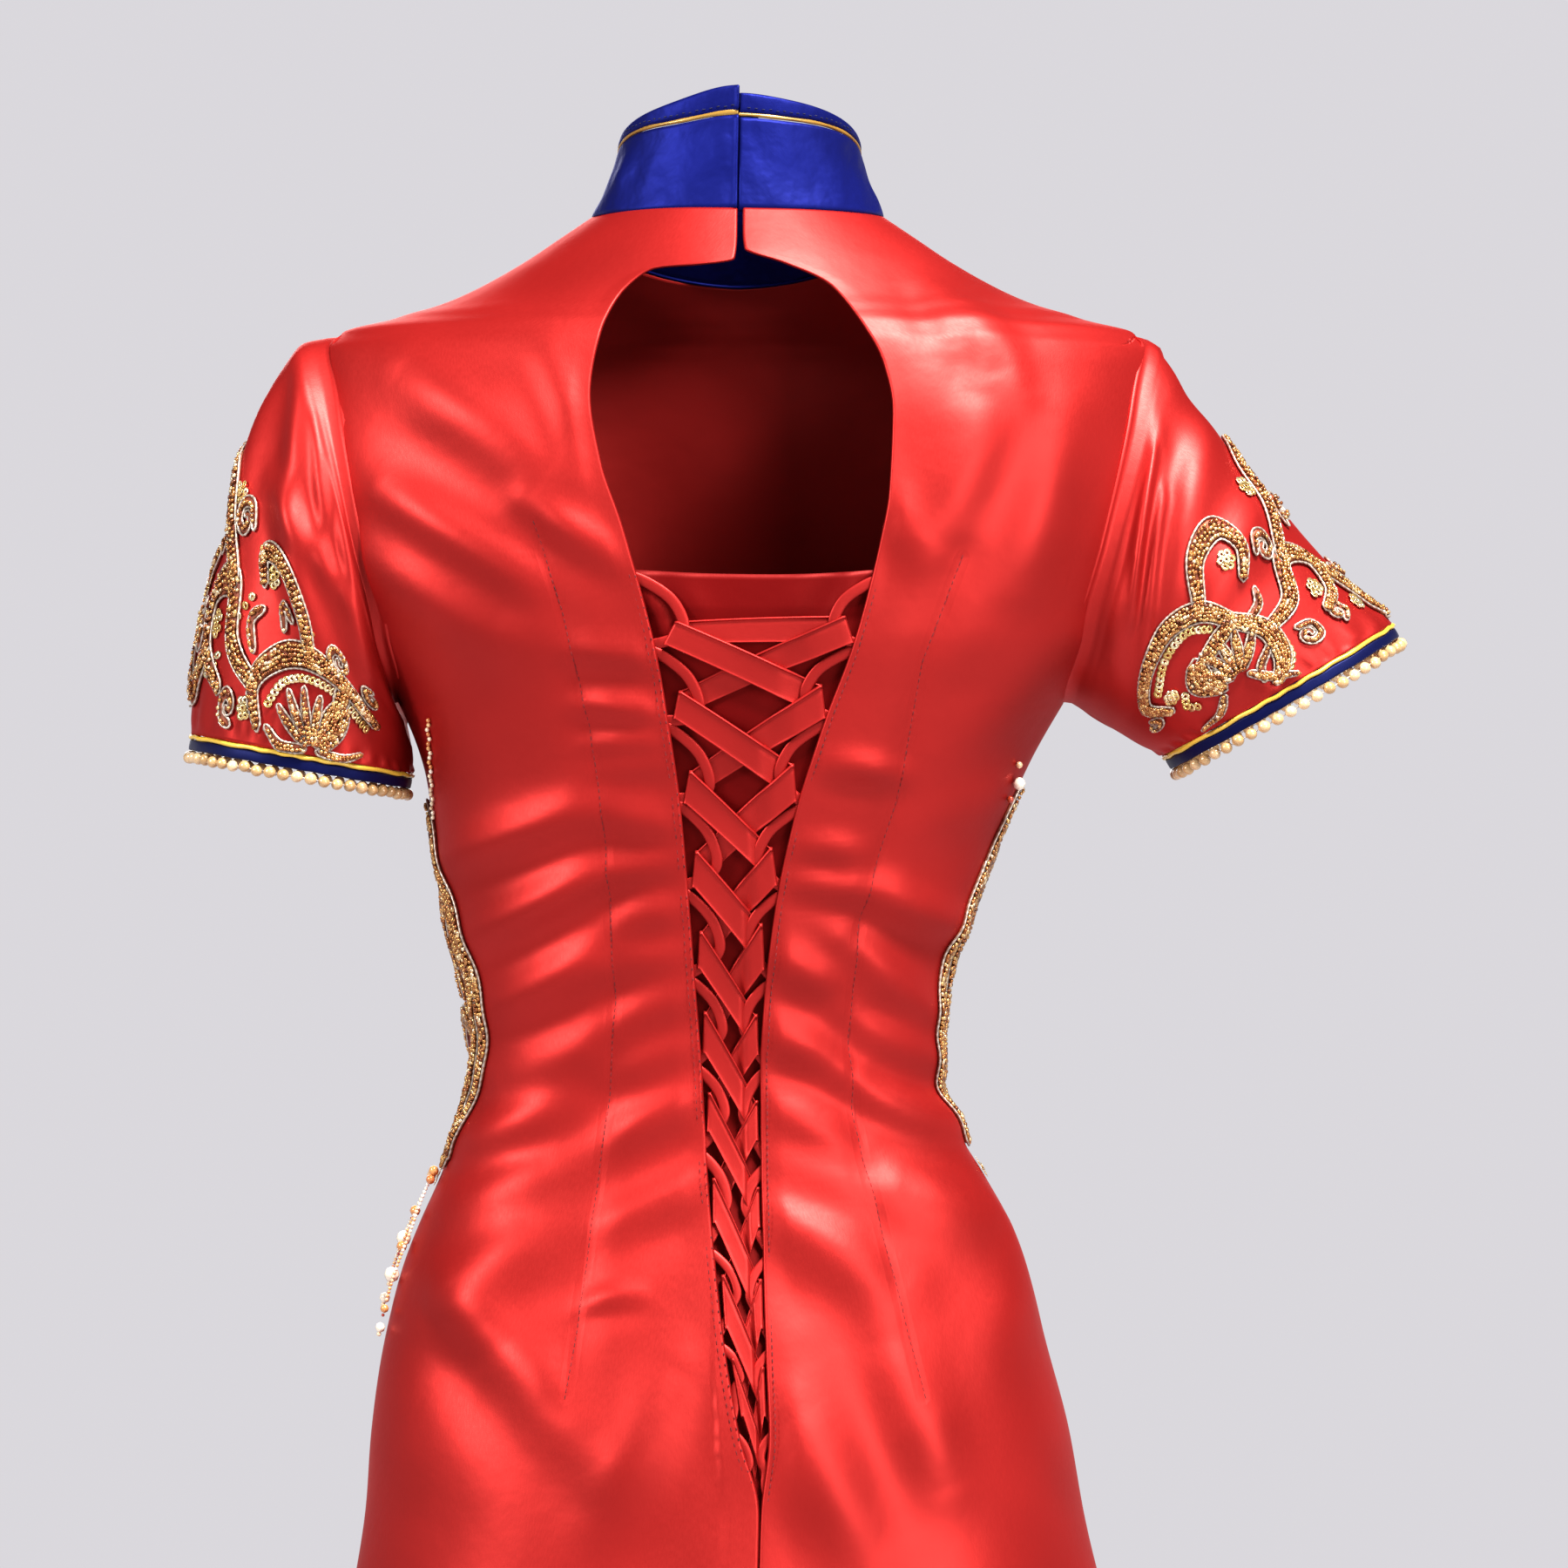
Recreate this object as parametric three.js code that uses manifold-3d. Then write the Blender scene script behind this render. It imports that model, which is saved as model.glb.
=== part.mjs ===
// A red satin wedding dress in a modern qipao style, with its hollow worn form.
// Millimetres, +Z up. The front faces -Y, the back faces +Y, and the wearer's left is +X.
// The origin lies at the base of the neck, midway between the two shoulder seams.
//
// The body is one closed form, F(angle, z): an oval section at each height, whose angle runs from
// the centre back (0) over the left side seam (90 degrees) to the centre front (180 degrees).
// Every panel is a four-sided patch of that form, and what lies on a panel is the same form
// moved out or in by its own height.

import * as THREE from 'three';
import { mergeVertices } from 'three/addons/utils/BufferGeometryUtils.js';
import Module from 'manifold-3d';

const wasm = await Module();
wasm.setup();

// Driving sizes
const SATIN = 1.6;             // wall of the satin with its underlining
const SEAM_GAP = 0.4;          // between two pieces at a seam
const UNDER_GAP = 0.9;         // between a panel's inside and what is sewn under its edge
const HEM_Z = -1420;
const SHOULDER_TIP_Z = -53;
const UNDERARM_Z = -223;
const ARMHOLE_DEPTH = { back: 54, front: 50 };
const NECK_DROP_FRONT = 26;
const CUFF_PIPING = 1.6;       // diameter
const CUFF_BAND = 4.8;         // visible width
const PEARL = 5.6;             // diameter of the pearls at the cuffs
const PEARLS_PER_CUFF = 46;
const PEARL_SIDES = 5;
const CUFF_STATIONS = 28;       // stations round a cuff's piping and band
const COLLAR_WALL = 2;
const COLLAR_PIPING = 1.8;     // diameter
const COLLAR = {
  gap: 1.2,                    // half the opening at the centre back
  topHalf: 54.5, topBack: 44, topFront: 46,
  sideHeight: 34, tilt: 17,    // the top rim rises behind and dips in front
  bindingSide: 4, bindingBack: 7,
  waisting: 1.6,               // how far the stand curves in between base and rim
  opening: -0.8,               // x of the centre back opening
  columns: 24,
};
const LACE = { thick: 0.8, low: -4.3, high: -1.6 };
const LOOP = { wide: 4.6, thick: 0.8, height: -3, tapeWide: 5, tapeThick: 1.3 };
const MODESTY = {
  wall: 1.2, height: -5.9, underlap: 26, top: -164, bottom: -604, rows: 14, columns: 8,
};
const APPLIQUE = { low: 0.8, high: 2.4 };
// Millimetres for a whole section t and for one degree round the arm, and for one degree round
// the waist and for one of height, so that an applique band keeps its width whichever way it runs.
const SLEEVE_SCALE = { a: 150, b: 1.2 };
const WAIST_SCALE = { a: 1.9, b: 1 };

const DEGREE = Math.PI / 180;

// Oval sections of the body: centre, half width, depth behind and in front, and roundness, the
// exponent of the oval (2 is an ellipse, more is squarer).
const FORM = [
  { z: 0, mid: 0, half: 67, back: 50, front: 52, round: 2 },
  { z: -10, mid: 0, half: 82, back: 57, front: 60, round: 1.9 },
  { z: -20, mid: 0, half: 97, back: 64, front: 68, round: 1.8 },
  { z: -33, mid: 0, half: 120, back: 72, front: 76, round: 1.7 },
  { z: -41, mid: 0, half: 138, back: 76, front: 80, round: 1.7 },
  { z: -47, mid: 0, half: 158, back: 79, front: 83, round: 1.72 },
  { z: -53, mid: 0, half: 188, back: 82, front: 86, round: 1.8 },
  { z: -70, mid: 0, half: 194, back: 87, front: 92, round: 2 },
  { z: -100, mid: 0, half: 194, back: 93, front: 100, round: 2.3 },
  { z: -150, mid: 1, half: 188, back: 97, front: 112, round: 2.5 },
  { z: -190, mid: 2, half: 174, back: 96, front: 121, round: 2.4 },
  { z: -222, mid: 3, half: 153, back: 91, front: 124, round: 2.3 },
  { z: -252, mid: 5.5, half: 138.6, back: 86, front: 122, round: 2.25 },
  { z: -280, mid: 9.5, half: 130, back: 80, front: 117, round: 2.2 },
  { z: -308, mid: 12.5, half: 122.5, back: 75, front: 111, round: 2.2 },
  { z: -340, mid: 15, half: 114.5, back: 70, front: 104, round: 2.2 },
  { z: -376, mid: 15.5, half: 107.5, back: 66, front: 98, round: 2.2 },
  { z: -396, mid: 15.5, half: 108, back: 65, front: 96, round: 2.2 },
  { z: -420, mid: 14, half: 115.5, back: 67, front: 97, round: 2.2 },
  { z: -440, mid: 11.5, half: 125, back: 71, front: 98, round: 2.2 },
  { z: -460, mid: 10.5, half: 135, back: 77, front: 99, round: 2.2 },
  { z: -484, mid: 10.5, half: 144, back: 85, front: 100, round: 2.2 },
  { z: -508, mid: 10.5, half: 150, back: 93, front: 101, round: 2.2 },
  { z: -556, mid: 8, half: 160, back: 106, front: 104, round: 2.2 },
  { z: -596, mid: 6, half: 165, back: 113, front: 108, round: 2.2 },
  { z: -700, mid: 3, half: 188, back: 134, front: 126, round: 2.1 },
  { z: -900, mid: 0, half: 232, back: 176, front: 164, round: 2 },
  { z: -1150, mid: 0, half: 288, back: 226, front: 212, round: 2 },
  { z: HEM_Z, mid: 0, half: 345, back: 280, front: 262, round: 2 },
];

// The skirt's soft flutes: their number round the hem, and how deep they are at each height.
const FLUTES = 9;
const FLUTE_DEPTH = [
  { z: 0, depth: 0 },
  { z: -560, depth: 0 },
  { z: -700, depth: 4 },
  { z: -900, depth: 12 },
  { z: -1150, depth: 20 },
  { z: HEM_Z, depth: 27 },
];

// Rows of a back panel. x and z follow the inner edge: centre back, keyhole, lacing edge, centre
// back seam. side is the height where the same row meets the shoulder, armhole or side seam.
const LEFT_EDGE = [
  { x: -0.3, z: 0, side: 0 },
  { x: -0.2, z: -13, side: -7 },
  { x: 1, z: -24, side: -16 },
  { x: 17.8, z: -27, side: -26 },
  { x: 35.5, z: -28, side: -37 },
  { x: 50, z: -37, side: -46 },
  { x: 60.5, z: -58, side: SHOULDER_TIP_Z },
  { x: 64.9, z: -86, side: -82 },
  { x: 60, z: -117, side: -117 },
  { x: 50.3, z: -146, side: -146 },
  { x: 35.6, z: -201, side: -192 },
  { x: 29.9, z: -234, side: UNDERARM_Z },
  { x: 25, z: -269, side: -262 },
  { x: 21.6, z: -308, side: -304 },
  { x: 18.6, z: -348, side: -346 },
  { x: 15.5, z: -388, side: -388 },
  { x: 13.1, z: -432, side: -432 },
  { x: 9.1, z: -476, side: -476 },
  { x: 4.7, z: -512, side: -512 },
  { x: -1.9, z: -549, side: -549 },
  { x: -10.4, z: -583, side: -583 },
  { x: -8.8, z: -640, side: -640 },
  { x: -5.8, z: -740, side: -740 },
  { x: -2.8, z: -880, side: -880 },
  { x: 0.2, z: -1060, side: -1060 },
  { x: 0.2, z: -1240, side: -1240 },
  { x: 0.2, z: HEM_Z, side: HEM_Z },
];
const RIGHT_EDGE = [
  { x: -2.6, z: 0, side: 0 },
  { x: -2.6, z: -10, side: -7 },
  { x: -3.4, z: -19, side: -16 },
  { x: -21.2, z: -26, side: -26 },
  { x: -40.7, z: -35, side: -37 },
  { x: -56.2, z: -54, side: -46 },
  { x: -65.8, z: -73, side: SHOULDER_TIP_Z },
  { x: -69.6, z: -94, side: -82 },
  { x: -68, z: -128, side: -117 },
  { x: -64, z: -152, side: -146 },
  { x: -52.1, z: -198, side: -192 },
  { x: -39.4, z: -232, side: UNDERARM_Z },
  { x: -27, z: -271, side: -262 },
  { x: -18.5, z: -309, side: -304 },
  { x: -13, z: -349, side: -346 },
  { x: -10.6, z: -388, side: -388 },
  { x: -10.9, z: -432, side: -432 },
  { x: -12, z: -476, side: -476 },
  { x: -13.1, z: -512, side: -512 },
  { x: -14.4, z: -549, side: -549 },
  { x: -10.9, z: -583, side: -583 },
  { x: -9.3, z: -640, side: -640 },
  { x: -6.3, z: -740, side: -740 },
  { x: -3.3, z: -880, side: -880 },
  { x: -0.3, z: -1060, side: -1060 },
  { x: -0.3, z: -1240, side: -1240 },
  { x: -0.3, z: HEM_Z, side: HEM_Z },
];

// Rows between the stations of a back panel: steps over the yoke, the laced back and the skirt.
const ROW_STEPS = [
  { from: 0, to: 8, step: 1 },
  { from: 8, to: 20, step: 2 / 3 },
  { from: 20, to: 26, step: 1 },
];
const BACK_COLUMNS = 10;
// Stations of a back panel's inner edge between which x falls along with z.
const LACING_FROM = 7;
const LACING_TO = 21;

// Heights of the front panel's rows at its side edges, from the neck to the hem.
const FRONT_ROWS = [
  0, -16, -30, -43, SHOULDER_TIP_Z, -76, -100, -124, -148, -172, -198, UNDERARM_Z, -255, -290,
  -322, -350, -374, -398, -424, -455, -490, -530, -583, -650, -740, -880, -1060, -1240, HEM_Z,
];
const FRONT_COLUMNS = 16;

// The largest folds of each back panel: soft ridges from one point to another, width across and
// height out of the form. They fade at the panel's edges.
const LEFT_FOLDS = [
  { x0: 130, z0: -100, x1: 84, z1: -190, wide: 15, high: 2.6 },
  { x0: 160, z0: -86, x1: 122, z1: -150, wide: 14, high: 2.2 },
  { x0: 130, z0: -274, x1: 66, z1: -254, wide: 10, high: 2.4 },
  { x0: 108, z0: -306, x1: 60, z1: -284, wide: 10, high: 2.2 },
  { x0: 106, z0: -352, x1: 62, z1: -326, wide: 10, high: 1.8 },
  { x0: 120, z0: -428, x1: 66, z1: -402, wide: 14, high: 2.4 },
  { x0: 138, z0: -502, x1: 88, z1: -440, wide: 16, high: 3 },
  { x0: 60, z0: -560, x1: 110, z1: -500, wide: 16, high: 2.4 },
  { x0: 26, z0: -520, x1: 60, z1: -586, wide: 15, high: 2.6 },
];
const RIGHT_FOLDS = [
  { x0: -116, z0: -90, x1: -86, z1: -150, wide: 14, high: 2.2 },
  { x0: -146, z0: -96, x1: -128, z1: -170, wide: 14, high: 2.2 },
  { x0: -26, z0: -312, x1: -92, z1: -364, wide: 11, high: 2.2 },
  { x0: -24, z0: -366, x1: -90, z1: -402, wide: 11, high: 2.4 },
  { x0: -26, z0: -416, x1: -112, z1: -484, wide: 13, high: 3 },
  { x0: -30, z0: -470, x1: -110, z1: -548, wide: 15, high: 3 },
  { x0: -24, z0: -540, x1: -66, z1: -600, wide: 14, high: 2.6 },
  { x0: -124, z0: -254, x1: -72, z1: -270, wide: 10, high: 2 },
];
const FOLD_FADE = 0.12;        // share of a panel's width over which its folds fade out

// Where the lace turns at each pair of loops: the top and the bottom of its folded edge.
const LEFT_TURNS = [
  { x: 25.9, z: -187.8, x2: 31.4, z2: -198.5 },
  { x: 24.5, z: -219, x2: 27.2, z2: -231.3 },
  { x: 19.9, z: -254.6, x2: 22.7, z2: -269.2 },
  { x: 17.3, z: -290.3, x2: 19, z2: -306.7 },
  { x: 15.4, z: -326.3, x2: 16.6, z2: -343.1 },
  { x: 13.6, z: -362.3, x2: 14.4, z2: -381 },
  { x: 11.8, z: -398.3, x2: 12.4, z2: -416 },
  { x: 9.8, z: -436, x2: 9.6, z2: -456 },
  { x: 5.6, z: -478.1, x2: 4, z2: -502 },
  { x: 1.2, z: -514, x2: -3.4, z2: -540 },
  { x: -5.2, z: -553, x2: -8.4, z2: -569 },
];
const RIGHT_TURNS = [
  { x: -47.5, z: -185.4, x2: -51.4, z2: -197.7 },
  { x: -37.1, z: -216.3, x2: -39, z2: -231.3 },
  { x: -24.6, z: -251.5, x2: -26, z2: -268.5 },
  { x: -15, z: -288.8, x2: -17.4, z2: -306 },
  { x: -10.6, z: -322.8, x2: -11.8, z2: -344 },
  { x: -8.3, z: -363.5, x2: -9.2, z2: -382 },
  { x: -8.6, z: -401.9, x2: -8.8, z2: -420 },
  { x: -9.2, z: -440, x2: -9.8, z2: -458 },
  { x: -10.4, z: -480, x2: -11, z2: -502 },
  { x: -11.4, z: -518, x2: -12.4, z2: -540 },
  { x: -12.4, z: -553, x2: -11.6, z2: -567 },
];

// The loops: where each leaves the panel's edge, and where its tip holds the lace.
const LEFT_LOOPS = [
  { root: -167.3, x: 23.4, z: -189.5 },
  { root: -200.5, x: 16.6, z: -225.4 },
  { root: -234, x: 12, z: -260 },
  { root: -268.9, x: 8.7, z: -295 },
  { root: -308.3, x: 7.4, z: -333 },
  { root: -347.8, x: 6.4, z: -370 },
  { root: -387.4, x: 5.4, z: -407 },
  { root: -425, x: 4.4, z: -446 },
  { root: -467, x: -0.4, z: -486 },
  { root: -508, x: -2, z: -522 },
  { root: -546, x: -6, z: -560 },
];
const RIGHT_LOOPS = [
  { root: -169.2, x: -43.6, z: -188.3 },
  { root: -200.4, x: -31, z: -220.4 },
  { root: -232.9, x: -19.4, z: -256 },
  { root: -271.3, x: -9.6, z: -294 },
  { root: -309.5, x: -5, z: -331 },
  { root: -349.4, x: -3.4, z: -369 },
  { root: -388.6, x: -3.2, z: -408 },
  { root: -430.6, x: -4.4, z: -448 },
  { root: -469.9, x: -6, z: -487 },
  { root: -510.2, x: -8.4, z: -525 },
  { root: -546, x: -11, z: -558 },
];

// Sleeve sections from armhole to cuff: the outer (top) and inner (bottom) point and half depth.
const LEFT_SLEEVE = [
  { t: 0, topX: 188, topZ: -55, lowX: 154, lowZ: -222.5, depth: 54 },
  { t: 0.12, topX: 200, topZ: -58, lowX: 153, lowZ: -228, depth: 56 },
  { t: 0.28, topX: 211, topZ: -76, lowX: 151.5, lowZ: -233, depth: 57 },
  { t: 0.45, topX: 224, topZ: -107, lowX: 150, lowZ: -238, depth: 56 },
  { t: 0.65, topX: 235, topZ: -146, lowX: 149.5, lowZ: -244, depth: 54 },
  { t: 0.82, topX: 246, topZ: -190, lowX: 149, lowZ: -249, depth: 52 },
  { t: 1, topX: 250.8, topZ: -237, lowX: 149, lowZ: -255, depth: 50 },
];
const RIGHT_SLEEVE = [
  { t: 0, topX: -188, topZ: -55, lowX: -150, lowZ: -222.5, depth: 54 },
  { t: 0.12, topX: -198, topZ: -67, lowX: -158, lowZ: -227, depth: 56 },
  { t: 0.28, topX: -211, topZ: -92, lowX: -166, lowZ: -231, depth: 57 },
  { t: 0.45, topX: -236, topZ: -118, lowX: -173, lowZ: -235, depth: 56.5 },
  { t: 0.65, topX: -261, topZ: -148, lowX: -181, lowZ: -239.5, depth: 55 },
  { t: 0.82, topX: -281, topZ: -169, lowX: -188, lowZ: -243.5, depth: 53 },
  { t: 1, topX: -300, topZ: -186, lowX: -195, lowZ: -247, depth: 51 },
];
const SLEEVE_ROWS = [0, 0.04, 0.12, 0.23, 0.34, 0.46, 0.58, 0.7, 0.82, 0.92, 1];
const SLEEVE_COLUMNS = 20;      // round the arm, half of them in each half of the sleeve
// Sleeve creases: from one point to another in section t and angle round the arm.
const LEFT_CREASES = [
  { t0: 0.16, a0: 40, t1: 0.6, a1: 84, wide: 12, high: 2.2 },
  { t0: 0.3, a0: 10, t1: 0.62, a1: 30, wide: 12, high: 2.4 },
  { t0: 0.12, a0: 96, t1: 0.5, a1: 122, wide: 13, high: 1.8 },
];
const RIGHT_CREASES = [
  { t0: 0.3, a0: 8, t1: 0.34, a1: 100, wide: 11, high: 2.8 },
  { t0: 0.46, a0: 20, t1: 0.5, a1: 96, wide: 12, high: 2 },
  { t0: 0.12, a0: 60, t1: 0.2, a1: 128, wide: 12, high: 1.8 },
];

// Applique scrolls of a sleeve, as bands in section t and angle round the arm (0 outer edge, 90
// back, 180 under the arm). wide is the band's width in millimetres.
const LEFT_SCROLLS = [
  { wide: 9, path: [[0.74, 132], [0.68, 112], [0.7, 92], [0.77, 76], [0.86, 66], [0.95, 70]] },
  { wide: 8, path: [[0.7, 92], [0.6, 84], [0.54, 70], [0.58, 56], [0.64, 60]] },
  { wide: 13, path: [[0.78, 112], [0.88, 108], [0.96, 104]] },
  { wide: 8, path: [[0.68, 112], [0.8, 110]] },
  { wide: 8, path: [[0.86, 66], [0.8, 50], [0.7, 42], [0.74, 28], [0.84, 30], [0.9, 44]] },
  { wide: 8, path: [[0.7, 42], [0.6, 28], [0.5, 20], [0.44, 6]] },
  { wide: 8, path: [[0.84, 30], [0.92, 14], [0.86, -4], [0.74, -6], [0.68, 8]] },
  { wide: 9, path: [[0.86, -4], [0.9, -30], [0.8, -52], [0.7, -40]] },
  { wide: 9, path: [[0.9, -30], [0.92, -66], [0.84, -96], [0.72, -112], [0.68, -134]] },
];
const RIGHT_SCROLLS = [
  { wide: 9, path: [[0.62, 84], [0.5, 92], [0.42, 108], [0.44, 128], [0.56, 140], [0.7, 132]] },
  { wide: 13, path: [[0.62, 108], [0.7, 112], [0.8, 108]] },
  { wide: 8, path: [[0.62, 84], [0.64, 108]] },
  { wide: 8, path: [[0.5, 92], [0.4, 78], [0.42, 62], [0.5, 60], [0.56, 68]] },
  { wide: 9, path: [[0.62, 84], [0.74, 76], [0.86, 80], [0.95, 90]] },
  { wide: 8, path: [[0.74, 76], [0.72, 58], [0.62, 44], [0.68, 30], [0.78, 34], [0.82, 46]] },
  { wide: 8, path: [[0.62, 44], [0.52, 30], [0.42, 22], [0.36, 8]] },
  { wide: 8, path: [[0.68, 30], [0.82, 18], [0.94, 8], [0.92, -14], [0.8, -18]] },
  { wide: 9, path: [[0.92, -14], [0.9, -44], [0.78, -60], [0.68, -48]] },
  { wide: 9, path: [[0.9, -44], [0.92, -76], [0.84, -104], [0.72, -118], [0.66, -138]] },
];

// Applique leaves at the sides of the waist, in angle round the body (90 left seam) and height.
const LEFT_WAIST = [
  { wide: 10, path: [[82, -276], [80, -292], [77, -308], [73, -330], [70, -352], [71, -372]] },
  { wide: 9, path: [[71, -372], [75, -392], [80, -404], [78, -420], [82, -434]] },
  { wide: 9, path: [[77, -308], [88, -322], [98, -340], [104, -362]] },
  { wide: 9, path: [[71, -372], [84, -366], [96, -376], [108, -392], [112, -416]] },
  { wide: 8, path: [[88, -322], [100, -308], [112, -300]] },
];
const RIGHT_WAIST = [
  { wide: 9, path: [[-84, -268], [-82, -288], [-80, -310], [-79, -336], [-80, -362]] },
  { wide: 9, path: [[-80, -362], [-82, -384], [-80, -404], [-84, -424]] },
  { wide: 9, path: [[-82, -288], [-94, -304], [-102, -326], [-106, -350]] },
  { wide: 9, path: [[-80, -362], [-92, -360], [-104, -374], [-112, -398]] },
  { wide: 8, path: [[-94, -304], [-104, -292], [-114, -288]] },
];

// Bead tassels at the left hip: where each strand ends and the sizes of its end beads.
const TASSELS = [
  { angle: 86, end: -474, amber: 5, pearl: 7 },
  { angle: 83, end: -490, amber: 5, pearl: 7.2 },
  { angle: 79, end: -512, amber: 4, pearl: 4.6 },
  { angle: 88, end: -500, amber: 4, pearl: 5 },
];
const TASSEL_HEAD = { angle: 84, z: -440.5 };
const TASSEL_HEIGHT = 4.2;     // strand axis above the cloth

const COLOURS = {
  satin: 0xc8191e, blue: 0x2a34b0, gold: 0xc9a545, pearl: 0xd8bd8c, beads: 0xb88850,
};

// A smooth curve through the rows of a table that never overshoots them.
function curveThrough(table, by, key) {
  const rows = [...table].sort((a, b) => a[by] - b[by]);
  const xs = rows.map((row) => row[by]);
  const ys = rows.map((row) => row[key]);
  const last = xs.length - 1;
  const rise = xs.slice(1).map((x, i) => (ys[i + 1] - ys[i]) / (x - xs[i]));
  const slope = ys.map((_, i) => {
    if (i === 0) return rise[0];
    if (i === last) return rise[last - 1];
    const [before, after] = [rise[i - 1], rise[i]];
    return before * after <= 0 ? 0 : (2 * before * after) / (before + after);
  });
  return (x) => {
    const at = THREE.MathUtils.clamp(x, xs[0], xs[last]);
    const found = xs.findIndex((value, i) => i > 0 && at <= value);
    const i = Math.max(found, 1) - 1;
    const span = xs[i + 1] - xs[i];
    const s = (at - xs[i]) / span;
    const rising = s * s * (3 - 2 * s);
    return ys[i] * (1 - rising) + ys[i + 1] * rising
      + span * (slope[i] * s * (1 - s) ** 2 - slope[i + 1] * s * s * (1 - s));
  };
}

const form = Object.fromEntries(
  ['mid', 'half', 'back', 'front', 'round'].map((key) => [key, curveThrough(FORM, 'z', key)]),
);
const fluteDepth = curveThrough(FLUTE_DEPTH, 'z', 'depth');
const signedPower = (value, power) => Math.sign(value) * Math.abs(value) ** power;
const { lerp } = THREE.MathUtils;

// F(angle, z): a point of the body's oval at height z, with the skirt's flutes.
function formPoint(angle, z) {
  const power = 2 / form.round(z);
  const [side, rear] = [Math.sin(angle), Math.cos(angle)];
  const depth = rear >= 0 ? form.back(z) : form.front(z);
  const uneven = 0.8 * Math.cos(FLUTES * angle) + 0.2 * Math.cos(5 * angle + 1);
  const flute = fluteDepth(z) * uneven;
  return new THREE.Vector3(
    form.mid(z) + form.half(z) * signedPower(side, power) + flute * side,
    depth * signedPower(rear, power) + flute * rear,
    z,
  );
}

// The outward direction of the body at (angle, z), from the points just around it.
function formNormal(angle, z) {
  const around = 0.03;
  const above = Math.min(z + 3, 0);
  const along = formPoint(angle + around, z).sub(formPoint(angle - around, z));
  const up = formPoint(angle, above).sub(formPoint(angle, above - 6));
  return up.cross(along).normalize();
}

const raisedPoint = (angle, z, height) => (
  formPoint(angle, z).addScaledVector(formNormal(angle, z), height)
);

// The angle of the back's point at a given x, and of the side's point at a given depth y.
function angleAcross(x, z) {
  const share = THREE.MathUtils.clamp((x - form.mid(z)) / form.half(z), -1, 1);
  return Math.asin(signedPower(share, form.round(z) / 2));
}
function angleAtDepth(y, z) {
  const depth = y >= 0 ? form.back(z) : form.front(z);
  return Math.acos(signedPower(y / depth, form.round(z) / 2));
}
const backPoint = (x, z, height) => raisedPoint(angleAcross(x, z), z, height);

// Half the armhole's opening at height z, an egg that is fuller below, and half a seam elsewhere.
function sideEdgeDepth(z, depth) {
  const middle = (SHOULDER_TIP_Z + UNDERARM_Z) / 2;
  const radius = (SHOULDER_TIP_Z - UNDERARM_Z) / 2;
  const cosine = (z - middle) / radius;
  if (Math.abs(cosine) >= 1) return SEAM_GAP / 2;
  const half = depth * Math.sqrt(1 - cosine * cosine) * (1 - 0.25 * cosine);
  return Math.max(half, SEAM_GAP / 2);
}

// Height of soft ridges at (x, z): each falls off as a bell across and fades at its ends.
function ridgeHeight(x, z, ridges) {
  let height = 0;
  for (const { x0, z0, x1, z1, wide, high } of ridges) {
    const [dx, dz] = [x1 - x0, z1 - z0];
    const s = ((x - x0) * dx + (z - z0) * dz) / (dx * dx + dz * dz);
    const nearest = THREE.MathUtils.clamp(s, 0, 1);
    const away = Math.hypot(x - x0 - nearest * dx, z - z0 - nearest * dz);
    height += high * Math.exp(-((away / wide) ** 2)) * (1 - 0.5 * (2 * nearest - 1) ** 2);
  }
  return height;
}

// Closed mesh from points and triangles, turned so that its faces point out.
function closedGeometry(points, triangles) {
  const volume = triangles.reduce((sum, [a, b, c]) => (
    sum + points[a].dot(new THREE.Vector3().crossVectors(points[b], points[c]))
  ), 0);
  const faces = volume < 0 ? triangles.map(([a, b, c]) => [a, c, b]) : triangles;
  const geometry = new THREE.BufferGeometry();
  geometry.setAttribute('position', new THREE.Float32BufferAttribute(
    points.flatMap((p) => p.toArray()), 3,
  ));
  geometry.setIndex(faces.flat());
  return geometry;
}

// A wall between an outer and an inner grid of points, closed along its free edges.
function wall({ outer, inner }) {
  const rows = outer.length;
  const columns = outer[0].length;
  const points = [...outer.flat(), ...inner.flat()];
  const shift = rows * columns;
  const at = (r, c) => r * columns + c;
  const triangles = [];
  const quad = (a, b, c, d) => triangles.push([a, b, c], [a, c, d]);
  for (let r = 0; r < rows - 1; r += 1) {
    for (let c = 0; c < columns - 1; c += 1) {
      quad(at(r, c), at(r, c + 1), at(r + 1, c + 1), at(r + 1, c));
      quad(shift + at(r, c), shift + at(r + 1, c), shift + at(r + 1, c + 1), shift + at(r, c + 1));
    }
  }
  for (let c = 0; c < columns - 1; c += 1) {
    quad(at(0, c), shift + at(0, c), shift + at(0, c + 1), at(0, c + 1));
    const last = rows - 1;
    quad(at(last, c), at(last, c + 1), shift + at(last, c + 1), shift + at(last, c));
  }
  const side = columns - 1;
  for (let r = 0; r < rows - 1; r += 1) {
    quad(at(r, 0), at(r + 1, 0), shift + at(r + 1, 0), shift + at(r, 0));
    quad(at(r, side), shift + at(r, side), shift + at(r + 1, side), at(r + 1, side));
  }
  return closedGeometry(points, triangles);
}

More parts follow.
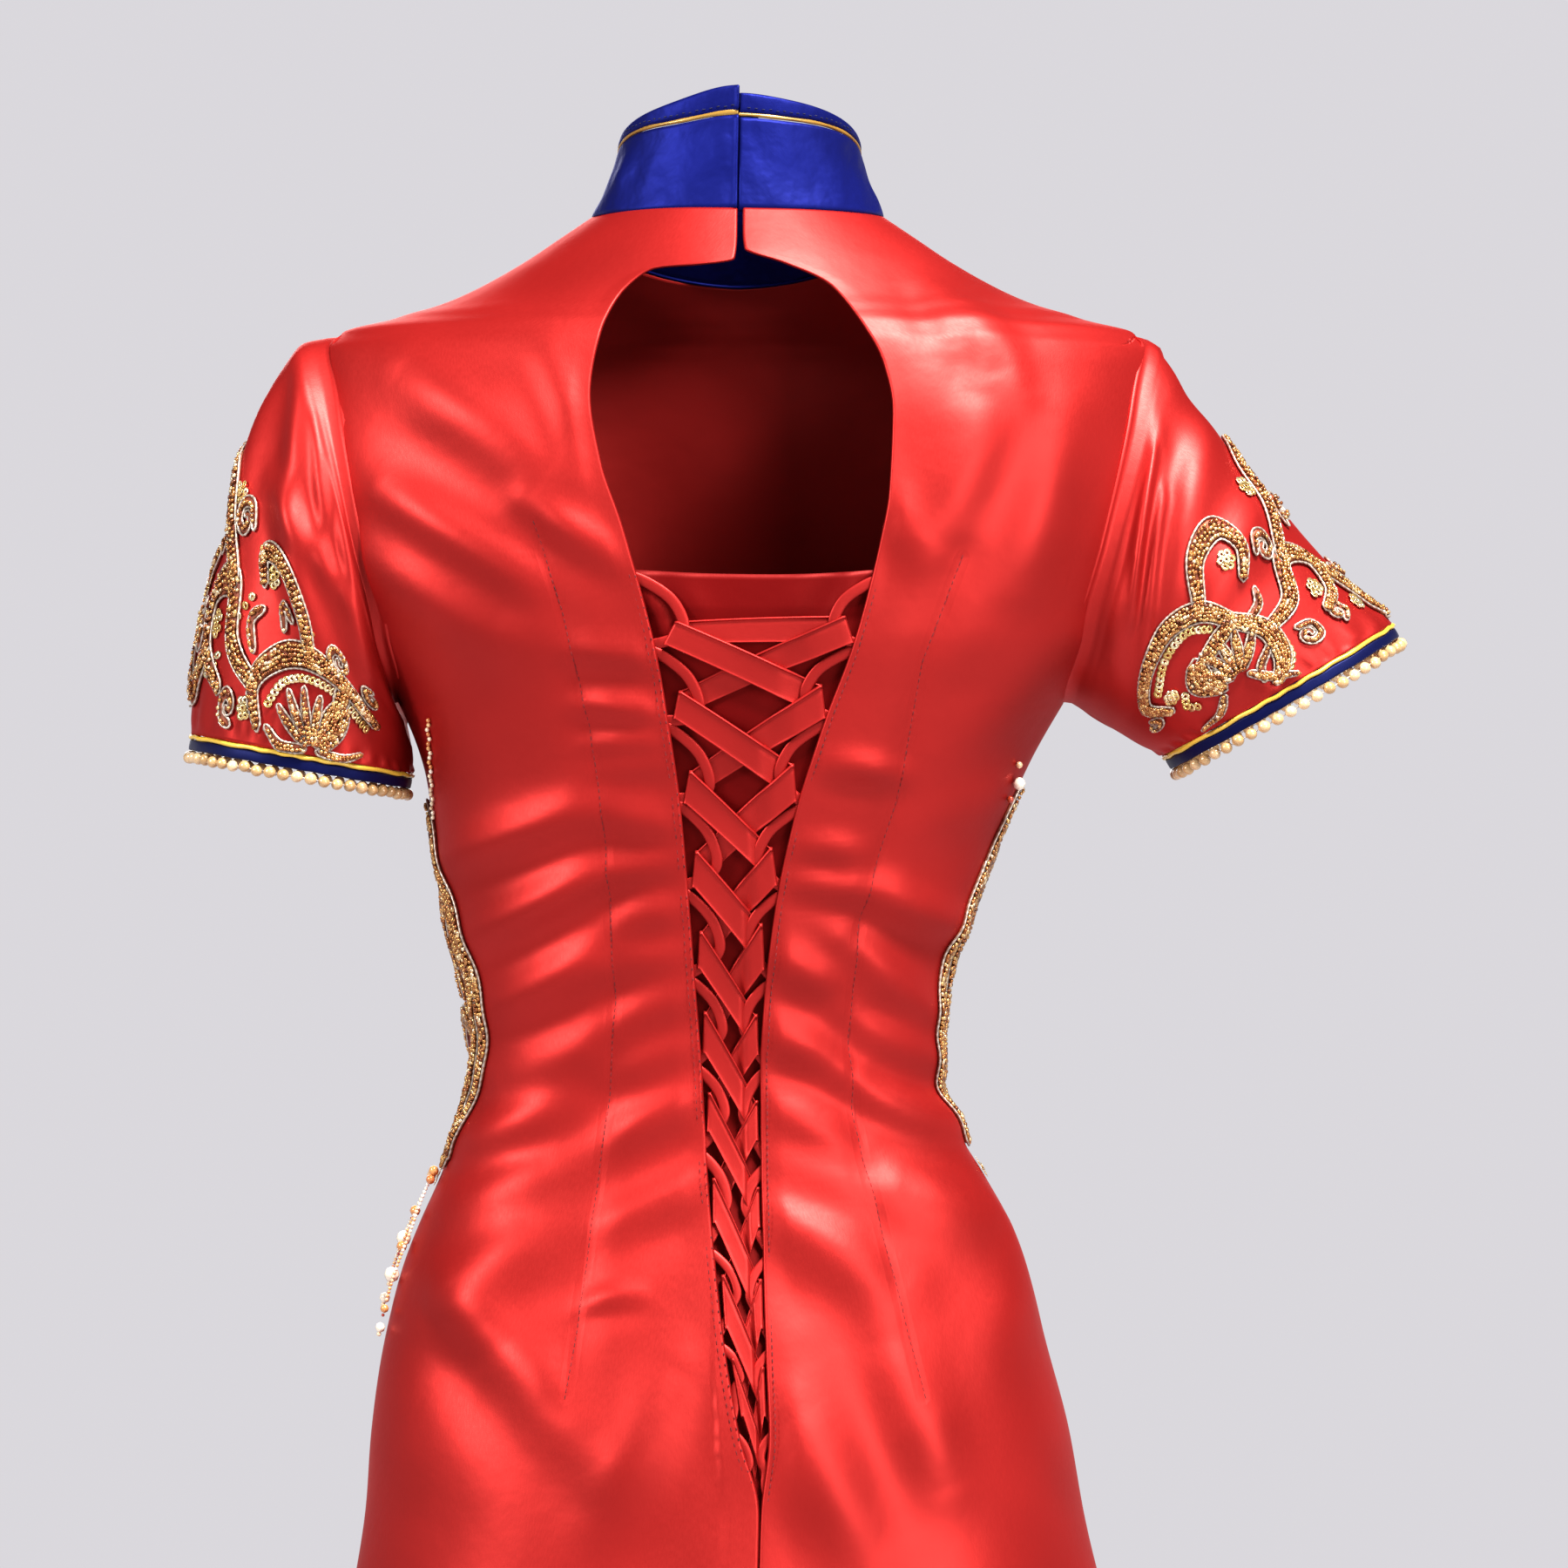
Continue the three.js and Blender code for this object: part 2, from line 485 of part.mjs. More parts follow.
// A tube through rings of points, closed with flat ends, or joined end to end when looped.
function tube(rings, looped = false) {
  const sides = rings[0].length;
  const count = rings.length;
  const points = rings.flat();
  const triangles = [];
  const at = (r, s) => (r % count) * sides + (s % sides);
  for (let r = 0; r < (looped ? count : count - 1); r += 1) {
    for (let s = 0; s < sides; s += 1) {
      triangles.push([at(r, s), at(r, s + 1), at(r + 1, s + 1)]);
      triangles.push([at(r, s), at(r + 1, s + 1), at(r + 1, s)]);
    }
  }
  if (!looped) {
    for (let s = 1; s < sides - 1; s += 1) {
      triangles.push([at(0, 0), at(0, s + 1), at(0, s)]);
      triangles.push([at(count - 1, 0), at(count - 1, s), at(count - 1, s + 1)]);
    }
  }
  return closedGeometry(points, triangles);
}

function toSolid(geometry) {
  const bare = mergeVertices(geometry, 1e-4);
  return new wasm.Manifold(new wasm.Mesh({
    numProp: 3,
    vertProperties: new Float32Array(bare.attributes.position.array),
    triVerts: new Uint32Array(bare.index.array),
  }));
}

function joined(geometries) {
  const solid = geometries.map(toSolid).reduce((a, b) => a.add(b));
  const mesh = solid.getMesh();
  const geometry = new THREE.BufferGeometry();
  geometry.setAttribute('position', new THREE.Float32BufferAttribute(mesh.vertProperties, 3));
  geometry.setIndex([...mesh.triVerts]);
  return geometry;
}

// A flat ribbon along a path on a surface. surface(a, b, height) gives its points, and each
// station of the path has a centre (a, b), a half step across (da, db) and a height.
function ribbon(surface, stations, thick) {
  return tube(stations.map(({ a, b, da, db, height }) => [
    surface(a - da, b - db, height - thick / 2),
    surface(a + da, b + db, height - thick / 2),
    surface(a + da, b + db, height + thick / 2),
    surface(a - da, b - db, height + thick / 2),
  ]));
}

// Panels

// Shares of a row's length that lie an equal distance apart along the body.
function evenShares(from, to, columns) {
  const fine = 48;
  const angleOf = (u) => lerp(from.angle, to.angle, u);
  const heightOf = (u) => lerp(from.z, to.z, u);
  const reached = [0];
  for (let i = 1; i <= fine; i += 1) {
    const [before, after] = [(i - 1) / fine, i / fine];
    const step = formPoint(angleOf(before), heightOf(before))
      .distanceTo(formPoint(angleOf(after), heightOf(after)));
    reached.push(reached[i - 1] + step);
  }
  return Array.from({ length: columns + 1 }, (_, c) => {
    const goal = (c / columns) * reached[fine];
    const i = Math.min(Math.max(reached.findIndex((length) => length >= goal), 1), fine);
    return (i - 1 + (goal - reached[i - 1]) / (reached[i] - reached[i - 1])) / fine;
  });
}

// A patch of the body: its outer and inner points and their angles. Each row runs between two
// ends, and heightAt(share, x, z) lifts its points off the form.
function panel(rowEnds, columns, thickness, heightAt) {
  const angles = rowEnds.map(({ from, to }) => (
    evenShares(from, to, columns).map((u) => lerp(from.angle, to.angle, u))
  ));
  const grid = (extra) => rowEnds.map(({ from, to }, r) => angles[r].map((angle) => {
    const u = (angle - from.angle) / (to.angle - from.angle);
    const z = lerp(from.z, to.z, u) + (from.sag ?? 0) * Math.sin(Math.PI * u) ** 2;
    const atSeam = Math.abs(Math.cos(angle)) < 0.02;
    const facing = atSeam ? Math.sign(Math.sin(angle)) * 90 * DEGREE : angle;
    const point = formPoint(angle, z);
    return point.addScaledVector(formNormal(facing, z), heightAt(u, point.x, z) + extra);
  }));
  return { outer: grid(0), inner: grid(-thickness), angles };
}

// The point of a panel's faceted outside at (angle, z), between its own points.
function onPanel({ outer, angles }, angle, z) {
  const alongRow = (r) => {
    const falling = angles[r][0] > angles[r].at(-1);
    const past = angles[r].findIndex((a, c) => c > 0 && (falling ? a <= angle : a >= angle));
    const c = past < 0 ? angles[r].length - 1 : past;
    const share = (angle - angles[r][c - 1]) / (angles[r][c] - angles[r][c - 1]);
    return outer[r][c - 1].clone().lerp(outer[r][c], share);
  };
  const below = outer.findIndex((_, r) => r > 0 && alongRow(r).z <= z);
  const [high, low] = [alongRow(below - 1), alongRow(below)];
  return high.lerp(low, (high.z - z) / (high.z - low.z));
}

const foldFade = (u) => Math.min(1, u / FOLD_FADE, (1 - u) / FOLD_FADE);

function backPanel(edge, side, folds) {
  const steps = ROW_STEPS.flatMap(({ from, to, step }) => (
    Array.from({ length: Math.round((to - from) / step) }, (_, i) => from + i * step)
  ));
  const table = edge.map((row, at) => ({ ...row, at }));
  const track = ['x', 'z', 'side'].map((key) => curveThrough(table, 'at', key));
  const rowEnds = [...steps, edge.length - 1].map((step) => {
    const [x, z, seamZ] = track.map((curve) => curve(step));
    const seamAngle = angleAtDepth(sideEdgeDepth(seamZ, ARMHOLE_DEPTH.back), seamZ);
    return { from: { angle: angleAcross(x, z), z }, to: { angle: side * seamAngle, z: seamZ } };
  });
  const heightAt = (u, x, z) => foldFade(u) * ridgeHeight(x, z, folds);
  return panel(rowEnds, BACK_COLUMNS, SATIN, heightAt);
}

function frontPanel() {
  const rowEnds = FRONT_ROWS.map((z) => {
    const angle = angleAtDepth(-sideEdgeDepth(z, ARMHOLE_DEPTH.front), z);
    const sag = -NECK_DROP_FRONT * THREE.MathUtils.clamp(1 + z / 110, 0, 1) ** 2;
    return { from: { angle, z, sag }, to: { angle: 2 * Math.PI - angle, z } };
  });
  return panel(rowEnds, FRONT_COLUMNS, SATIN, () => 0);
}

// The modesty panel lies under both lacing edges, from above the lace to below its end. Its
// sides are sewn up against the back panels, and between them it drops to clear the lace.
function modestyPanel() {
  const { top, bottom, rows, columns } = MODESTY;
  const leftEdge = curveThrough(LEFT_EDGE.slice(LACING_FROM), 'z', 'x');
  const rightEdge = curveThrough(RIGHT_EDGE.slice(LACING_FROM), 'z', 'x');
  const rowEnds = Array.from({ length: rows }, (_, r) => {
    const z = lerp(top, bottom, r / (rows - 1));
    return {
      from: { angle: angleAcross(leftEdge(z) + MODESTY.underlap, z), z },
      to: { angle: angleAcross(rightEdge(z) - MODESTY.underlap, z), z },
    };
  });
  const sewnHeight = -SATIN - UNDER_GAP;
  const heightAt = (u) => lerp(
    sewnHeight, MODESTY.height, THREE.MathUtils.smoothstep(Math.min(u, 1 - u), 0, 1 / columns),
  );
  return panel(rowEnds, columns, MODESTY.wall, heightAt);
}

// Sleeves

// A point of a sleeve at section t and angle round the arm, moved out by height. Near the
// armhole it follows the armhole's own edge, and it stays clear of the body's side.
function sleeve(table, creases) {
  const seamT = 0.05;          // the sleeve head, which fits inside the armhole's edge
  const seamGap = 0.6;
  const headT = 0.12;          // where the sleeve has its own depth
  const eggT = 0.5;            // where its section is an oval
  const followT = 0.4;         // where it no longer follows the armhole's edge
  const bodyGap = 2.8;         // between the sleeve and the body's side
  const cuffFade = 0.15;       // creases fade out over this share before the cuff
  const side = Math.sign(table[0].topX);
  const keys = ['topX', 'topZ', 'lowX', 'lowZ', 'depth'];
  const section = Object.fromEntries(keys.map((key) => [key, curveThrough(table, 't', key)]));
  const onBody = (y, z) => {
    const angle = angleAtDepth(y, z);
    return formPoint(side * angle, z).x;
  };
  const surface = (t, round) => {
    const [up, back] = [Math.cos(round), Math.sin(round)];
    const x = lerp(section.lowX(t), section.topX(t), (1 + up) / 2);
    const z = lerp(section.lowZ(t), section.topZ(t), (1 + up) / 2);
    const egg = lerp(1 - 0.25 * up, 1, Math.min(t / eggT, 1));
    const armholeZ = lerp(section.lowZ(0), section.topZ(0), (1 + up) / 2);
    const armholeDepth = back >= 0 ? ARMHOLE_DEPTH.back : ARMHOLE_DEPTH.front;
    const tight = t < seamT ? 1 - seamGap / armholeDepth : 1;
    const y = lerp(armholeDepth, section.depth(t), Math.min(t / headT, 1)) * back * egg * tight;
    const toBody = onBody(y, armholeZ) - lerp(section.lowX(0), section.topX(0), (1 + up) / 2);
    const blend = THREE.MathUtils.smoothstep(followT - t, 0, followT);
    const lift = t < 0.01 ? seamGap : bodyGap;
    const clear = side * onBody(y, z) + lift;
    const outward = Math.max(side * (x + toBody * blend) + lift * blend, clear);
    return new THREE.Vector3(side * outward, y, z);
  };
  const centre = (t) => new THREE.Vector3(
    (section.lowX(t) + section.topX(t)) / 2, 0, (section.lowZ(t) + section.topZ(t)) / 2,
  );
  const normal = (t, round) => {
    const t0 = THREE.MathUtils.clamp(t, 0.06, 0.97);
    const along = surface(t0 + 0.03, round).sub(surface(t0 - 0.03, round));
    const across = surface(t0, round + 0.06).sub(surface(t0, round - 0.06));
    const out = across.cross(along).normalize();
    const away = surface(t0, round).sub(centre(t0));
    return out.dot(away) < 0 ? out.negate() : out;
  };
  const reach = 150;           // length of a sleeve, for creases laid out in millimetres
  const girth = 70;            // its mean radius
  const ridges = creases.map(({ t0, a0, t1, a1, wide, high }) => ({
    x0: t0 * reach, z0: a0 * DEGREE * girth, x1: t1 * reach, z1: a1 * DEGREE * girth, wide, high,
  }));
  const point = (t, round, height) => {
    const crease = t > 0.1 ? ridgeHeight(t * reach, round * girth, ridges) : 0;
    const fade = Math.min(1, Math.max(0, (1 - t) / cuffFade));
    return surface(t, round).addScaledVector(normal(t, round), height + crease * fade);
  };
  return { point, surface, section, centre, side };
}

const angleSteps = (count) => Array.from({ length: count }, (_, i) => (i / count) * 2 * Math.PI);

// Half a sleeve, from the shoulder line to the underarm seam, behind the arm or before it.
function sleeveHalf(shape, half) {
  const span = SLEEVE_COLUMNS / 2;
  const first = half === 'back' ? 0 : span;
  const angles = Array.from({ length: span + 1 }, (_, i) => {
    const round = ((first + i) / SLEEVE_COLUMNS) * 2 * Math.PI;
    return round > Math.PI ? round - 2 * Math.PI : round;
  });
  const rows = (height) => SLEEVE_ROWS.map((t) => (
    angles.map((round) => shape.point(t, round, height))
  ));
  return wall({ outer: rows(0), inner: rows(-SATIN) });
}

// The cuff's oval and the direction in which the arm leaves it.
function cuffFrame(shape) {
  const across = new THREE.Vector3(
    (shape.section.topX(1) - shape.section.lowX(1)) / 2, 0,
    (shape.section.topZ(1) - shape.section.lowZ(1)) / 2,
  );
  const depth = new THREE.Vector3(0, shape.section.depth(1), 0);
  const leaving = new THREE.Vector3().crossVectors(across, depth).normalize();
  if (leaving.z > 0) leaving.negate();
  return { centre: shape.centre(1), across, depth, leaving };
}

// A ring round the cuff: at each of its stations a section in (outward, along the arm).
function cuffRing(frame, stations, section) {
  const rings = angleSteps(stations).map((round, i) => {
    const spoke = frame.across.clone().multiplyScalar(Math.cos(round))
      .addScaledVector(frame.depth, Math.sin(round));
    const radius = spoke.length();
    return section(i).map(([out, along]) => (
      frame.centre.clone().addScaledVector(spoke, (radius + out) / radius)
        .addScaledVector(frame.leaving, along)
    ));
  });
  return tube(rings, true);
}

const circle = (radius, sides, out, along) => angleSteps(sides).map((turn) => (
  [out + radius * Math.cos(turn), along + radius * Math.sin(turn)]
));

function cuffPieces(shape) {
  const frame = cuffFrame(shape);
  const pipingAt = SEAM_GAP + CUFF_PIPING / 2;
  const bandFrom = pipingAt + CUFF_PIPING / 2 + SEAM_GAP;
  const bandTo = bandFrom + CUFF_BAND;
  const pearlAt = bandTo + SEAM_GAP + PEARL / 2;
  const pipingSink = -0.6;
  const pearlSink = -1;
  const thread = 0.9;
  const piping = cuffRing(frame, CUFF_STATIONS, () => (
    circle(CUFF_PIPING / 2, 5, pipingSink, pipingAt)
  ));
  const band = cuffRing(frame, CUFF_STATIONS, () => (
    [[0, bandFrom], [0, bandTo], [-SATIN, bandTo], [-SATIN, bandFrom]]
  ));
  // Two stations a pearl: its belly and the thread between it and the next one.
  const pearls = cuffRing(frame, 2 * PEARLS_PER_CUFF, (i) => (
    circle(i % 2 ? PEARL / 2 : thread, PEARL_SIDES, pearlSink, pearlAt)
  ));
  return { piping, band, pearls };
}

// Collar

const necklineZ = (angle) => (Math.cos(angle) > 0 ? 0 : -NECK_DROP_FRONT * Math.cos(angle) ** 2);

// A point of the collar stand: angle round the neck, share of the way up, height out.
function collarPoint(angle, share, out) {
  const base = formPoint(angle, necklineZ(angle));
  const top = new THREE.Vector3(
    COLLAR.topHalf * Math.sin(angle) + COLLAR.opening,
    Math.cos(angle) * (Math.cos(angle) > 0 ? COLLAR.topBack : COLLAR.topFront),
    COLLAR.sideHeight + COLLAR.tilt * Math.cos(angle),
  );
  base.z += SEAM_GAP;
  const point = base.lerp(top, share);
  const outward = new THREE.Vector3(Math.sin(angle), Math.cos(angle), 0);
  return point.addScaledVector(outward, out - COLLAR.waisting * Math.sin(Math.PI * share));
}

const collarHeight = (angle) => collarPoint(angle, 1, 0).distanceTo(collarPoint(angle, 0, 0));
const bindingShare = (angle) => (
  1 - (COLLAR.bindingSide + COLLAR.bindingBack * Math.max(0, Math.cos(angle)) ** 3)
    / collarHeight(angle)
);

function collarPieces() {
  const { columns } = COLLAR;
  const start = COLLAR.gap / COLLAR.topBack;
  const angles = Array.from({ length: columns + 1 }, (_, c) => (
    lerp(start, 2 * Math.PI - start, c / columns)
  ));
  const mm = (angle, length) => length / collarHeight(angle);
  const strip = (rows, low, high) => {
    const grid = (out) => Array.from({ length: rows }, (_, r) => angles.map((angle) => (
      collarPoint(angle, lerp(low(angle), high(angle), r / (rows - 1)), out)
    )));
    return wall({ outer: grid(0), inner: grid(-COLLAR_WALL) });
  };
  const pipingShare = (angle) => bindingShare(angle) - mm(angle, SEAM_GAP + COLLAR_PIPING / 2);
  const standTop = (angle) => pipingShare(angle) - mm(angle, COLLAR_PIPING / 2 + SEAM_GAP);
  const piping = tube(angles.map((angle) => circle(COLLAR_PIPING / 2, 5, 0, 0).map(([out, up]) => (
    collarPoint(angle, pipingShare(angle) + mm(angle, up), out - 0.5)
  ))));
  return {
    stand: strip(4, () => 0, standTop),
    binding: strip(2, bindingShare, () => 1),
    piping,
  };
}

// Lacing

const turnEnds = (turn) => [{ x: turn.x, z: turn.z }, { x: turn.x2, z: turn.z2 }];

// A stretch of lace between two turns, as wide as their folded edges.
function laceBand(first, second, heightAt) {
  const [[topA, lowA], [topB, lowB]] = [turnEnds(first), turnEnds(second)];
  const stations = [0, 0.28, 0.45, 0.5, 0.66, 1].map((s) => {
    const [topX, topZ] = [lerp(topA.x, topB.x, s), lerp(topA.z, topB.z, s)];
    const [lowX, lowZ] = [lerp(lowA.x, lowB.x, s), lerp(lowA.z, lowB.z, s)];
    return {
      a: (topX + lowX) / 2, b: (topZ + lowZ) / 2,
      da: (lowX - topX) / 2, db: (lowZ - topZ) / 2, height: heightAt(s),
    };
  });
  return ribbon(backPoint, stations, LACE.thick);
}

// The folded edge where the lace comes up from under a loop and turns back over it. It ends
// inside the two stretches that it joins.
function laceTurn(turn, inward) {
  const [near, far, held] = [0.3, 1.3, 0.55];
  const corner = (share, fold) => ({
    x: lerp(turn.x2, turn.x, share) + inward * fold, z: lerp(turn.z2, turn.z, share),
  });
  const corners = [corner(0.08, near), corner(held, near), corner(held / 2, far)];
  return tube([LACE.low, LACE.high].map((height) => (
    corners.map(({ x, z }) => backPoint(x, z, height))
  )));
}

function lace() {
  const { low, high } = LACE;
  const { smoothstep } = THREE.MathUtils;
  const over = (s) => lerp(high, low, smoothstep(s, 0.5, 0.66));
  const under = (s) => lerp(high, low, smoothstep(s, 0.28, 0.45));
  const bands = [laceBand(LEFT_TURNS[0], RIGHT_TURNS[0], () => low)];
  for (let k = 0; k < LEFT_TURNS.length - 1; k += 1) {
    bands.push(laceBand(LEFT_TURNS[k], RIGHT_TURNS[k + 1], over));
    bands.push(laceBand(RIGHT_TURNS[k], LEFT_TURNS[k + 1], under));
  }
  const turns = [
    ...LEFT_TURNS.slice(0, -1).map((turn) => laceTurn(turn, -1)),
    ...RIGHT_TURNS.slice(0, -1).map((turn) => laceTurn(turn, 1)),
  ];
  return joined([...bands, ...turns]);
}

// A strand of rouleau through a few (x, z, height) points, flat on the body.
function strand(points, wide, thick) {
  const curve = new THREE.CatmullRomCurve3(points.map((p) => new THREE.Vector3(...p)));
  const steps = Math.round(1.5 * (points.length - 1));
  const stations = Array.from({ length: steps + 1 }, (_, i) => {
    const at = curve.getPoint(i / steps);
    const along = curve.getTangent(i / steps);
    const run = Math.hypot(along.x, along.y);
    return {
      a: at.x, b: at.y, height: at.z,
      da: (-along.y / run) * (wide / 2), db: (along.x / run) * (wide / 2),
    };
  });
  return ribbon(backPoint, stations, thick);
}

function loopTape(loops, edge, side) {
  const edgeX = curveThrough(edge.slice(LACING_FROM, LACING_TO), 'z', 'x');
  const under = -SATIN - UNDER_GAP - LOOP.tapeThick / 2;
  const stations = 13;
  const tape = Array.from({ length: stations }, (_, i) => {
    const z = lerp(loops[0].root + 5, loops.at(-1).root - 6, i / (stations - 1));
    const a = edgeX(z) + side * (LOOP.tapeWide / 2 + 1);
    return { a, b: z, da: LOOP.tapeWide / 2, db: 0, height: under };
  });
  const strands = loops.map(({ root, x, z }) => {
    const from = edgeX(root) + side * 4;
    const [reach, drop] = [x - from, z - root];
    return strand([
      [from, root, under],
      [from + 0.35 * reach, root + 0.16 * drop, under],
      [from + 0.8 * reach, root + 0.52 * drop, LOOP.height],
      [x, z, LOOP.height],
    ], LOOP.wide * (root > -440 ? 1 : 0.8), LOOP.thick);
  });
  return joined([ribbon(backPoint, tape, LOOP.tapeThick), ...strands]);
}

// Applique

// Bands along paths on a surface, joined where they meet. scale turns (a, b) into millimetres.
function applique(surface, scrolls, scale) {
  const solids = scrolls.map(({ wide, path }) => {
    const curve = new THREE.CatmullRomCurve3(path.map(([a, b]) => (
      new THREE.Vector3(a * scale.a, b * scale.b, 0)
    )));
    const steps = 2 * (path.length - 1);
    const stations = Array.from({ length: steps + 1 }, (_, i) => {
      const s = i / steps;
      const at = curve.getPoint(s);
      const along = curve.getTangent(s);
      const half = (wide / 2) * (0.45 + 0.55 * Math.sin(Math.PI * (0.15 + 0.8 * s)));
      return {
        a: at.x / scale.a, b: at.y / scale.b, height: (APPLIQUE.low + APPLIQUE.high) / 2,
        da: (-along.y * half) / scale.a, db: (along.x * half) / scale.b,
      };
    });
    return ribbon(surface, stations, APPLIQUE.high - APPLIQUE.low);
  });
  return joined(solids);
}

const sleeveApplique = (shape, scrolls) => applique(
  (t, degrees, height) => shape.point(t, degrees * DEGREE, height), scrolls, SLEEVE_SCALE,
);

function waistApplique(scrolls, back, front) {
  const surface = (degrees, z, height) => {
    const angle = degrees * DEGREE;
    const piece = Math.abs(degrees) < 90 ? back : front;
    const round = piece === front && angle < 0 ? angle + 2 * Math.PI : angle;
    return onPanel(piece, round, z).addScaledVector(formNormal(angle, z), height);
  };
  return applique(surface, scrolls, WAIST_SCALE);
}

// Bead strands that hang from a small head at the tip of the waist applique.
function hipTassels(back) {
  const hang = (degrees, z, height) => (
    onPanel(back, degrees * DEGREE, z).addScaledVector(formNormal(degrees * DEGREE, z), height)
  );
  const squareRing = (angle, z, radius) => angleSteps(4).map((turn) => (
    hang(angle, z, TASSEL_HEIGHT + radius * Math.cos(turn))
      .addScaledVector(new THREE.Vector3(0, 1, 0), radius * Math.sin(turn))
  ));
  const solids = TASSELS.map(({ angle, end, amber, pearl }) => {
    const beads = [
      { z: end + pearl * 1.7 + amber, size: amber },
      { z: end + pearl / 2 + 1, size: pearl },
    ];
    const stations = [
      { z: TASSEL_HEAD.z - 2, r: 1 },
      { z: beads[0].z + amber / 2 + 6, r: 0.9 },
      ...beads.flatMap(({ z, size }) => [
        { z: z + size / 2, r: 0.6 }, { z: z + size / 6, r: size / 2 },
        { z: z - size / 6, r: size / 2 }, { z: z - size / 2, r: 0.6 },
      ]),
      { z: end, r: 0.5 },
    ];
    return tube(stations.map(({ z, r }) => {
      const fall = THREE.MathUtils.smoothstep(TASSEL_HEAD.z - z, 0, 30);
      return squareRing(lerp(TASSEL_HEAD.angle, angle, fall), z, r);
    }));
  });
  const head = tube([
    { rise: 4, r: 1.2 }, { rise: 0, r: 3.7 }, { rise: -5, r: 3.2 },
  ].map(({ rise, r }) => squareRing(TASSEL_HEAD.angle, TASSEL_HEAD.z + rise, r)));
  return joined([head, ...solids]);
}

// Assembly

const dress = new THREE.Group();
const finishes = {
  satin: { color: COLOURS.satin, roughness: 0.38, metalness: 0 },
  blue: { color: COLOURS.blue, roughness: 0.36, metalness: 0 },
  gold: { color: COLOURS.gold, roughness: 0.45, metalness: 0.4 },
  pearl: { color: COLOURS.pearl, roughness: 0.25, metalness: 0 },
  beads: { color: COLOURS.beads, roughness: 0.4, metalness: 0.5 },
};

function addPiece(name, geometry, finish) {
  const mesh = new THREE.Mesh(geometry, new THREE.MeshStandardMaterial(finishes[finish]));
  mesh.name = name;
  dress.add(mesh);
}

const backLeft = backPanel(LEFT_EDGE, 1, LEFT_FOLDS);
const backRight = backPanel(RIGHT_EDGE, -1, RIGHT_FOLDS);
const front = frontPanel();
addPiece('back_left', wall(backLeft), 'satin');
addPiece('back_right', wall(backRight), 'satin');
addPiece('front', wall(front), 'satin');
addPiece('modesty_panel', wall(modestyPanel()), 'satin');

const sleeves = {
  left: { shape: sleeve(LEFT_SLEEVE, LEFT_CREASES), scrolls: LEFT_SCROLLS },
  right: { shape: sleeve(RIGHT_SLEEVE, RIGHT_CREASES), scrolls: RIGHT_SCROLLS },
};
for (const [name, { shape, scrolls }] of Object.entries(sleeves)) {
  const cuff = cuffPieces(shape);
  addPiece(`sleeve_${name}_back`, sleeveHalf(shape, 'back'), 'satin');
  addPiece(`sleeve_${name}_front`, sleeveHalf(shape, 'front'), 'satin');
  addPiece(`cuff_piping_${name}`, cuff.piping, 'gold');
  addPiece(`cuff_band_${name}`, cuff.band, 'blue');
  addPiece(`cuff_pearls_${name}`, cuff.pearls, 'pearl');
  addPiece(`applique_sleeve_${name}`, sleeveApplique(shape, scrolls), 'beads');
}

const collar = collarPieces();
addPiece('collar', collar.stand, 'blue');
addPiece('collar_piping', collar.piping, 'gold');
addPiece('collar_binding', collar.binding, 'blue');

addPiece('loops_left', loopTape(LEFT_LOOPS, LEFT_EDGE, 1), 'satin');
addPiece('loops_right', loopTape(RIGHT_LOOPS, RIGHT_EDGE, -1), 'satin');
addPiece('lace', lace(), 'satin');

addPiece('applique_waist_left', waistApplique(LEFT_WAIST, backLeft, front), 'beads');
addPiece('applique_waist_right', waistApplique(RIGHT_WAIST, backRight, front), 'beads');
addPiece('hip_tassels', hipTassels(backLeft), 'pearl');

export default dress;
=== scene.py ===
# %% [markdown]
# A red satin wedding dress in a modern qipao style, seen from behind: a blue stand collar, a
# keyhole, a laced back, short beaded sleeves and a flared skirt. The dress is hollow, as it is
# when it is worn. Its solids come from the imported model. This lesson makes what the eye meets:
# thin cloth with its folds, the lace and its loops, the bead work and the finishes.
# All lengths in the tables below are millimetres, and one line turns them into metres.

import bmesh
import bpy
import numpy as np
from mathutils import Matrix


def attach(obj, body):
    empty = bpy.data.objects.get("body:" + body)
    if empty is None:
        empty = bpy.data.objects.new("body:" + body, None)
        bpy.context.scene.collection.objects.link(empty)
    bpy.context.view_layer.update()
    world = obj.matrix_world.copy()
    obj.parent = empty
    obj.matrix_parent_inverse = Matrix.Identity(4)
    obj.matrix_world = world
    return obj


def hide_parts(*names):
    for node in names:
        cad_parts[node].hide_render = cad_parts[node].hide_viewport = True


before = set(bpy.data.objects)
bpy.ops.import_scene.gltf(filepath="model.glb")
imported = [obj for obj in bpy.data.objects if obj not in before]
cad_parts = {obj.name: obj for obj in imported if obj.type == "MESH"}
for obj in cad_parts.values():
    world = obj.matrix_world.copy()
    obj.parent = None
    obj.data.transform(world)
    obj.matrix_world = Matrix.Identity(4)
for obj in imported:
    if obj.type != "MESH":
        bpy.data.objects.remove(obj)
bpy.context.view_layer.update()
MM = 0.001
DEGREE = np.pi / 180
random = np.random.default_rng(11)

# %% [markdown]
# The camera stands behind the dress at shoulder-blade height and looks straight at it, a little
# nearer its middle than its lacing. A long lens keeps the perspective gentle. It comes first, so
# that every piece can be looked at as soon as it is made.

# %% Camera
CAMERA_PLACE = (-0.0212, 2.8, -0.260)
VIEW_WIDTH = 0.72              # metres across the picture, at the origin's distance
SENSOR = 36

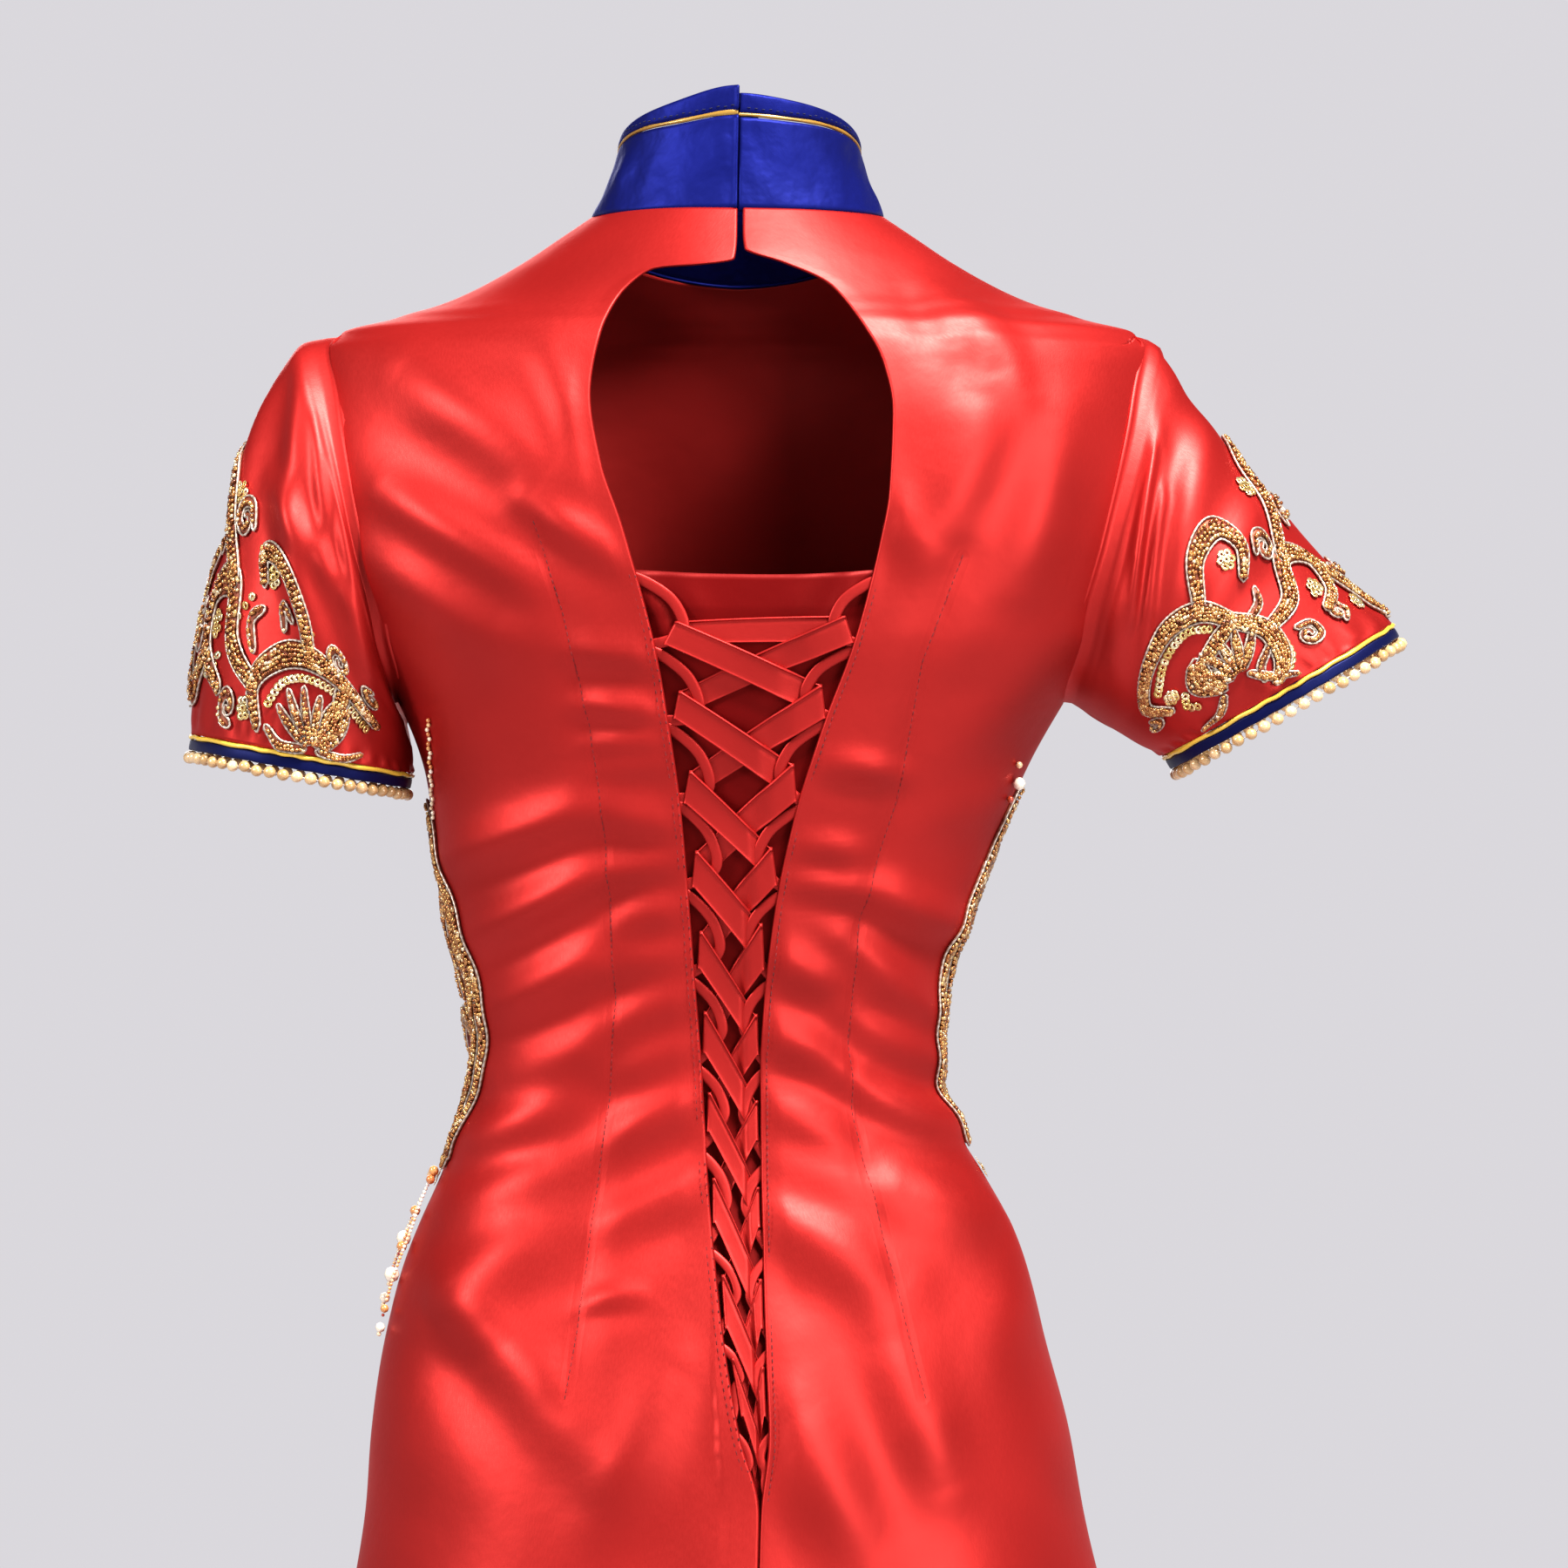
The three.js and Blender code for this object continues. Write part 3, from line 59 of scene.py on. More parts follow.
lens_data = bpy.data.cameras.new("camera")
lens_data.sensor_width = SENSOR
lens_data.lens = SENSOR * CAMERA_PLACE[1] / VIEW_WIDTH
camera = bpy.data.objects.new("camera", lens_data)
camera.location = CAMERA_PLACE
camera.rotation_euler = (90 * DEGREE, 0, 180 * DEGREE)
bpy.context.scene.collection.objects.link(camera)
bpy.context.scene.camera = camera
print("lens:", round(lens_data.lens), "mm")

# %% [markdown]
# Satin is seen by what it mirrors, so the light matters as much as the cloth. A strong soft box
# high over the right shoulder blade rakes across the folds, two weaker ones fill the shade from
# both sides, and one in front lights the hidden side. The sky is bright only in a band at eye
# level and dark above and below, which gives each fold a light flank and a dark one. Small lamps
# would leave hard white spots.

# %% Lights, sky and floor
SOFT_BOXES = {                 # place, the point it aims at, width and height in metres, watts
    "key_box": ((-0.9, 1.25, 2.3), (0, 0, -0.35), (0.9, 0.7), 360),
    "fill_box": ((1.9, 1.3, 0.7), (0, 0, -0.45), (0.5, 0.7), 60),
    "side_box": ((-1.5, 1.9, 0.2), (0, 0, -0.4), (0.9, 1.2), 34),
    "front_box": ((0.4, -2.8, 0.6), (0, 0, -0.6), (1.6, 1.4), 30),
}
SKY_BAND = {"From Min": 0.14, "From Max": 0.28, "To Min": 0.88, "To Max": 0.08}
SKY_COLOUR = (0.80, 0.78, 0.82, 1)
FLOOR_Z = -1.423
FLOOR_HALF = 6


def soft_box(name, place, aim, size, watts):
    """A rectangular area light that looks from its place to the point it aims at."""
    data = bpy.data.lights.new(name, "AREA")
    data.shape, data.size, data.size_y, data.energy = "RECTANGLE", size[0], size[1], watts
    lamp = bpy.data.objects.new(name, data)
    lamp.location = place
    way = np.array(aim) - np.array(place)
    turn = np.arctan2(way[0], -way[1])
    lamp.rotation_euler = (np.arctan2(np.hypot(way[0], way[1]), -way[2]), 0, turn + np.pi)
    bpy.context.scene.collection.objects.link(lamp)


for name, settings in SOFT_BOXES.items():
    soft_box(name, *settings)

sky = bpy.data.worlds.new("pale_studio")
bpy.context.scene.world = sky
sky.use_nodes = True
nodes, links = sky.node_tree.nodes, sky.node_tree.links
around = nodes.new("ShaderNodeTexCoord")
split = nodes.new("ShaderNodeSeparateXYZ")
height = nodes.new("ShaderNodeMath")
height.operation = "ABSOLUTE"
band = nodes.new("ShaderNodeMapRange")
band.interpolation_type = "SMOOTHSTEP"
for socket, value in SKY_BAND.items():
    band.inputs[socket].default_value = value
links.new(around.outputs["Generated"], split.inputs["Vector"])
links.new(split.outputs["Z"], height.inputs[0])
links.new(height.outputs["Value"], band.inputs["Value"])
links.new(band.outputs["Result"], nodes["Background"].inputs["Strength"])
nodes["Background"].inputs["Color"].default_value = SKY_COLOUR
bpy.context.scene.view_settings.view_transform = "Standard"

floor_mesh = bpy.data.meshes.new("floor")
corners = [(-1, -1), (1, -1), (1, 1), (-1, 1)]
floor_mesh.from_pydata([(FLOOR_HALF * x, FLOOR_HALF * y, FLOOR_Z) for x, y in corners], [],
                       [(0, 1, 2, 3)])
floor = bpy.data.objects.new("floor", floor_mesh)
bpy.context.scene.collection.objects.link(floor)

# %% [markdown]
# A material is a small graph of nodes. One function adds a node, sets it and links it, and one
# turns a colour that is written as on a screen into the linear values that light needs.

# %% Helpers for materials
def linear(code, alpha=1.0):
    """Linear RGBA of a screen colour such as "c8191e": ((c + 0.055) / 1.055) ** 2.4 a channel."""
    screen = np.array([int(code[i:i + 2], 16) for i in (0, 2, 4)]) / 255
    low, high = screen / 12.92, ((screen + 0.055) / 1.055) ** 2.4
    return (*np.where(screen <= 0.04045, low, high).tolist(), alpha)


def add(tree, kind, inputs=None, **settings):
    """A new node of that kind: settings are its own fields, inputs are values or sockets."""
    made = tree.nodes.new("ShaderNode" + kind)
    for key, value in settings.items():
        setattr(made, key, value)
    for key, value in (inputs or {}).items():
        if isinstance(value, bpy.types.NodeSocket):
            tree.links.new(value, made.inputs[key])
        else:
            made.inputs[key].default_value = value
    return made


def new_material(name):
    """An empty node material, its tree and its Principled surface."""
    material = bpy.data.materials.new(name)
    material.use_nodes = True
    tree = material.node_tree
    return material, tree, tree.nodes["Principled BSDF"]


def set_inputs(shader, **values):
    """Values for a shader's sockets, whose names are written with _ for each space."""
    for key, value in values.items():
        shader.inputs[key.replace("_", " ")].default_value = value


# %% [markdown]
# Duchesse satin is woven with long warp threads that float over many weft threads. The floats
# lie side by side like brushed hair, so the cloth is smooth, throws soft cloudy highlights and
# goes dark in its folds. A plain glossy paint would look like plastic, so the graph adds the
# fine streaks of the floats, drawn 0.8 mm wide so that they show, and slow changes of tone. Dyed
# floats colour what they mirror, as a metal does, so a share of the surface is metallic. Seams
# and darts are lines of pulled cloth. Each panel holds its distance to them in an attribute, and
# the graph draws the crease from it, as a sunken bump and as a darker line of painted shade.

# %% Satin
FLOAT_WIDE = 0.8               # millimetres across a streak of floats
FLOAT_LONG = 3.0               # and along it
TONE_PATCH = 60                # millimetres across a patch of lighter or deeper tone
CLOUD = 9                      # millimetres across a cloud of the highlight
SEAM_LINE = 0.6                # half width of a stitched line
SEAM_CREASE = 3.5              # distance over which the cloth sinks to it
SEAM_PAINTED_SHADE = "48040a"           # colour of the shade in a stitched line
SMOOTHER, ROUGHER = 0.05, 0.08 # how far the streaks change the roughness
SEAM_SINK, CLOUD_SWELL, STREAK_SWELL = 0.5, 0.8, 0.08      # heights of the bumps in millimetres


def satin(name, deep, lit, gleam, roughness=0.46, cloud=0.2, shine=1.0, ior=1.6, dyed=0.0):
    """Satin with a deep and a lit tone and the tint of its gleam. cloud is how uneven it lies,
    shine how strongly it mirrors, and dyed the share of the mirrored light that it colours."""
    material, tree, surface = new_material(name)
    flat = add(tree, "UVMap", uv_map="cloth").outputs["UV"]
    threads = add(tree, "Mapping", {
        "Vector": flat, "Scale": (1 / (FLOAT_WIDE * MM), 1 / (FLOAT_LONG * MM), 1),
    }).outputs["Vector"]
    streaks = add(tree, "TexNoise", {"Vector": threads, "Scale": 1.0, "Detail": 2.0})
    place = add(tree, "TexCoord").outputs["Object"]
    patches = add(tree, "TexNoise", {
        "Vector": place, "Scale": 1 / (TONE_PATCH * MM), "Detail": 1.0,
    })
    clouds = add(tree, "TexNoise", {
        "Vector": place, "Scale": 1 / (CLOUD * MM), "Detail": 2.0, "Roughness": 0.4,
    })
    tone = add(tree, "MixRGB", {
        "Fac": patches.outputs["Fac"], "Color1": linear(deep), "Color2": linear(lit),
    })
    distance = add(tree, "Attribute", attribute_name="seam_distance").outputs["Fac"]
    line = add(tree, "MapRange", {
        "Value": distance, "From Min": 0.0, "From Max": SEAM_LINE, "To Min": 0.75, "To Max": 0.0,
    }).outputs["Result"]
    # painted shade: the satin's colour is darkened along a dart's stitched line
    shaded = add(tree, "MixRGB", {
        "Fac": line, "Color1": tone.outputs["Color"], "Color2": linear(SEAM_PAINTED_SHADE),
    })
    gloss = add(tree, "MapRange", {
        "Value": streaks.outputs["Fac"],
        "To Min": roughness - SMOOTHER, "To Max": roughness + ROUGHER,
    }).outputs["Result"]
    crease = add(tree, "MapRange", {
        "Value": distance, "From Min": 0.0, "From Max": SEAM_CREASE, "To Min": -1.0, "To Max": 0.0,
    }).outputs["Result"]
    sunk = add(tree, "Bump", {"Height": crease, "Strength": 0.5, "Distance": SEAM_SINK * MM})
    clouded = add(tree, "Bump", {
        "Height": clouds.outputs["Fac"], "Strength": cloud, "Distance": CLOUD_SWELL * MM,
        "Normal": sunk.outputs["Normal"],
    })
    weave = add(tree, "Bump", {
        "Height": streaks.outputs["Fac"], "Strength": 0.35, "Distance": STREAK_SWELL * MM,
        "Normal": clouded.outputs["Normal"],
    })
    tree.links.new(shaded.outputs["Color"], surface.inputs["Base Color"])
    tree.links.new(gloss, surface.inputs["Roughness"])
    tree.links.new(weave.outputs["Normal"], surface.inputs["Normal"])
    set_inputs(surface, Specular_IOR_Level=shine, IOR=ior, Metallic=dyed)
    surface.inputs["Specular Tint"].default_value = linear(gleam)
    return material


satin_red = satin("satin_red", "84100f", "ac1e1c", "ff8a80", roughness=0.43, ior=1.6, dyed=0.6)
# painted shade: a darker, duller copy of the red satin, for the modesty panel under the lace
satin_red_painted_shade = satin("satin_red_painted_shade", "480304", "580405", "ff4a42", shine=0.4)
satin_blue = satin("satin_blue", "070a38", "0d1258", "4250d8", cloud=1.0, shine=0.5, dyed=0.4)
# painted shade: a darker copy of the blue satin, for the cuff band and the collar's underlap
satin_blue_painted_shade = satin("satin_blue_painted_shade", "030522", "060930", "4a54b0", shine=0.5)
satin_gold = satin("satin_gold", "c49a28", "e2bc48", "fff0b0", roughness=0.3, cloud=0.6, ior=1.6)
print("satins:", [m.name for m in (satin_red, satin_red_painted_shade, satin_blue, satin_blue_painted_shade, satin_gold)])

# %% [markdown]
# Beads, pearls and metal threads are hard and small. Glass beads with a metal lining glitter in
# gold, copper and brown, so each bead carries a random tint in an attribute and the material
# turns it into one of those colours. Glass pearls have a cream lacquer with a soft sheen under
# a clear coat. Sequins are thin stamped discs of gilt plastic.

# %% Beads, pearls, sequins and threads
def tinted(name, stops, metallic, roughness, coat=0.0):
    """A finish whose colour comes from each bead's own tint, through a ramp of colours."""
    material, tree, surface = new_material(name)
    tint = add(tree, "Attribute", attribute_name="tint").outputs["Fac"]
    ramp = add(tree, "ValToRGB", {"Fac": tint})
    while len(ramp.color_ramp.elements) < len(stops):
        ramp.color_ramp.elements.new(0.5)
    for element, (at, code) in zip(ramp.color_ramp.elements, stops):
        element.position, element.color = at, linear(code)
    tree.links.new(ramp.outputs["Color"], surface.inputs["Base Color"])
    set_inputs(surface, Metallic=metallic, Roughness=roughness, Coat_Weight=coat,
               Coat_Roughness=0.08)
    return material


seed_glass = tinted("seed_glass", [
    (0.0, "4a1c0c"), (0.2, "8a4a1e"), (0.5, "b0763c"), (0.8, "cda062"), (1.0, "f2deb8"),
], metallic=0.75, roughness=0.24, coat=0.3)
sequin_gilt = tinted("sequin_gilt", [(0.0, "c89a4a"), (0.6, "e6c680"), (1.0, "f6e6ba")],
                     metallic=0.85, roughness=0.2)
pearl_lacquer = tinted("pearl_lacquer", [(0.0, "a8804e"), (0.6, "c49c68"), (1.0, "dcbc90")],
                       metallic=0.15, roughness=0.28, coat=0.6)
tassel_glass = tinted("tassel_glass", [
    (0.0, "8c1410"), (0.25, "b8542a"), (0.5, "d89a58"), (0.75, "ecd8b8"), (1.0, "f6efe4"),
], metallic=0.2, roughness=0.2, coat=0.5)
silver_cord = tinted("silver_cord", [(0.0, "8c7866"), (1.0, "c4b8ac")], metallic=0.55,
                     roughness=0.35)
net_backing = tinted("net_backing", [(0.0, "5c2412"), (1.0, "94441e")], metallic=0.2,
                     roughness=0.6)
thread_red = tinted("thread_red", [(0.0, "3c0204"), (1.0, "6c060a")], metallic=0.0, roughness=0.9)
thread_blue = tinted("thread_blue", [(0.0, "04051c"), (1.0, "080a34")], metallic=0.0,
                     roughness=0.9)

floor_finish, floor_tree, floor_surface = new_material("studio_floor")
floor_grain = add(floor_tree, "TexNoise", {"Scale": 300.0})
floor_tone = add(floor_tree, "MixRGB", {
    "Fac": floor_grain.outputs["Fac"], "Color1": linear("8f8c92"), "Color2": linear("959298"),
})
floor_tree.links.new(floor_tone.outputs["Color"], floor_surface.inputs["Base Color"])
set_inputs(floor_surface, Roughness=0.7, Emission_Strength=0.32)
floor_surface.inputs["Emission Color"].default_value = linear("f0eef2")
floor.data.materials.append(floor_finish)
print("materials:", len(bpy.data.materials))

# %% [markdown]
# Every shape below is a grid of points that numpy works out at once. One function joins a grid's
# points with four-cornered faces, and one turns points and faces into a piece that rides on the
# dress. Open cloth gets its faces turned outwards by a test against a point inside the dress, and
# closed tubes by Blender's own recalculation.

# %% Helpers for meshes
def circle(sides, shift=0.0):
    """Angles of the corners of an even ring: (number + shift) / sides of a whole turn."""
    return (np.arange(sides) + shift) / sides * 2 * np.pi


def grid_faces(rows, columns, around=False, looped=False):
    """Faces of a grid. around joins its last column to its first, looped its last row."""
    r, c = np.meshgrid(np.arange(rows if looped else rows - 1),
                       np.arange(columns if around else columns - 1), indexing="ij")
    r2, c2 = (r + 1) % rows, (c + 1) % columns
    return np.stack([r * columns + c, r * columns + c2, r2 * columns + c2, r2 * columns + c],
                    -1).reshape(-1, 4)


def make_piece(name, points, faces, material, slot, uv=None, uv_faces=None, **values):
    """A piece from points in millimetres, that rides on the dress. values are attributes."""
    mesh = bpy.data.meshes.new(name)
    points = np.asarray(points, float).reshape(-1, 3)
    faces = faces if isinstance(faces, list) else faces.tolist()
    mesh.from_pydata((points * MM).tolist(), [], faces)
    mesh.polygons.foreach_set("use_smooth", np.ones(len(mesh.polygons), bool))
    if uv is not None:
        layer = mesh.uv_layers.new(name="cloth")
        flat = np.asarray(uv, float).reshape(-1, 2)[np.asarray(uv_faces).ravel()] * MM
        layer.data.foreach_set("uv", flat.astype(np.float32).ravel())
    for key, value in values.items():
        attribute = mesh.attributes.new(key, "FLOAT", "POINT")
        attribute.data.foreach_set("value", np.asarray(value, np.float32).ravel())
    mesh.materials.append(material)
    piece = bpy.data.objects.new(name, mesh)
    bpy.context.scene.collection.objects.link(piece)
    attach(piece, "root")
    return piece


def turn_out(piece):
    """Faces of closed shapes recalculated to point outwards."""
    shape = bmesh.new()
    shape.from_mesh(piece.data)
    bmesh.ops.recalc_face_normals(shape, faces=shape.faces)
    shape.to_mesh(piece.data)
    shape.free()


def turn_away(points, faces, core):
    """Faces of open cloth turned so that they look away from the core point of each one."""
    corner = np.asarray(points, float).reshape(-1, 3)[faces]
    normal = np.cross(corner[:, 2] - corner[:, 0], corner[:, 3] - corner[:, 1])
    outward = corner.mean(1) - np.asarray(core, float)
    return faces[:, ::-1] if (normal * outward).sum() < 0 else faces


def thicken(piece, thickness):
    """A wall inside the cloth's outer face."""
    wall = piece.modifiers.new("thickness", "SOLIDIFY")
    wall.thickness, wall.offset = thickness * MM, -1


def cloth_area(points):
    """Area of a grid in square metres, as the sum of its faces' two triangles."""
    a, b, c, d = points[:-1, :-1], points[:-1, 1:], points[1:, 1:], points[1:, :-1]
    halves = np.linalg.norm(np.cross(b - a, c - a), axis=-1)
    halves = halves + np.linalg.norm(np.cross(c - a, d - a), axis=-1)
    return float(halves.sum() / 2 * MM * MM)


def run_length(points, axis):
    """Distance run along a grid's rows or columns, from its first point."""
    step = np.linalg.norm(np.diff(points, axis=axis), axis=-1)
    start = np.zeros_like(np.take(step, [0], axis=axis))
    return np.concatenate([start, np.cumsum(step, axis=axis)], axis=axis)


def flat_map(points):
    """Cloth coordinates of a grid: how far each point lies across and along the cloth."""
    across = run_length(points, 1)
    middle = across[:, [points.shape[1] // 2]]
    along = run_length(points[:, [points.shape[1] // 2]], 0)
    return np.stack([across - middle, np.broadcast_to(along, across.shape)], -1)


print("mesh helpers ready")

# %% [markdown]
# The body of the dress is one closed form, F(angle, z). At each height it is an oval whose angle
# runs from the centre back, 0, over the left side seam, 90 degrees, to the centre front. The
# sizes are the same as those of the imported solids, so that the cloth lies on them. Tables of
# sections with a smooth curve through them are easier to fit than one formula for the whole.

# %% The form of the body
HEM_Z = -1420
SHOULDER_TIP_Z = -53
UNDERARM_Z = -223
ARMHOLE_BACK, ARMHOLE_FRONT = 54, 50
NECK_DROP_FRONT = 26
SEAM_GAP = 0.4
FLUTES = 9                     # round folds of the skirt
SHOULDER_REACH = 10            # how far the form is averaged up and down at the shoulder's tip
SHOULDER_FADE = 34             # and how far from the tip that ends


def table(columns, rows):
    """A table with named columns, each an array."""
    return dict(zip(columns.split(), np.array(rows, float).T))


FORM = table("z mid half back front round", [
    (0, 0, 67, 50, 52, 2), (-10, 0, 82, 57, 60, 1.9), (-20, 0, 97, 64, 68, 1.8),
    (-33, 0, 120, 72, 76, 1.7), (-41, 0, 138, 76, 80, 1.7), (-47, 0, 158, 79, 83, 1.72),
    (-53, 0, 188, 82, 86, 1.8), (-70, 0, 194, 87, 92, 2), (-100, 0, 194, 93, 100, 2.3),
    (-150, 1, 188, 97, 112, 2.5), (-190, 2, 174, 96, 121, 2.4), (-222, 3, 153, 91, 124, 2.3),
    (-252, 5.5, 138.6, 86, 122, 2.25), (-280, 9.5, 130, 80, 117, 2.2),
    (-308, 12.5, 122.5, 75, 111, 2.2), (-340, 15, 114.5, 70, 104, 2.2),
    (-376, 15.5, 107.5, 66, 98, 2.2), (-396, 15.5, 108, 65, 96, 2.2),
    (-420, 14, 115.5, 67, 97, 2.2), (-440, 11.5, 125, 71, 98, 2.2),
    (-460, 10.5, 135, 77, 99, 2.2), (-484, 10.5, 144, 85, 100, 2.2),
    (-508, 10.5, 150, 93, 101, 2.2), (-556, 8, 160, 106, 104, 2.2),
    (-596, 6, 165, 113, 108, 2.2), (-700, 3, 188, 134, 126, 2.1),
    (-900, 0, 232, 176, 164, 2), (-1150, 0, 288, 226, 212, 2), (HEM_Z, 0, 345, 280, 262, 2),
])
FLUTE_DEPTH = table("z depth", [
    (0, 0), (-560, 0), (-700, 4), (-900, 12), (-1150, 20), (HEM_Z, 27),
])


def curve_through(xs, ys):
    """A smooth curve through points that never overshoots them. Its slope at a point is the
    harmonic mean of the slopes on both sides, or level where they differ in sign."""
    order = np.argsort(xs)
    xs, ys = np.asarray(xs, float)[order], np.asarray(ys, float)[order]
    rise = np.diff(ys) / np.diff(xs)
    before, after = rise[:-1], rise[1:]
    level = before * after <= 0
    mean = np.where(level, 0, 2 * before * after / np.where(level, 1, before + after))
    slope = np.concatenate([rise[:1], mean, rise[-1:]])

    def curve(x):
        """Cubic between the two points on both sides of x."""
        x = np.clip(x, xs[0], xs[-1])
        i = np.clip(np.searchsorted(xs, x) - 1, 0, len(xs) - 2)
        span = xs[i + 1] - xs[i]
        s = (x - xs[i]) / span
        rising = s * s * (3 - 2 * s)
        bend = slope[i] * s * (1 - s) ** 2 - slope[i + 1] * s * s * (1 - s)
        return ys[i] * (1 - rising) + ys[i + 1] * rising + span * bend
    return curve


def rounded(curve):
    """The curve, averaged above and below as (upper + 4 * middle + lower) / 6 near the tip of
    the shoulder, so that no hard line runs round the dress there."""
    def soft(z):
        """The averaged curve at height z."""
        reach = SHOULDER_REACH * np.clip(1 - np.abs(z - SHOULDER_TIP_Z) / SHOULDER_FADE, 0, 1)
        return (curve(z - reach) + 4 * curve(z) + curve(z + reach)) / 6
    return soft


form = {key: rounded(curve_through(FORM["z"], FORM[key])) for key in FORM if key != "z"}
flute_depth = curve_through(FLUTE_DEPTH["z"], FLUTE_DEPTH["depth"])


def signed_power(value, power):
    """|value| ^ power with the sign of the value."""
    return np.sign(value) * np.abs(value) ** power


def lerp(a, b, share):
    """Mix of a and b: a at share 0 and b at share 1."""
    return a + (b - a) * share


def smoothstep(x, low, high):
    """Soft step from 0 at low to 1 at high: s^2 * (3 - 2 s)."""
    s = np.clip((x - low) / (high - low), 0, 1)
    return s * s * (3 - 2 * s)


def unit(vectors):
    """Each vector divided by its length."""
    return vectors / np.maximum(np.linalg.norm(vectors, axis=-1, keepdims=True), 1e-12)


def form_point(angle, z):
    """x = mid + half * sin(angle)^(2/round), y = depth * cos(angle)^(2/round), signs kept, and
    the skirt's flutes move the point out along its own spoke by depth * uneven cosine."""
    angle, z = np.broadcast_arrays(np.asarray(angle, float), np.asarray(z, float))
    power = 2 / form["round"](z)
    side, rear = np.sin(angle), np.cos(angle)
    depth = np.where(rear >= 0, form["back"](z), form["front"](z))
    flute = flute_depth(z) * (0.8 * np.cos(FLUTES * angle) + 0.2 * np.cos(5 * angle + 1))
    x = form["mid"](z) + form["half"](z) * signed_power(side, power) + flute * side
    return np.stack([x, depth * signed_power(rear, power) + flute * rear, z], -1)


def form_normal(angle, z):
    """Outward direction: the cross product of a step up and a step round the form."""
    angle, z = np.broadcast_arrays(np.asarray(angle, float), np.asarray(z, float))
    above = np.minimum(z + 3, 0)
    along = form_point(angle + 0.03, z) - form_point(angle - 0.03, z)
    up = form_point(angle, above) - form_point(angle, above - 6)
    return unit(np.cross(up, along))


def raised_point(angle, z, height):
    """A point of the form, moved out along its normal by height."""
    return form_point(angle, z) + form_normal(angle, z) * np.asarray(height, float)[..., None]


def angle_across(x, z):
    """Angle of the back's point at a given x: arcsin(((x - mid) / half)^(round/2))."""
    share = np.clip((x - form["mid"](z)) / form["half"](z), -1, 1)
    return np.arcsin(signed_power(share, form["round"](z) / 2))


def angle_at_depth(y, z):
    """Angle of the point at a given y: arccos((y / depth)^(round/2))."""
    depth = np.where(np.asarray(y) >= 0, form["back"](z), form["front"](z))
    return np.arccos(np.clip(signed_power(y / depth, form["round"](z) / 2), -1, 1))


def back_point(x, z, height):
    """A point of the back at a given x and z, moved out by height."""
    return raised_point(angle_across(x, z), z, height)


def side_edge_depth(z, depth):
    """Half the armhole's opening at height z, an egg that is fuller below, or half a seam."""
    middle, radius = (SHOULDER_TIP_Z + UNDERARM_Z) / 2, (SHOULDER_TIP_Z - UNDERARM_Z) / 2
    cosine = np.clip((z - middle) / radius, -1, 1)
    return np.maximum(depth * np.sqrt(1 - cosine * cosine) * (1 - 0.25 * cosine), SEAM_GAP / 2)


WAIST_Z = -376
print("half widths: waist", float(form["half"](WAIST_Z)), "hem", float(form["half"](HEM_Z)))

# %% [markdown]
# Satin that is laced tight lies in drag lines. They start at the lacing, where the loops pull,
# and run out to the side seams. Wider soft folds cross the hips. A cloth simulation would put
# its folds where it likes, so each fold here is placed one by one: a soft ridge along a line from
# x0, z0 to x1, z1, with a shallow trough under it. Short fine ones bend a little. Slow waves with
# seeded phases keep the cloth between them from looking machined.

# %% Folds of the cloth
FOLD_COLUMNS = "x0 z0 x1 z1 bend wide high"
LEFT_FOLDS = table(FOLD_COLUMNS, [
    (150, -74, 84, -122, 0, 15, 2.6), (158, -128, 92, -170, 0, 10, 2.4),
    (162, -160, 108, -192, 0, 15, 2.4), (94, -135, 52, -160, 0, 8, 2.0),
    (84, -70, 70, -122, 2, 8, 0.8), (74, -201, 34, -205, 1, 7, 1.3),
    (69, -225, 31, -229, 1, 6.5, 1.5), (66, -242, 28, -241, 1, 5.5, 1.2),
    (65, -253, 27, -251, 1, 5.5, 0.8), (128, -292, 62, -269, 0, 10, 2.8),
    (60, -276, 22, -279, 1, 8, 1.3), (116, -328, 60, -298, 0, 10, 3.1),
    (60, -301, 20, -294, 1, 7, 1.2), (111, -363, 56, -333, 0, 11, 2.8),
    (57, -322, 18, -315, 1, 8, 1.2), (58, -344, 17, -333, 1, 8, 1.0),
    (58, -368, 15, -352, 1, 9, 1.1), (106, -392, 58, -374, 0, 13, 2.0),
    (56, -392, 14, -374, 1, 8, 1.0), (123, -424, 78, -403, 0, 10, 3.0),
    (58, -421, 13, -396, 0, 10, 2.6), (130, -453, 84, -429, 0, 11, 2.4),
    (58, -457, 13, -436, 0, 9, 2.0), (70, -492, 44, -487, 1, 5, 1.0),
    (138, -502, 92, -456, 0, 16, 3.2), (126, -490, 106, -514, 0, 13, 2.2),
    (60, -560, 110, -500, 0, 16, 2.4), (26, -520, 60, -586, 0, 15, 2.6),
])
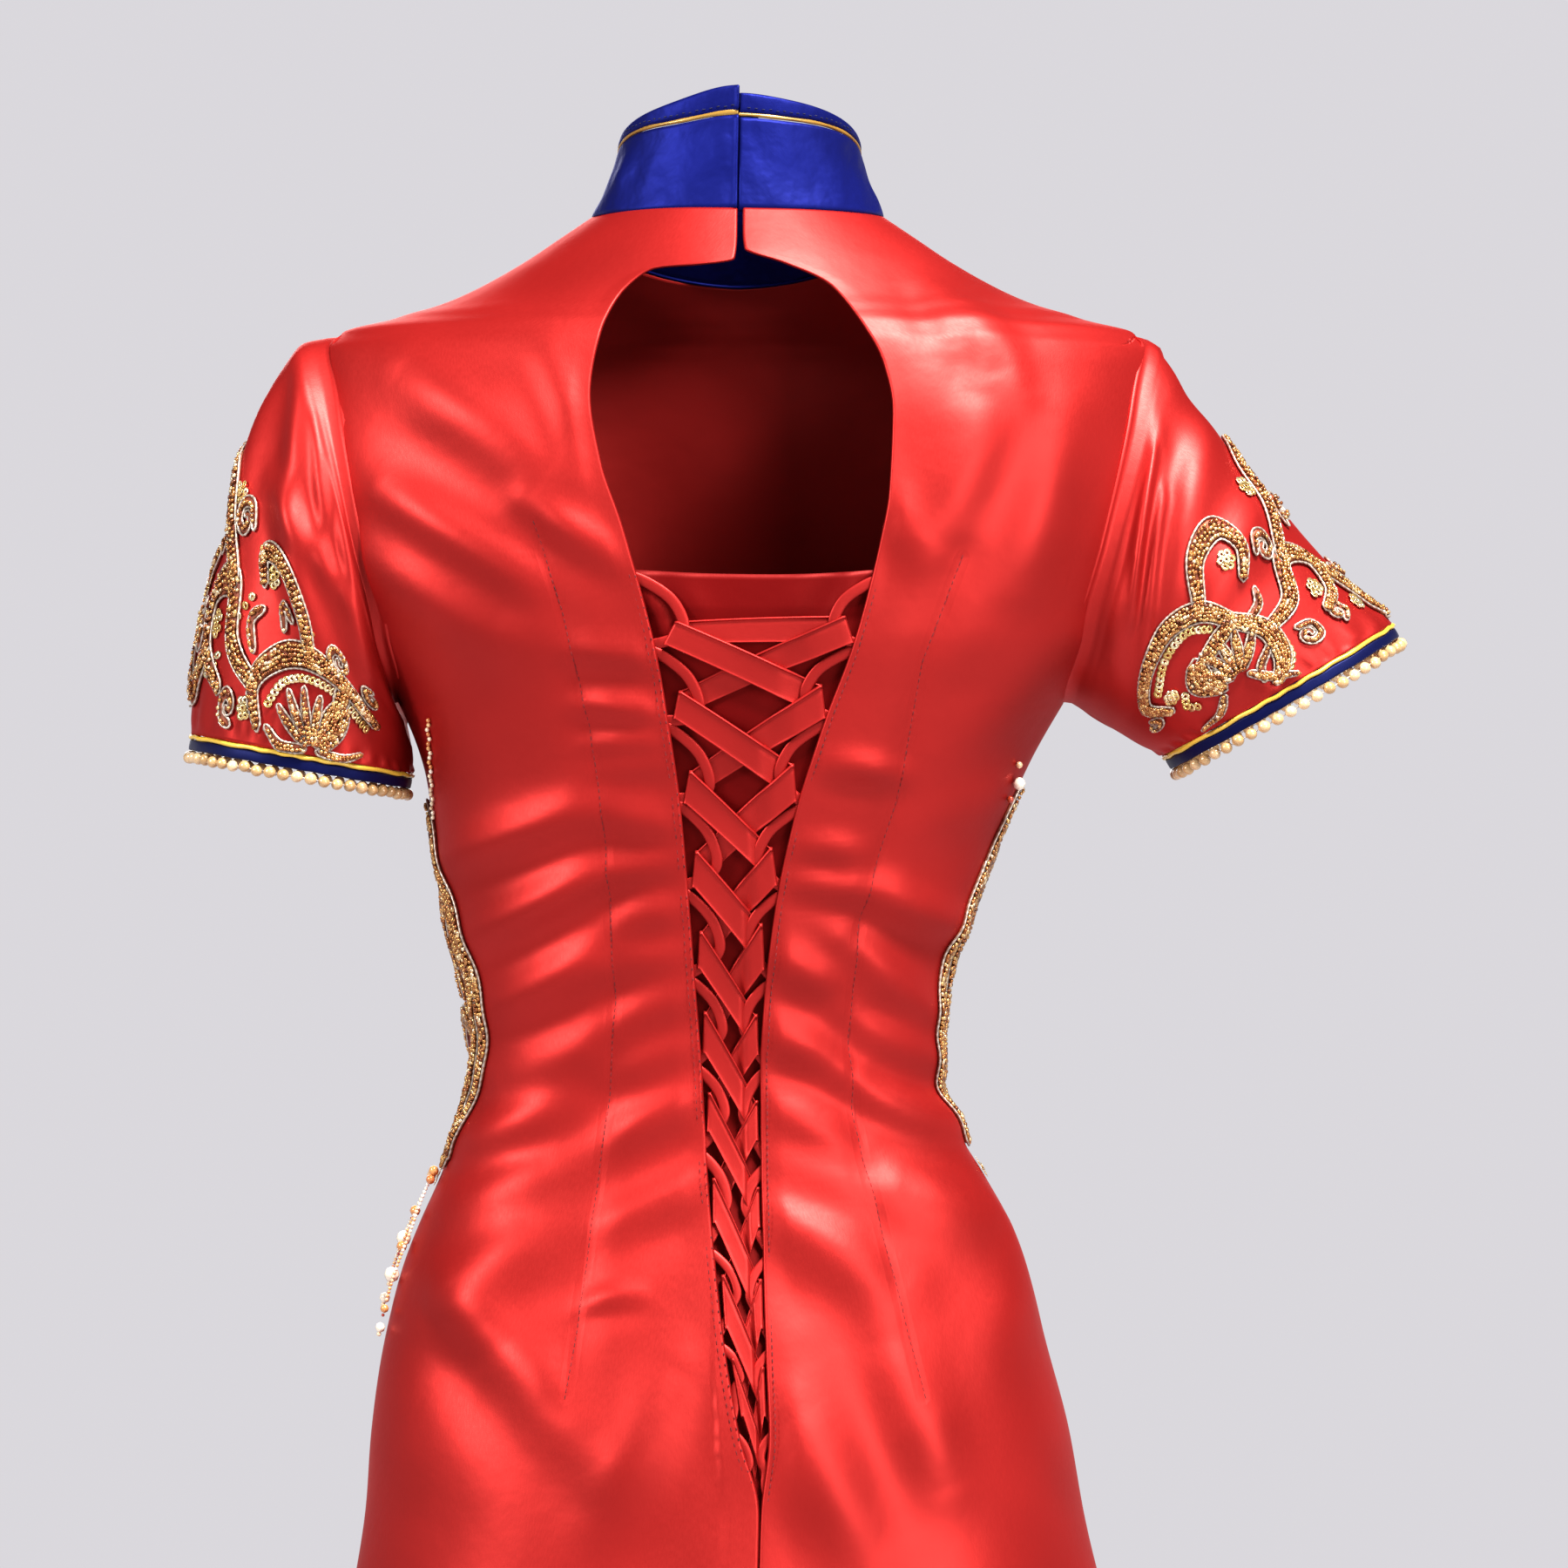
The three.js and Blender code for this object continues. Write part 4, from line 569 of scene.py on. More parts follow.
RIGHT_FOLDS = table(FOLD_COLUMNS, [
    (-116, -90, -86, -150, 0, 14, 2.2), (-146, -96, -128, -170, 0, 14, 2.2),
    (-94, -38, -112, -78, 3, 8, 1.3), (-106, -42, -128, -86, 3, 8, 1.2),
    (-84, -34, -96, -64, 2, 7, 0.8), (-150, -200, -96, -246, 2, 14, 1.2),
    (-60, -120, -82, -158, 0, 10, 1.6), (-40, -251, -72, -256, 1, 6.5, 1.3),
    (-27, -288, -56, -291, 1, 6.5, 1.1), (-24, -303, -56, -309, 1, 6.5, 1.1),
    (-56, -305, -102, -326, 0, 9, 2.4), (-50, -330, -98, -376, 0, 10, 3.0),
    (-15, -336, -54, -355, 0, 9, 2.2), (-50, -364, -100, -393, 0, 9, 3.2),
    (-14, -371, -54, -388, 0, 9, 2.4), (-50, -393, -116, -424, 0, 9, 3.4),
    (-14, -404, -56, -422, 0, 10, 2.2), (-12, -424, -66, -446, 0, 9, 1.8),
    (-75, -443, -118, -464, 0, 14, 2.4), (-10, -446, -72, -486, 0, 14, 2.7),
    (-70, -505, -95, -572, 0, 14, 3.2), (-24, -540, -60, -604, 0, 16, 2.4),
    (-128, -466, -118, -520, 0, 15, 1.8), (-124, -262, -84, -276, 0, 12, 1.2),
])
FRONT_FOLDS = table(FOLD_COLUMNS, [
    (-120, -250, -70, -215, 0, 12, 1.8), (122, -252, 74, -218, 0, 12, 1.8),
    (-104, -380, -40, -360, 0, 12, 1.6), (112, -372, 50, -352, 0, 12, 1.6),
    (-130, -470, -60, -430, 0, 15, 2.2), (138, -468, 66, -428, 0, 15, 2.2),
    (-118, -540, -40, -500, 0, 17, 2.2), (124, -546, 44, -505, 0, 17, 2.2),
])
WAVES = 14                     # slow waves that are added up
BROAD_RISE = 1.75              # how many times their stated height the straight folds stand
FINE_RISE = 2.1                # and the bent, finer ones


def fold_height(x, z, folds):
    """Sum over the folds of high * exp(-(away / wide)^2), where away is the distance from the
    fold's bent line, less 0.4 of the same bell 1.7 widths below it for the trough."""
    height = np.zeros(np.broadcast(x, z).shape)
    for x0, z0, x1, z1, bend, wide, high in zip(*folds.values()):
        dx, dz = x1 - x0, z1 - z0
        length = np.hypot(dx, dz)
        upward = np.sign(dx) if dx else 1
        s = ((x - x0) * dx + (z - z0) * dz) / length ** 2
        near = np.clip(s, 0, 1)
        across = upward * ((z - z0) * dx - (x - x0) * dz) / length - bend * 4 * near * (1 - near)
        beyond = (s - near) * length
        taper = 1 - 0.5 * (2 * near - 1) ** 2
        ridge = np.exp(-(across ** 2 + beyond ** 2) / wide ** 2)
        trough = np.exp(-((across + 1.7 * wide) ** 2 + beyond ** 2) / wide ** 2)
        height += high * (FINE_RISE if bend else BROAD_RISE) * taper * (ridge - 0.4 * trough)
    return height


def slow_waves(x, z, seed, size):
    """Sum of sine waves of 45 to 130 mm, with random direction and phase, size millimetres."""
    draw = np.random.default_rng(seed)
    height = np.zeros(np.broadcast(x, z).shape)
    for long, turn, phase in zip(draw.uniform(45, 130, WAVES), draw.uniform(0, np.pi, WAVES),
                                 draw.uniform(0, 2 * np.pi, WAVES)):
        along = x * np.cos(turn) + z * np.sin(turn) * 0.8
        height += np.sin(2 * np.pi * along / long + phase) * long / 90
    return height * size / np.sqrt(WAVES / 2)


def cloth_height(angle, z):
    """Height of the cloth over the form: folds and waves, fading out at the side seams."""
    angle = np.asarray(angle, float)
    x = form_point(angle, z)[..., 0]
    left = fold_height(x, z, LEFT_FOLDS) + slow_waves(x, z, 3, 0.5)
    right = fold_height(x, z, RIGHT_FOLDS) + slow_waves(x, z, 4, 0.5)
    front = fold_height(x, z, FRONT_FOLDS) + slow_waves(x, z, 5, 0.6)
    fade = smoothstep(np.abs(np.cos(angle)), 0.02, 0.3)
    return fade * np.where(np.cos(angle) < 0, front, np.where(np.sin(angle) > 0, left, right))


print("folds:", [len(f["x0"]) for f in (LEFT_FOLDS, RIGHT_FOLDS, FRONT_FOLDS)])

# %% [markdown]
# The two back panels run from the collar round the keyhole, down the lacing edge and the centre
# back seam to the hem, and out to the shoulder, armhole and side seam. Each is one grid: its
# rows follow that inner edge. The columns crowd together at both ends, where the cloth is
# turned under and rolls over. Stitched darts take it in at the waist: they are lines of pulled
# cloth, so each point keeps its distance to the nearest one.

# %% Back panels
EDGE_COLUMNS = "x z side"
LEFT_EDGE = table(EDGE_COLUMNS, [
    (-0.3, 0, 0), (-0.2, -13, -7), (1, -24, -16), (17.8, -27, -26), (35.5, -28, -37),
    (50, -37, -46), (60.5, -58, SHOULDER_TIP_Z), (64.9, -86, -82), (60, -117, -117),
    (50.3, -146, -146), (35.6, -201, -192), (29.9, -234, UNDERARM_Z), (25, -269, -262),
    (21.6, -308, -304), (18.6, -348, -346), (15.5, -388, -388), (13.1, -432, -432),
    (9.1, -476, -476), (4.7, -512, -512), (-1.9, -549, -549), (-10.4, -583, -583),
    (-8.8, -640, -640), (-5.8, -740, -740), (-2.8, -880, -880), (0.2, -1060, -1060),
    (0.2, -1240, -1240), (0.2, HEM_Z, HEM_Z),
])
RIGHT_EDGE = table(EDGE_COLUMNS, [
    (-2.6, 0, 0), (-2.6, -10, -7), (-3.4, -19, -16), (-21.2, -26, -26), (-40.7, -35, -37),
    (-56.2, -54, -46), (-65.8, -73, SHOULDER_TIP_Z), (-69.6, -94, -82), (-68, -128, -117),
    (-64, -152, -146), (-52.1, -198, -192), (-39.4, -232, UNDERARM_Z), (-27, -271, -262),
    (-18.5, -309, -304), (-13, -349, -346), (-10.6, -388, -388), (-10.9, -432, -432),
    (-12, -476, -476), (-13.1, -512, -512), (-14.4, -549, -549), (-10.9, -583, -583),
    (-9.3, -640, -640), (-6.3, -740, -740), (-3.3, -880, -880), (-0.3, -1060, -1060),
    (-0.3, -1240, -1240), (-0.3, HEM_Z, HEM_Z),
])
LEFT_DART = [(90, -144), (77.5, -183), (66, -233), (60.5, -268), (57, -311), (54.6, -358),
             (57, -397), (61, -428), (67.5, -474), (75.5, -533)]
RIGHT_DART = [(-100.6, -159), (-83, -206), (-77.6, -237), (-72, -268), (-62, -299),
              (-54.5, -327), (-50.6, -374), (-52.6, -405), (-56.5, -428), (-64, -455),
              (-73.7, -494), (-83, -534)]
BACK_COLUMNS = 88
BODY_CORE = (0, 0, -600)       # a point inside the skirt, from which cloth faces look away
CLOTH = 1.1                    # thickness of the satin with its underlining
EDGE_ROLL = 1.1                # radius over which a turned edge rolls under
CROWDING = 0.72                # how much closer the columns stand at a panel's edges
DART_DEPTH = 1.3               # how far a dart pulls the cloth in
DART_REACH = 9                 # and over which distance
FAR = 50.0                     # a distance that no seam line reaches


def crowded_shares(count):
    """Shares from 0 to 1 with smaller steps at both ends: s - c * sin(2 pi s) / (2 pi)."""
    s = np.linspace(0, 1, count + 1)
    return s - CROWDING * np.sin(2 * np.pi * s) / (2 * np.pi)


def spread_row(from_angle, from_z, to_angle, to_z, shares):
    """Each row's own parameter u at the given shares of its length along the form."""
    fine = np.linspace(0, 1, 65)
    angle = lerp(from_angle[:, None], to_angle[:, None], fine)
    z = lerp(from_z[:, None], to_z[:, None], fine)
    reached = run_length(form_point(angle, z), 1)
    reached /= reached[:, -1:]
    return np.stack([np.interp(shares, row, fine) for row in reached])


def line_distance(x, z, line):
    """Distance of each point to a line of straight pieces, as the least over its pieces."""
    nearest = np.full(np.broadcast(x, z).shape, np.inf)
    for (x0, z0), (x1, z1) in zip(line[:-1], line[1:]):
        dx, dz = x1 - x0, z1 - z0
        s = np.clip(((x - x0) * dx + (z - z0) * dz) / (dx * dx + dz * dz), 0, 1)
        nearest = np.minimum(nearest, np.hypot(x - x0 - s * dx, z - z0 - s * dz))
    return nearest


def rolled(distance):
    """How far a turned edge drops at a distance from it: r - sqrt(r^2 - (r - d)^2)."""
    short = np.clip(EDGE_ROLL - distance, 0, EDGE_ROLL)
    return EDGE_ROLL - np.sqrt(EDGE_ROLL ** 2 - short ** 2)


def no_seam(points):
    """The seam distance of cloth that has no seam line."""
    return np.full(points.shape[:2], FAR)


def panel_points(from_angle, from_z, to_angle, to_z, shares, height_at, sag=0.0, sewn=(0, 0)):
    """Points, angles and heights of a panel. height_at(angle, z, u) lifts them off the form.
    sewn says which end of the rows is a seam, whose edge rolls only a third as far."""
    u = spread_row(from_angle, from_z, to_angle, to_z, shares)
    angle = lerp(from_angle[:, None], to_angle[:, None], u)
    z = lerp(from_z[:, None], to_z[:, None], u)
    z = z + np.asarray(sag).reshape(-1, 1) * np.sin(np.pi * u) ** 2
    at_seam = np.abs(np.cos(angle)) < 0.02
    facing = np.where(at_seam, np.sign(np.sin(angle)) * np.pi / 2, angle)
    bare = form_point(angle, z)
    reach = run_length(bare, 1)
    near, far = (1 - 0.65 * np.array(sewn, float))
    height = height_at(angle, z, u) - near * rolled(reach) - far * rolled(reach[:, -1:] - reach)
    return bare + form_normal(facing, z) * height[..., None], angle, z


def back_panel(name, node, edge, side, dart):
    """One back panel, from its inner edge to its side seam. side is 1 for the left one."""
    steps = np.concatenate([np.arange(0, 8, 1 / 12), np.arange(8, 20, 1 / 13),
                            np.linspace(20, 26, 61)])
    rows = np.arange(len(edge["x"]))
    x, z, seam_z = (curve_through(rows, edge[key])(steps) for key in ("x", "z", "side"))
    seam_angle = side * angle_at_depth(side_edge_depth(seam_z, ARMHOLE_BACK), seam_z)

    def height_at(angle, z, u):
        """Folds that grow out of the inner edge, less the pull of the dart."""
        place = form_point(angle, z)[..., 0]
        pull = DART_DEPTH * np.exp(-(line_distance(place, z, dart) / DART_REACH) ** 2)
        return cloth_height(angle, z) * lerp(0.45, 1, smoothstep(u, 0, 0.06)) - pull

    points, angle, z = panel_points(angle_across(x, z), z, seam_angle, seam_z,
                                    crowded_shares(BACK_COLUMNS), height_at, sewn=(0, 1))
    faces = turn_away(points, grid_faces(*points.shape[:2]), BODY_CORE)
    piece = make_piece(name, points, faces, satin_red, "red_satin", flat_map(points), faces,
                       seam_distance=line_distance(points[..., 0], z, dart))
    thicken(piece, CLOTH)
    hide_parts(node)
    area = cloth_area(points)
    print(name, points.shape[:2], "area", round(area, 4))


back_panel("back_left_cloth", "back_left", LEFT_EDGE, 1, LEFT_DART)
back_panel("back_right_cloth", "back_right", RIGHT_EDGE, -1, RIGHT_DART)

# %% [markdown]
# The front is one piece without a centre seam. Bust darts from the side seams and waist darts
# shape it, as on most dresses of this cut. The camera doesn't see it, so it is kept plain.

# %% Front panel
FRONT_COLUMNS = 110
FRONT_DARTS = [
    [(-138, -262), (-78, -208)], [(142, -264), (84, -210)],
    [(-70, -250), (-52, -376), (-72, -520)], [(84, -250), (80, -376), (94, -520)],
]


def front_panel():
    """The front, from the left side seam round to the right one."""
    z = np.concatenate([np.linspace(0, -53, 28), np.linspace(-58, -223, 56),
                        np.linspace(-226, -600, 110), np.linspace(-612, HEM_Z, 60)])
    angle = angle_at_depth(-side_edge_depth(z, ARMHOLE_FRONT), z)
    sag = -NECK_DROP_FRONT * np.clip(1 + z / 110, 0, 1) ** 2

    def nearest_dart(x, z):
        """Distance to the nearest of the four darts."""
        return np.min([line_distance(x, z, dart) for dart in FRONT_DARTS], axis=0)

    def height_at(angle, z, _):
        """Folds, less the pull of the darts."""
        away = nearest_dart(form_point(angle, z)[..., 0], z)
        return cloth_height(angle, z) - DART_DEPTH * np.exp(-(away / DART_REACH) ** 2)

    points, _, z_grid = panel_points(angle, z, 2 * np.pi - angle, z,
                                     crowded_shares(FRONT_COLUMNS), height_at, sag,
                                     sewn=(1, 1))
    faces = turn_away(points, grid_faces(*points.shape[:2]), BODY_CORE)
    piece = make_piece("front_cloth", points, faces, satin_red, "red_satin", flat_map(points),
                       faces, seam_distance=nearest_dart(points[..., 0], z_grid))
    thicken(piece, CLOTH)
    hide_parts("front")
    area = cloth_area(points)
    print("front", points.shape[:2], "area", round(area, 4))


front_panel()

# %% [markdown]
# Under the lacing lies the modesty panel, a strip of the same satin that is sewn in behind both
# lacing edges. Its top edge is faced and dips a little at its middle. It drops below the form
# to leave room for the lace. Its satin is painted darker, as the shade under the lace.

# %% Modesty panel
MODESTY_TOP, MODESTY_BOTTOM = -164, -604
MODESTY_UNDERLAP = 26          # how far it lies under each back panel
MODESTY_HEIGHT = -5.9          # its height over the form at its middle
MODESTY_SEWN = -2.5            # and at its sewn edges
MODESTY_CLOTH = 0.9
FACING = 20                    # depth of the faced top edge
MODESTY_DIP = -3               # how far the top edge sags
MODESTY_FOLDS = table(FOLD_COLUMNS, [
    (44, -170, 30, -196, 1, 5, 1.2), (-52, -168, -40, -192, -1, 5, 1.2),
    (24, -172, 14, -186, 0, 6, 0.7), (-30, -172, -22, -188, 0, 6, 0.7),
    (12, -226, -24, -236, 0, 8, 0.8), (10, -262, -18, -270, 0, 7, 0.7),
])


def edge_x(edge):
    """x of a lacing edge at height z, through the rows from the keyhole down to the skirt."""
    laced = slice(7, 22)
    return curve_through(edge["z"][laced], edge["x"][laced])


left_edge_x, right_edge_x = edge_x(LEFT_EDGE), edge_x(RIGHT_EDGE)


def modesty_panel():
    """The strip behind the lacing, lower at its middle than at its sewn edges."""
    z = np.linspace(MODESTY_TOP, MODESTY_BOTTOM, 150)
    start = angle_across(left_edge_x(z) + MODESTY_UNDERLAP, z)
    end = angle_across(right_edge_x(z) - MODESTY_UNDERLAP, z)

    def height_at(angle, z, u):
        """The drop under the panels, the step of the facing and a few folds."""
        inside = np.minimum(u, 1 - u)
        drop = lerp(MODESTY_SEWN, MODESTY_HEIGHT, smoothstep(inside, 0, 1 / 8))
        facing = 0.7 * smoothstep(z, MODESTY_TOP - FACING - 1, MODESTY_TOP - FACING)
        folds = fold_height(form_point(angle, z)[..., 0], z, MODESTY_FOLDS)
        return drop + facing * smoothstep(inside, 0.1, 0.2) + folds * smoothstep(inside, 0.05, 0.2)

    sag = MODESTY_DIP * np.clip(1 - (MODESTY_TOP - z) / 40, 0, 1)
    points, _, _ = panel_points(start, z, end, z, np.linspace(0, 1, 57), height_at, sag,
                                sewn=(1, 1))
    faces = turn_away(points, grid_faces(*points.shape[:2]), (0, 0, -400))
    # painted shade: the panel gets the darker copy of the red satin
    piece = make_piece("modesty_cloth", points, faces, satin_red_painted_shade, "red_satin", flat_map(points),
                       faces, seam_distance=no_seam(points))
    thicken(piece, MODESTY_CLOTH)
    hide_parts("modesty_panel")
    cloth_area(points)
    print("modesty panel area", round(cloth_area(points), 4))


modesty_panel()

# %% [markdown]
# A short set-in sleeve is a tube from the armhole's egg to the cuff's oval. The left arm hangs
# and the right one is lifted, so the two tubes differ: each has a table of sections. Its cap
# follows the armhole's edge, and it stays clear of the body's side.

# %% Sleeves
SLEEVE_COLUMNS = "t topX topZ lowX lowZ depth"
LEFT_SLEEVE = table(SLEEVE_COLUMNS, [
    (0, 188, -55, 154, -222.5, 54), (0.12, 200, -58, 153, -228, 56),
    (0.28, 211, -76, 151.5, -233, 57), (0.45, 224, -107, 150, -238, 56),
    (0.65, 235, -146, 149.5, -244, 54), (0.82, 246, -190, 149, -249, 52),
    (1, 250.8, -237, 149, -255, 50),
])
RIGHT_SLEEVE = table(SLEEVE_COLUMNS, [
    (0, -188, -55, -150, -222.5, 54), (0.12, -198, -67, -158, -227, 56),
    (0.28, -211, -92, -166, -231, 57), (0.45, -236, -118, -173, -235, 56.5),
    (0.65, -261, -148, -181, -239.5, 55), (0.82, -281, -169, -188, -243.5, 53),
    (1, -300, -186, -195, -247, 51),
])
SLEEVE_REACH, SLEEVE_GIRTH = 150, 70      # lengths that turn t and angle into millimetres


def creases(rows):
    """Sleeve creases from (t, degrees) ends to millimetres on the unrolled sleeve."""
    made = table("t0 a0 t1 a1 bend wide high", rows)
    return dict(zip(FOLD_COLUMNS.split(), [
        made["t0"] * SLEEVE_REACH, made["a0"] * DEGREE * SLEEVE_GIRTH,
        made["t1"] * SLEEVE_REACH, made["a1"] * DEGREE * SLEEVE_GIRTH,
        made["bend"], made["wide"], made["high"],
    ]))


LEFT_CREASES = creases([
    (0.16, 40, 0.6, 84, 0, 12, 2.2), (0.3, 10, 0.62, 30, 0, 12, 2.4),
    (0.12, 96, 0.5, 122, 0, 13, 1.8), (0.14, 58, 0.4, 92, 3, 8, 1.0),
    (0.44, 46, 0.34, 100, 3, 8, 1.4),
])
RIGHT_CREASES = creases([
    (0.3, 8, 0.34, 100, 0, 11, 2.8), (0.46, 20, 0.5, 96, 0, 12, 2),
    (0.12, 60, 0.2, 128, 0, 12, 1.8), (0.1, 64, 0.24, 112, 3, 5, 2.0),
    (0.22, 70, 0.36, 118, 3, 5, 1.6),
])


def sleeve(sections, folds, seed):
    """A sleeve's side, its sections and two functions: centre(t) and point(t, turn, height).
    t runs from 0 at the armhole to 1 at the cuff, and turn from 0 on top, back first."""
    side = np.sign(sections["topX"][0])
    section = {key: curve_through(sections["t"], sections[key]) for key in sections if key != "t"}

    def on_body(y, z):
        """x of the body's side at a given y and z."""
        return form_point(side * angle_at_depth(y, z), z)[..., 0]

    def surface(t, turn):
        """An egg at the armhole that turns into the cuff's oval, kept outside the body."""
        t, turn = np.broadcast_arrays(np.asarray(t, float), np.asarray(turn, float))
        up, back = np.cos(turn), np.sin(turn)
        share = (1 + up) / 2
        x = lerp(section["lowX"](t), section["topX"](t), share)
        z = lerp(section["lowZ"](t), section["topZ"](t), share)
        start_x = lerp(sections["lowX"][0], sections["topX"][0], share)
        start_z = lerp(sections["lowZ"][0], sections["topZ"][0], share)
        egg = lerp(1 - 0.25 * up, 1, np.minimum(t / 0.5, 1))
        armhole = np.where(back >= 0, ARMHOLE_BACK, ARMHOLE_FRONT)
        tight = np.where(t < 0.05, 1 - 0.6 / armhole, 1)
        y = lerp(armhole, section["depth"](t), np.minimum(t / 0.12, 1)) * back * egg * tight
        blend = smoothstep(0.4 - t, 0, 0.4)
        lift = np.where(t < 0.01, 0.6, 2.8)
        clear = side * on_body(y, z) + lift
        moved = side * (x + (on_body(y, start_z) - start_x) * blend) + lift * blend
        return np.stack([side * np.maximum(moved, clear), y, z], -1)

    def centre(t):
        """Middle of the sleeve at t."""
        return np.stack([(section["lowX"](t) + section["topX"](t)) / 2, np.zeros(np.shape(t)),
                         (section["lowZ"](t) + section["topZ"](t)) / 2], -1)

    def normal(t, turn):
        """Direction out of the sleeve: the cross product of steps round and along it."""
        t = np.clip(t, 0.06, 0.97)
        along = surface(t + 0.03, turn) - surface(t - 0.03, turn)
        across = surface(t, turn + 0.06) - surface(t, turn - 0.06)
        out = unit(np.cross(across, along))
        away = (out * (surface(t, turn) - centre(t))).sum(-1, keepdims=True)
        return np.where(away < 0, -out, out)

    def point(t, turn, height):
        """A point of the cloth with its creases, and fine puckers at the cuff, plus height."""
        t, turn, height = np.broadcast_arrays(*(np.asarray(v, float) for v in (t, turn, height)))
        fold = fold_height(t * SLEEVE_REACH, turn * SLEEVE_GIRTH, folds)
        fold = fold + slow_waves(t * SLEEVE_REACH, turn * SLEEVE_GIRTH, seed, 0.35)
        fade = smoothstep(t, 0.03, 0.16) * np.clip((1 - t) / 0.15, 0, 1)
        pucker = 0.7 * np.sin(26 * turn + 2 * np.sin(5 * turn)) * smoothstep(t, 0.86, 0.97)
        pucker = pucker * smoothstep(1 - t, 0, 0.03)
        return surface(t, turn) + normal(t, turn) * (height + fold * fade + pucker)[..., None]

    return {"point": point, "section": section, "centre": centre, "side": side}


SEAM_ALLOWANCE = [(2.6, 4.0), (1.2, 2.6), (0.2, 1.2)]     # outwards and into the dress


def sleeve_cloth(name, node, shape):
    """The sleeve's tube, with a seam allowance that turns in under the edge of the armhole."""
    t = np.concatenate([[0, 0.012, 0.03, 0.05, 0.075], np.linspace(0.1, 0.9, 44),
                        np.linspace(0.912, 1, 12)])
    turn = np.linspace(-np.pi, np.pi, 145)
    whole = shape["point"](t[:, None], turn[None, :], 0)
    spread = np.stack([0 * turn, np.sin(turn), np.cos(turn)], -1)
    inward = np.array([-shape["side"], 0, 0])
    allowance = [whole[0] + spread * out + inward * deep for out, deep in SEAM_ALLOWANCE]
    whole = np.concatenate([np.stack(allowance), whole])
    points = whole[:, :-1]
    faces = grid_faces(len(whole), len(turn) - 1, around=True)
    core = shape["centre"](np.array(0.5))
    flipped = turn_away(points, faces, core) is not faces
    uv_faces = grid_faces(len(whole), len(turn))
    if flipped:
        faces, uv_faces = faces[:, ::-1], uv_faces[:, ::-1]
    piece = make_piece(name, points, faces, satin_red, "red_satin", flat_map(whole), uv_faces,
                       seam_distance=no_seam(points))
    thicken(piece, CLOTH)
    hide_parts(f"{node}_back", f"{node}_front")
    print(name, "area", round(cloth_area(whole), 4))


sleeves = {"left": sleeve(LEFT_SLEEVE, LEFT_CREASES, 21),
           "right": sleeve(RIGHT_SLEEVE, RIGHT_CREASES, 22)}
for hand, shape in sleeves.items():
    sleeve_cloth(f"sleeve_{hand}_cloth", f"sleeve_{hand}", shape)

# %% [markdown]
# Piping, cords and bands are tubes: a small outline carried along a line. Beads are copies of one
# small shape, turned on a lathe, that numpy places, turns and sizes all at once. Both kinds of
# shape are joined into one mesh, because thousands of small objects would be slow.

# %% Rings, tubes and scattered beads
def close_tube(rings, looped):
    """Faces of a tube through rings of points, with flat ends where it isn't looped."""
    count, sides = rings.shape[:2]
    faces = grid_faces(count, sides, around=True, looped=looped).tolist()
    if not looped:
        faces += [list(range(sides)), list(range((count - 1) * sides, count * sides))]
    return faces


def join(parts):
    """Points and faces of several (points, faces) shapes as one."""
    points, faces, shift = [], [], 0
    for part_points, part_faces in parts:
        part_points = np.asarray(part_points).reshape(-1, 3)
        points.append(part_points)
        faces += [[i + shift for i in face] for face in part_faces]
        shift += len(part_points)
    return np.concatenate(points), faces


def lathe(profile, sides):
    """Unit bead: a profile of (along, radius) turned round its axis, closed with flat ends."""
    turn = circle(sides)
    along, radius = np.array(profile, float).T
    rings = np.stack([np.broadcast_to(along[:, None], (len(along), sides)),
                      radius[:, None] * np.cos(turn), radius[:, None] * np.sin(turn)], -1)
    faces = grid_faces(len(along), sides, around=True)
    ends = [list(range(sides))[::-1], list(range((len(along) - 1) * sides, len(along) * sides))]
    return rings.reshape(-1, 3), faces, ends


def scatter(template, origins, frames, sizes):
    """Copies of a template at each origin. A frame's rows are its along, across and up
    directions, and sizes scale them: point = origin + sum of (coordinate * size * direction)."""
    points, quads, ends = template
    local = points[None] * np.asarray(sizes, float)[:, None, :]
    placed = origins[:, None] + np.einsum("nvi,nij->nvj", local, frames)
    shift = (np.arange(len(origins)) * len(points))[:, None, None]
    faces = (quads[None] + shift).reshape(-1, 4).tolist()
    for end in ends:
        faces += (np.array(end)[None] + shift[:, 0]).tolist()
    return placed.reshape(-1, 3), faces


SEED = lathe([(-0.5, 0.55), (-0.3, 1), (0.3, 1), (0.5, 0.55)], 5)
half_turn = np.linspace(0, np.pi, 9)
PEARL_BALL = lathe(np.stack([-np.cos(half_turn), np.maximum(np.sin(half_turn), 0.06)], -1), 14)
half_turn = half_turn[::2]
SMALL_BALL = lathe(np.stack([-np.cos(half_turn), np.maximum(np.sin(half_turn), 0.1)], -1), 8)


def sequin_template(sides=9):
    """A thin cupped disc with a hole: four rings that close on themselves."""
    turn = circle(sides)
    rings = [(1, 0.10), (0.28, -0.02), (0.28, -0.10), (1, 0.02)]
    points = np.concatenate([np.stack([r * np.cos(turn), r * np.sin(turn), np.full(sides, h)], -1)
                             for r, h in rings])
    return points, grid_faces(4, sides, around=True, looped=True), []


SEQUIN = sequin_template()
print("templates:", len(SEED[0]), len(PEARL_BALL[0]), len(SEQUIN[0]), "points")

# %% [markdown]
# Round each cuff lie a thin gold piping, a narrow blue band and a string of pearls. The first two
# are outlines carried round the cuff's oval, with a slight waver as sewn tubes have. The pearls
# are whole spheres, set an equal distance apart on their thread.

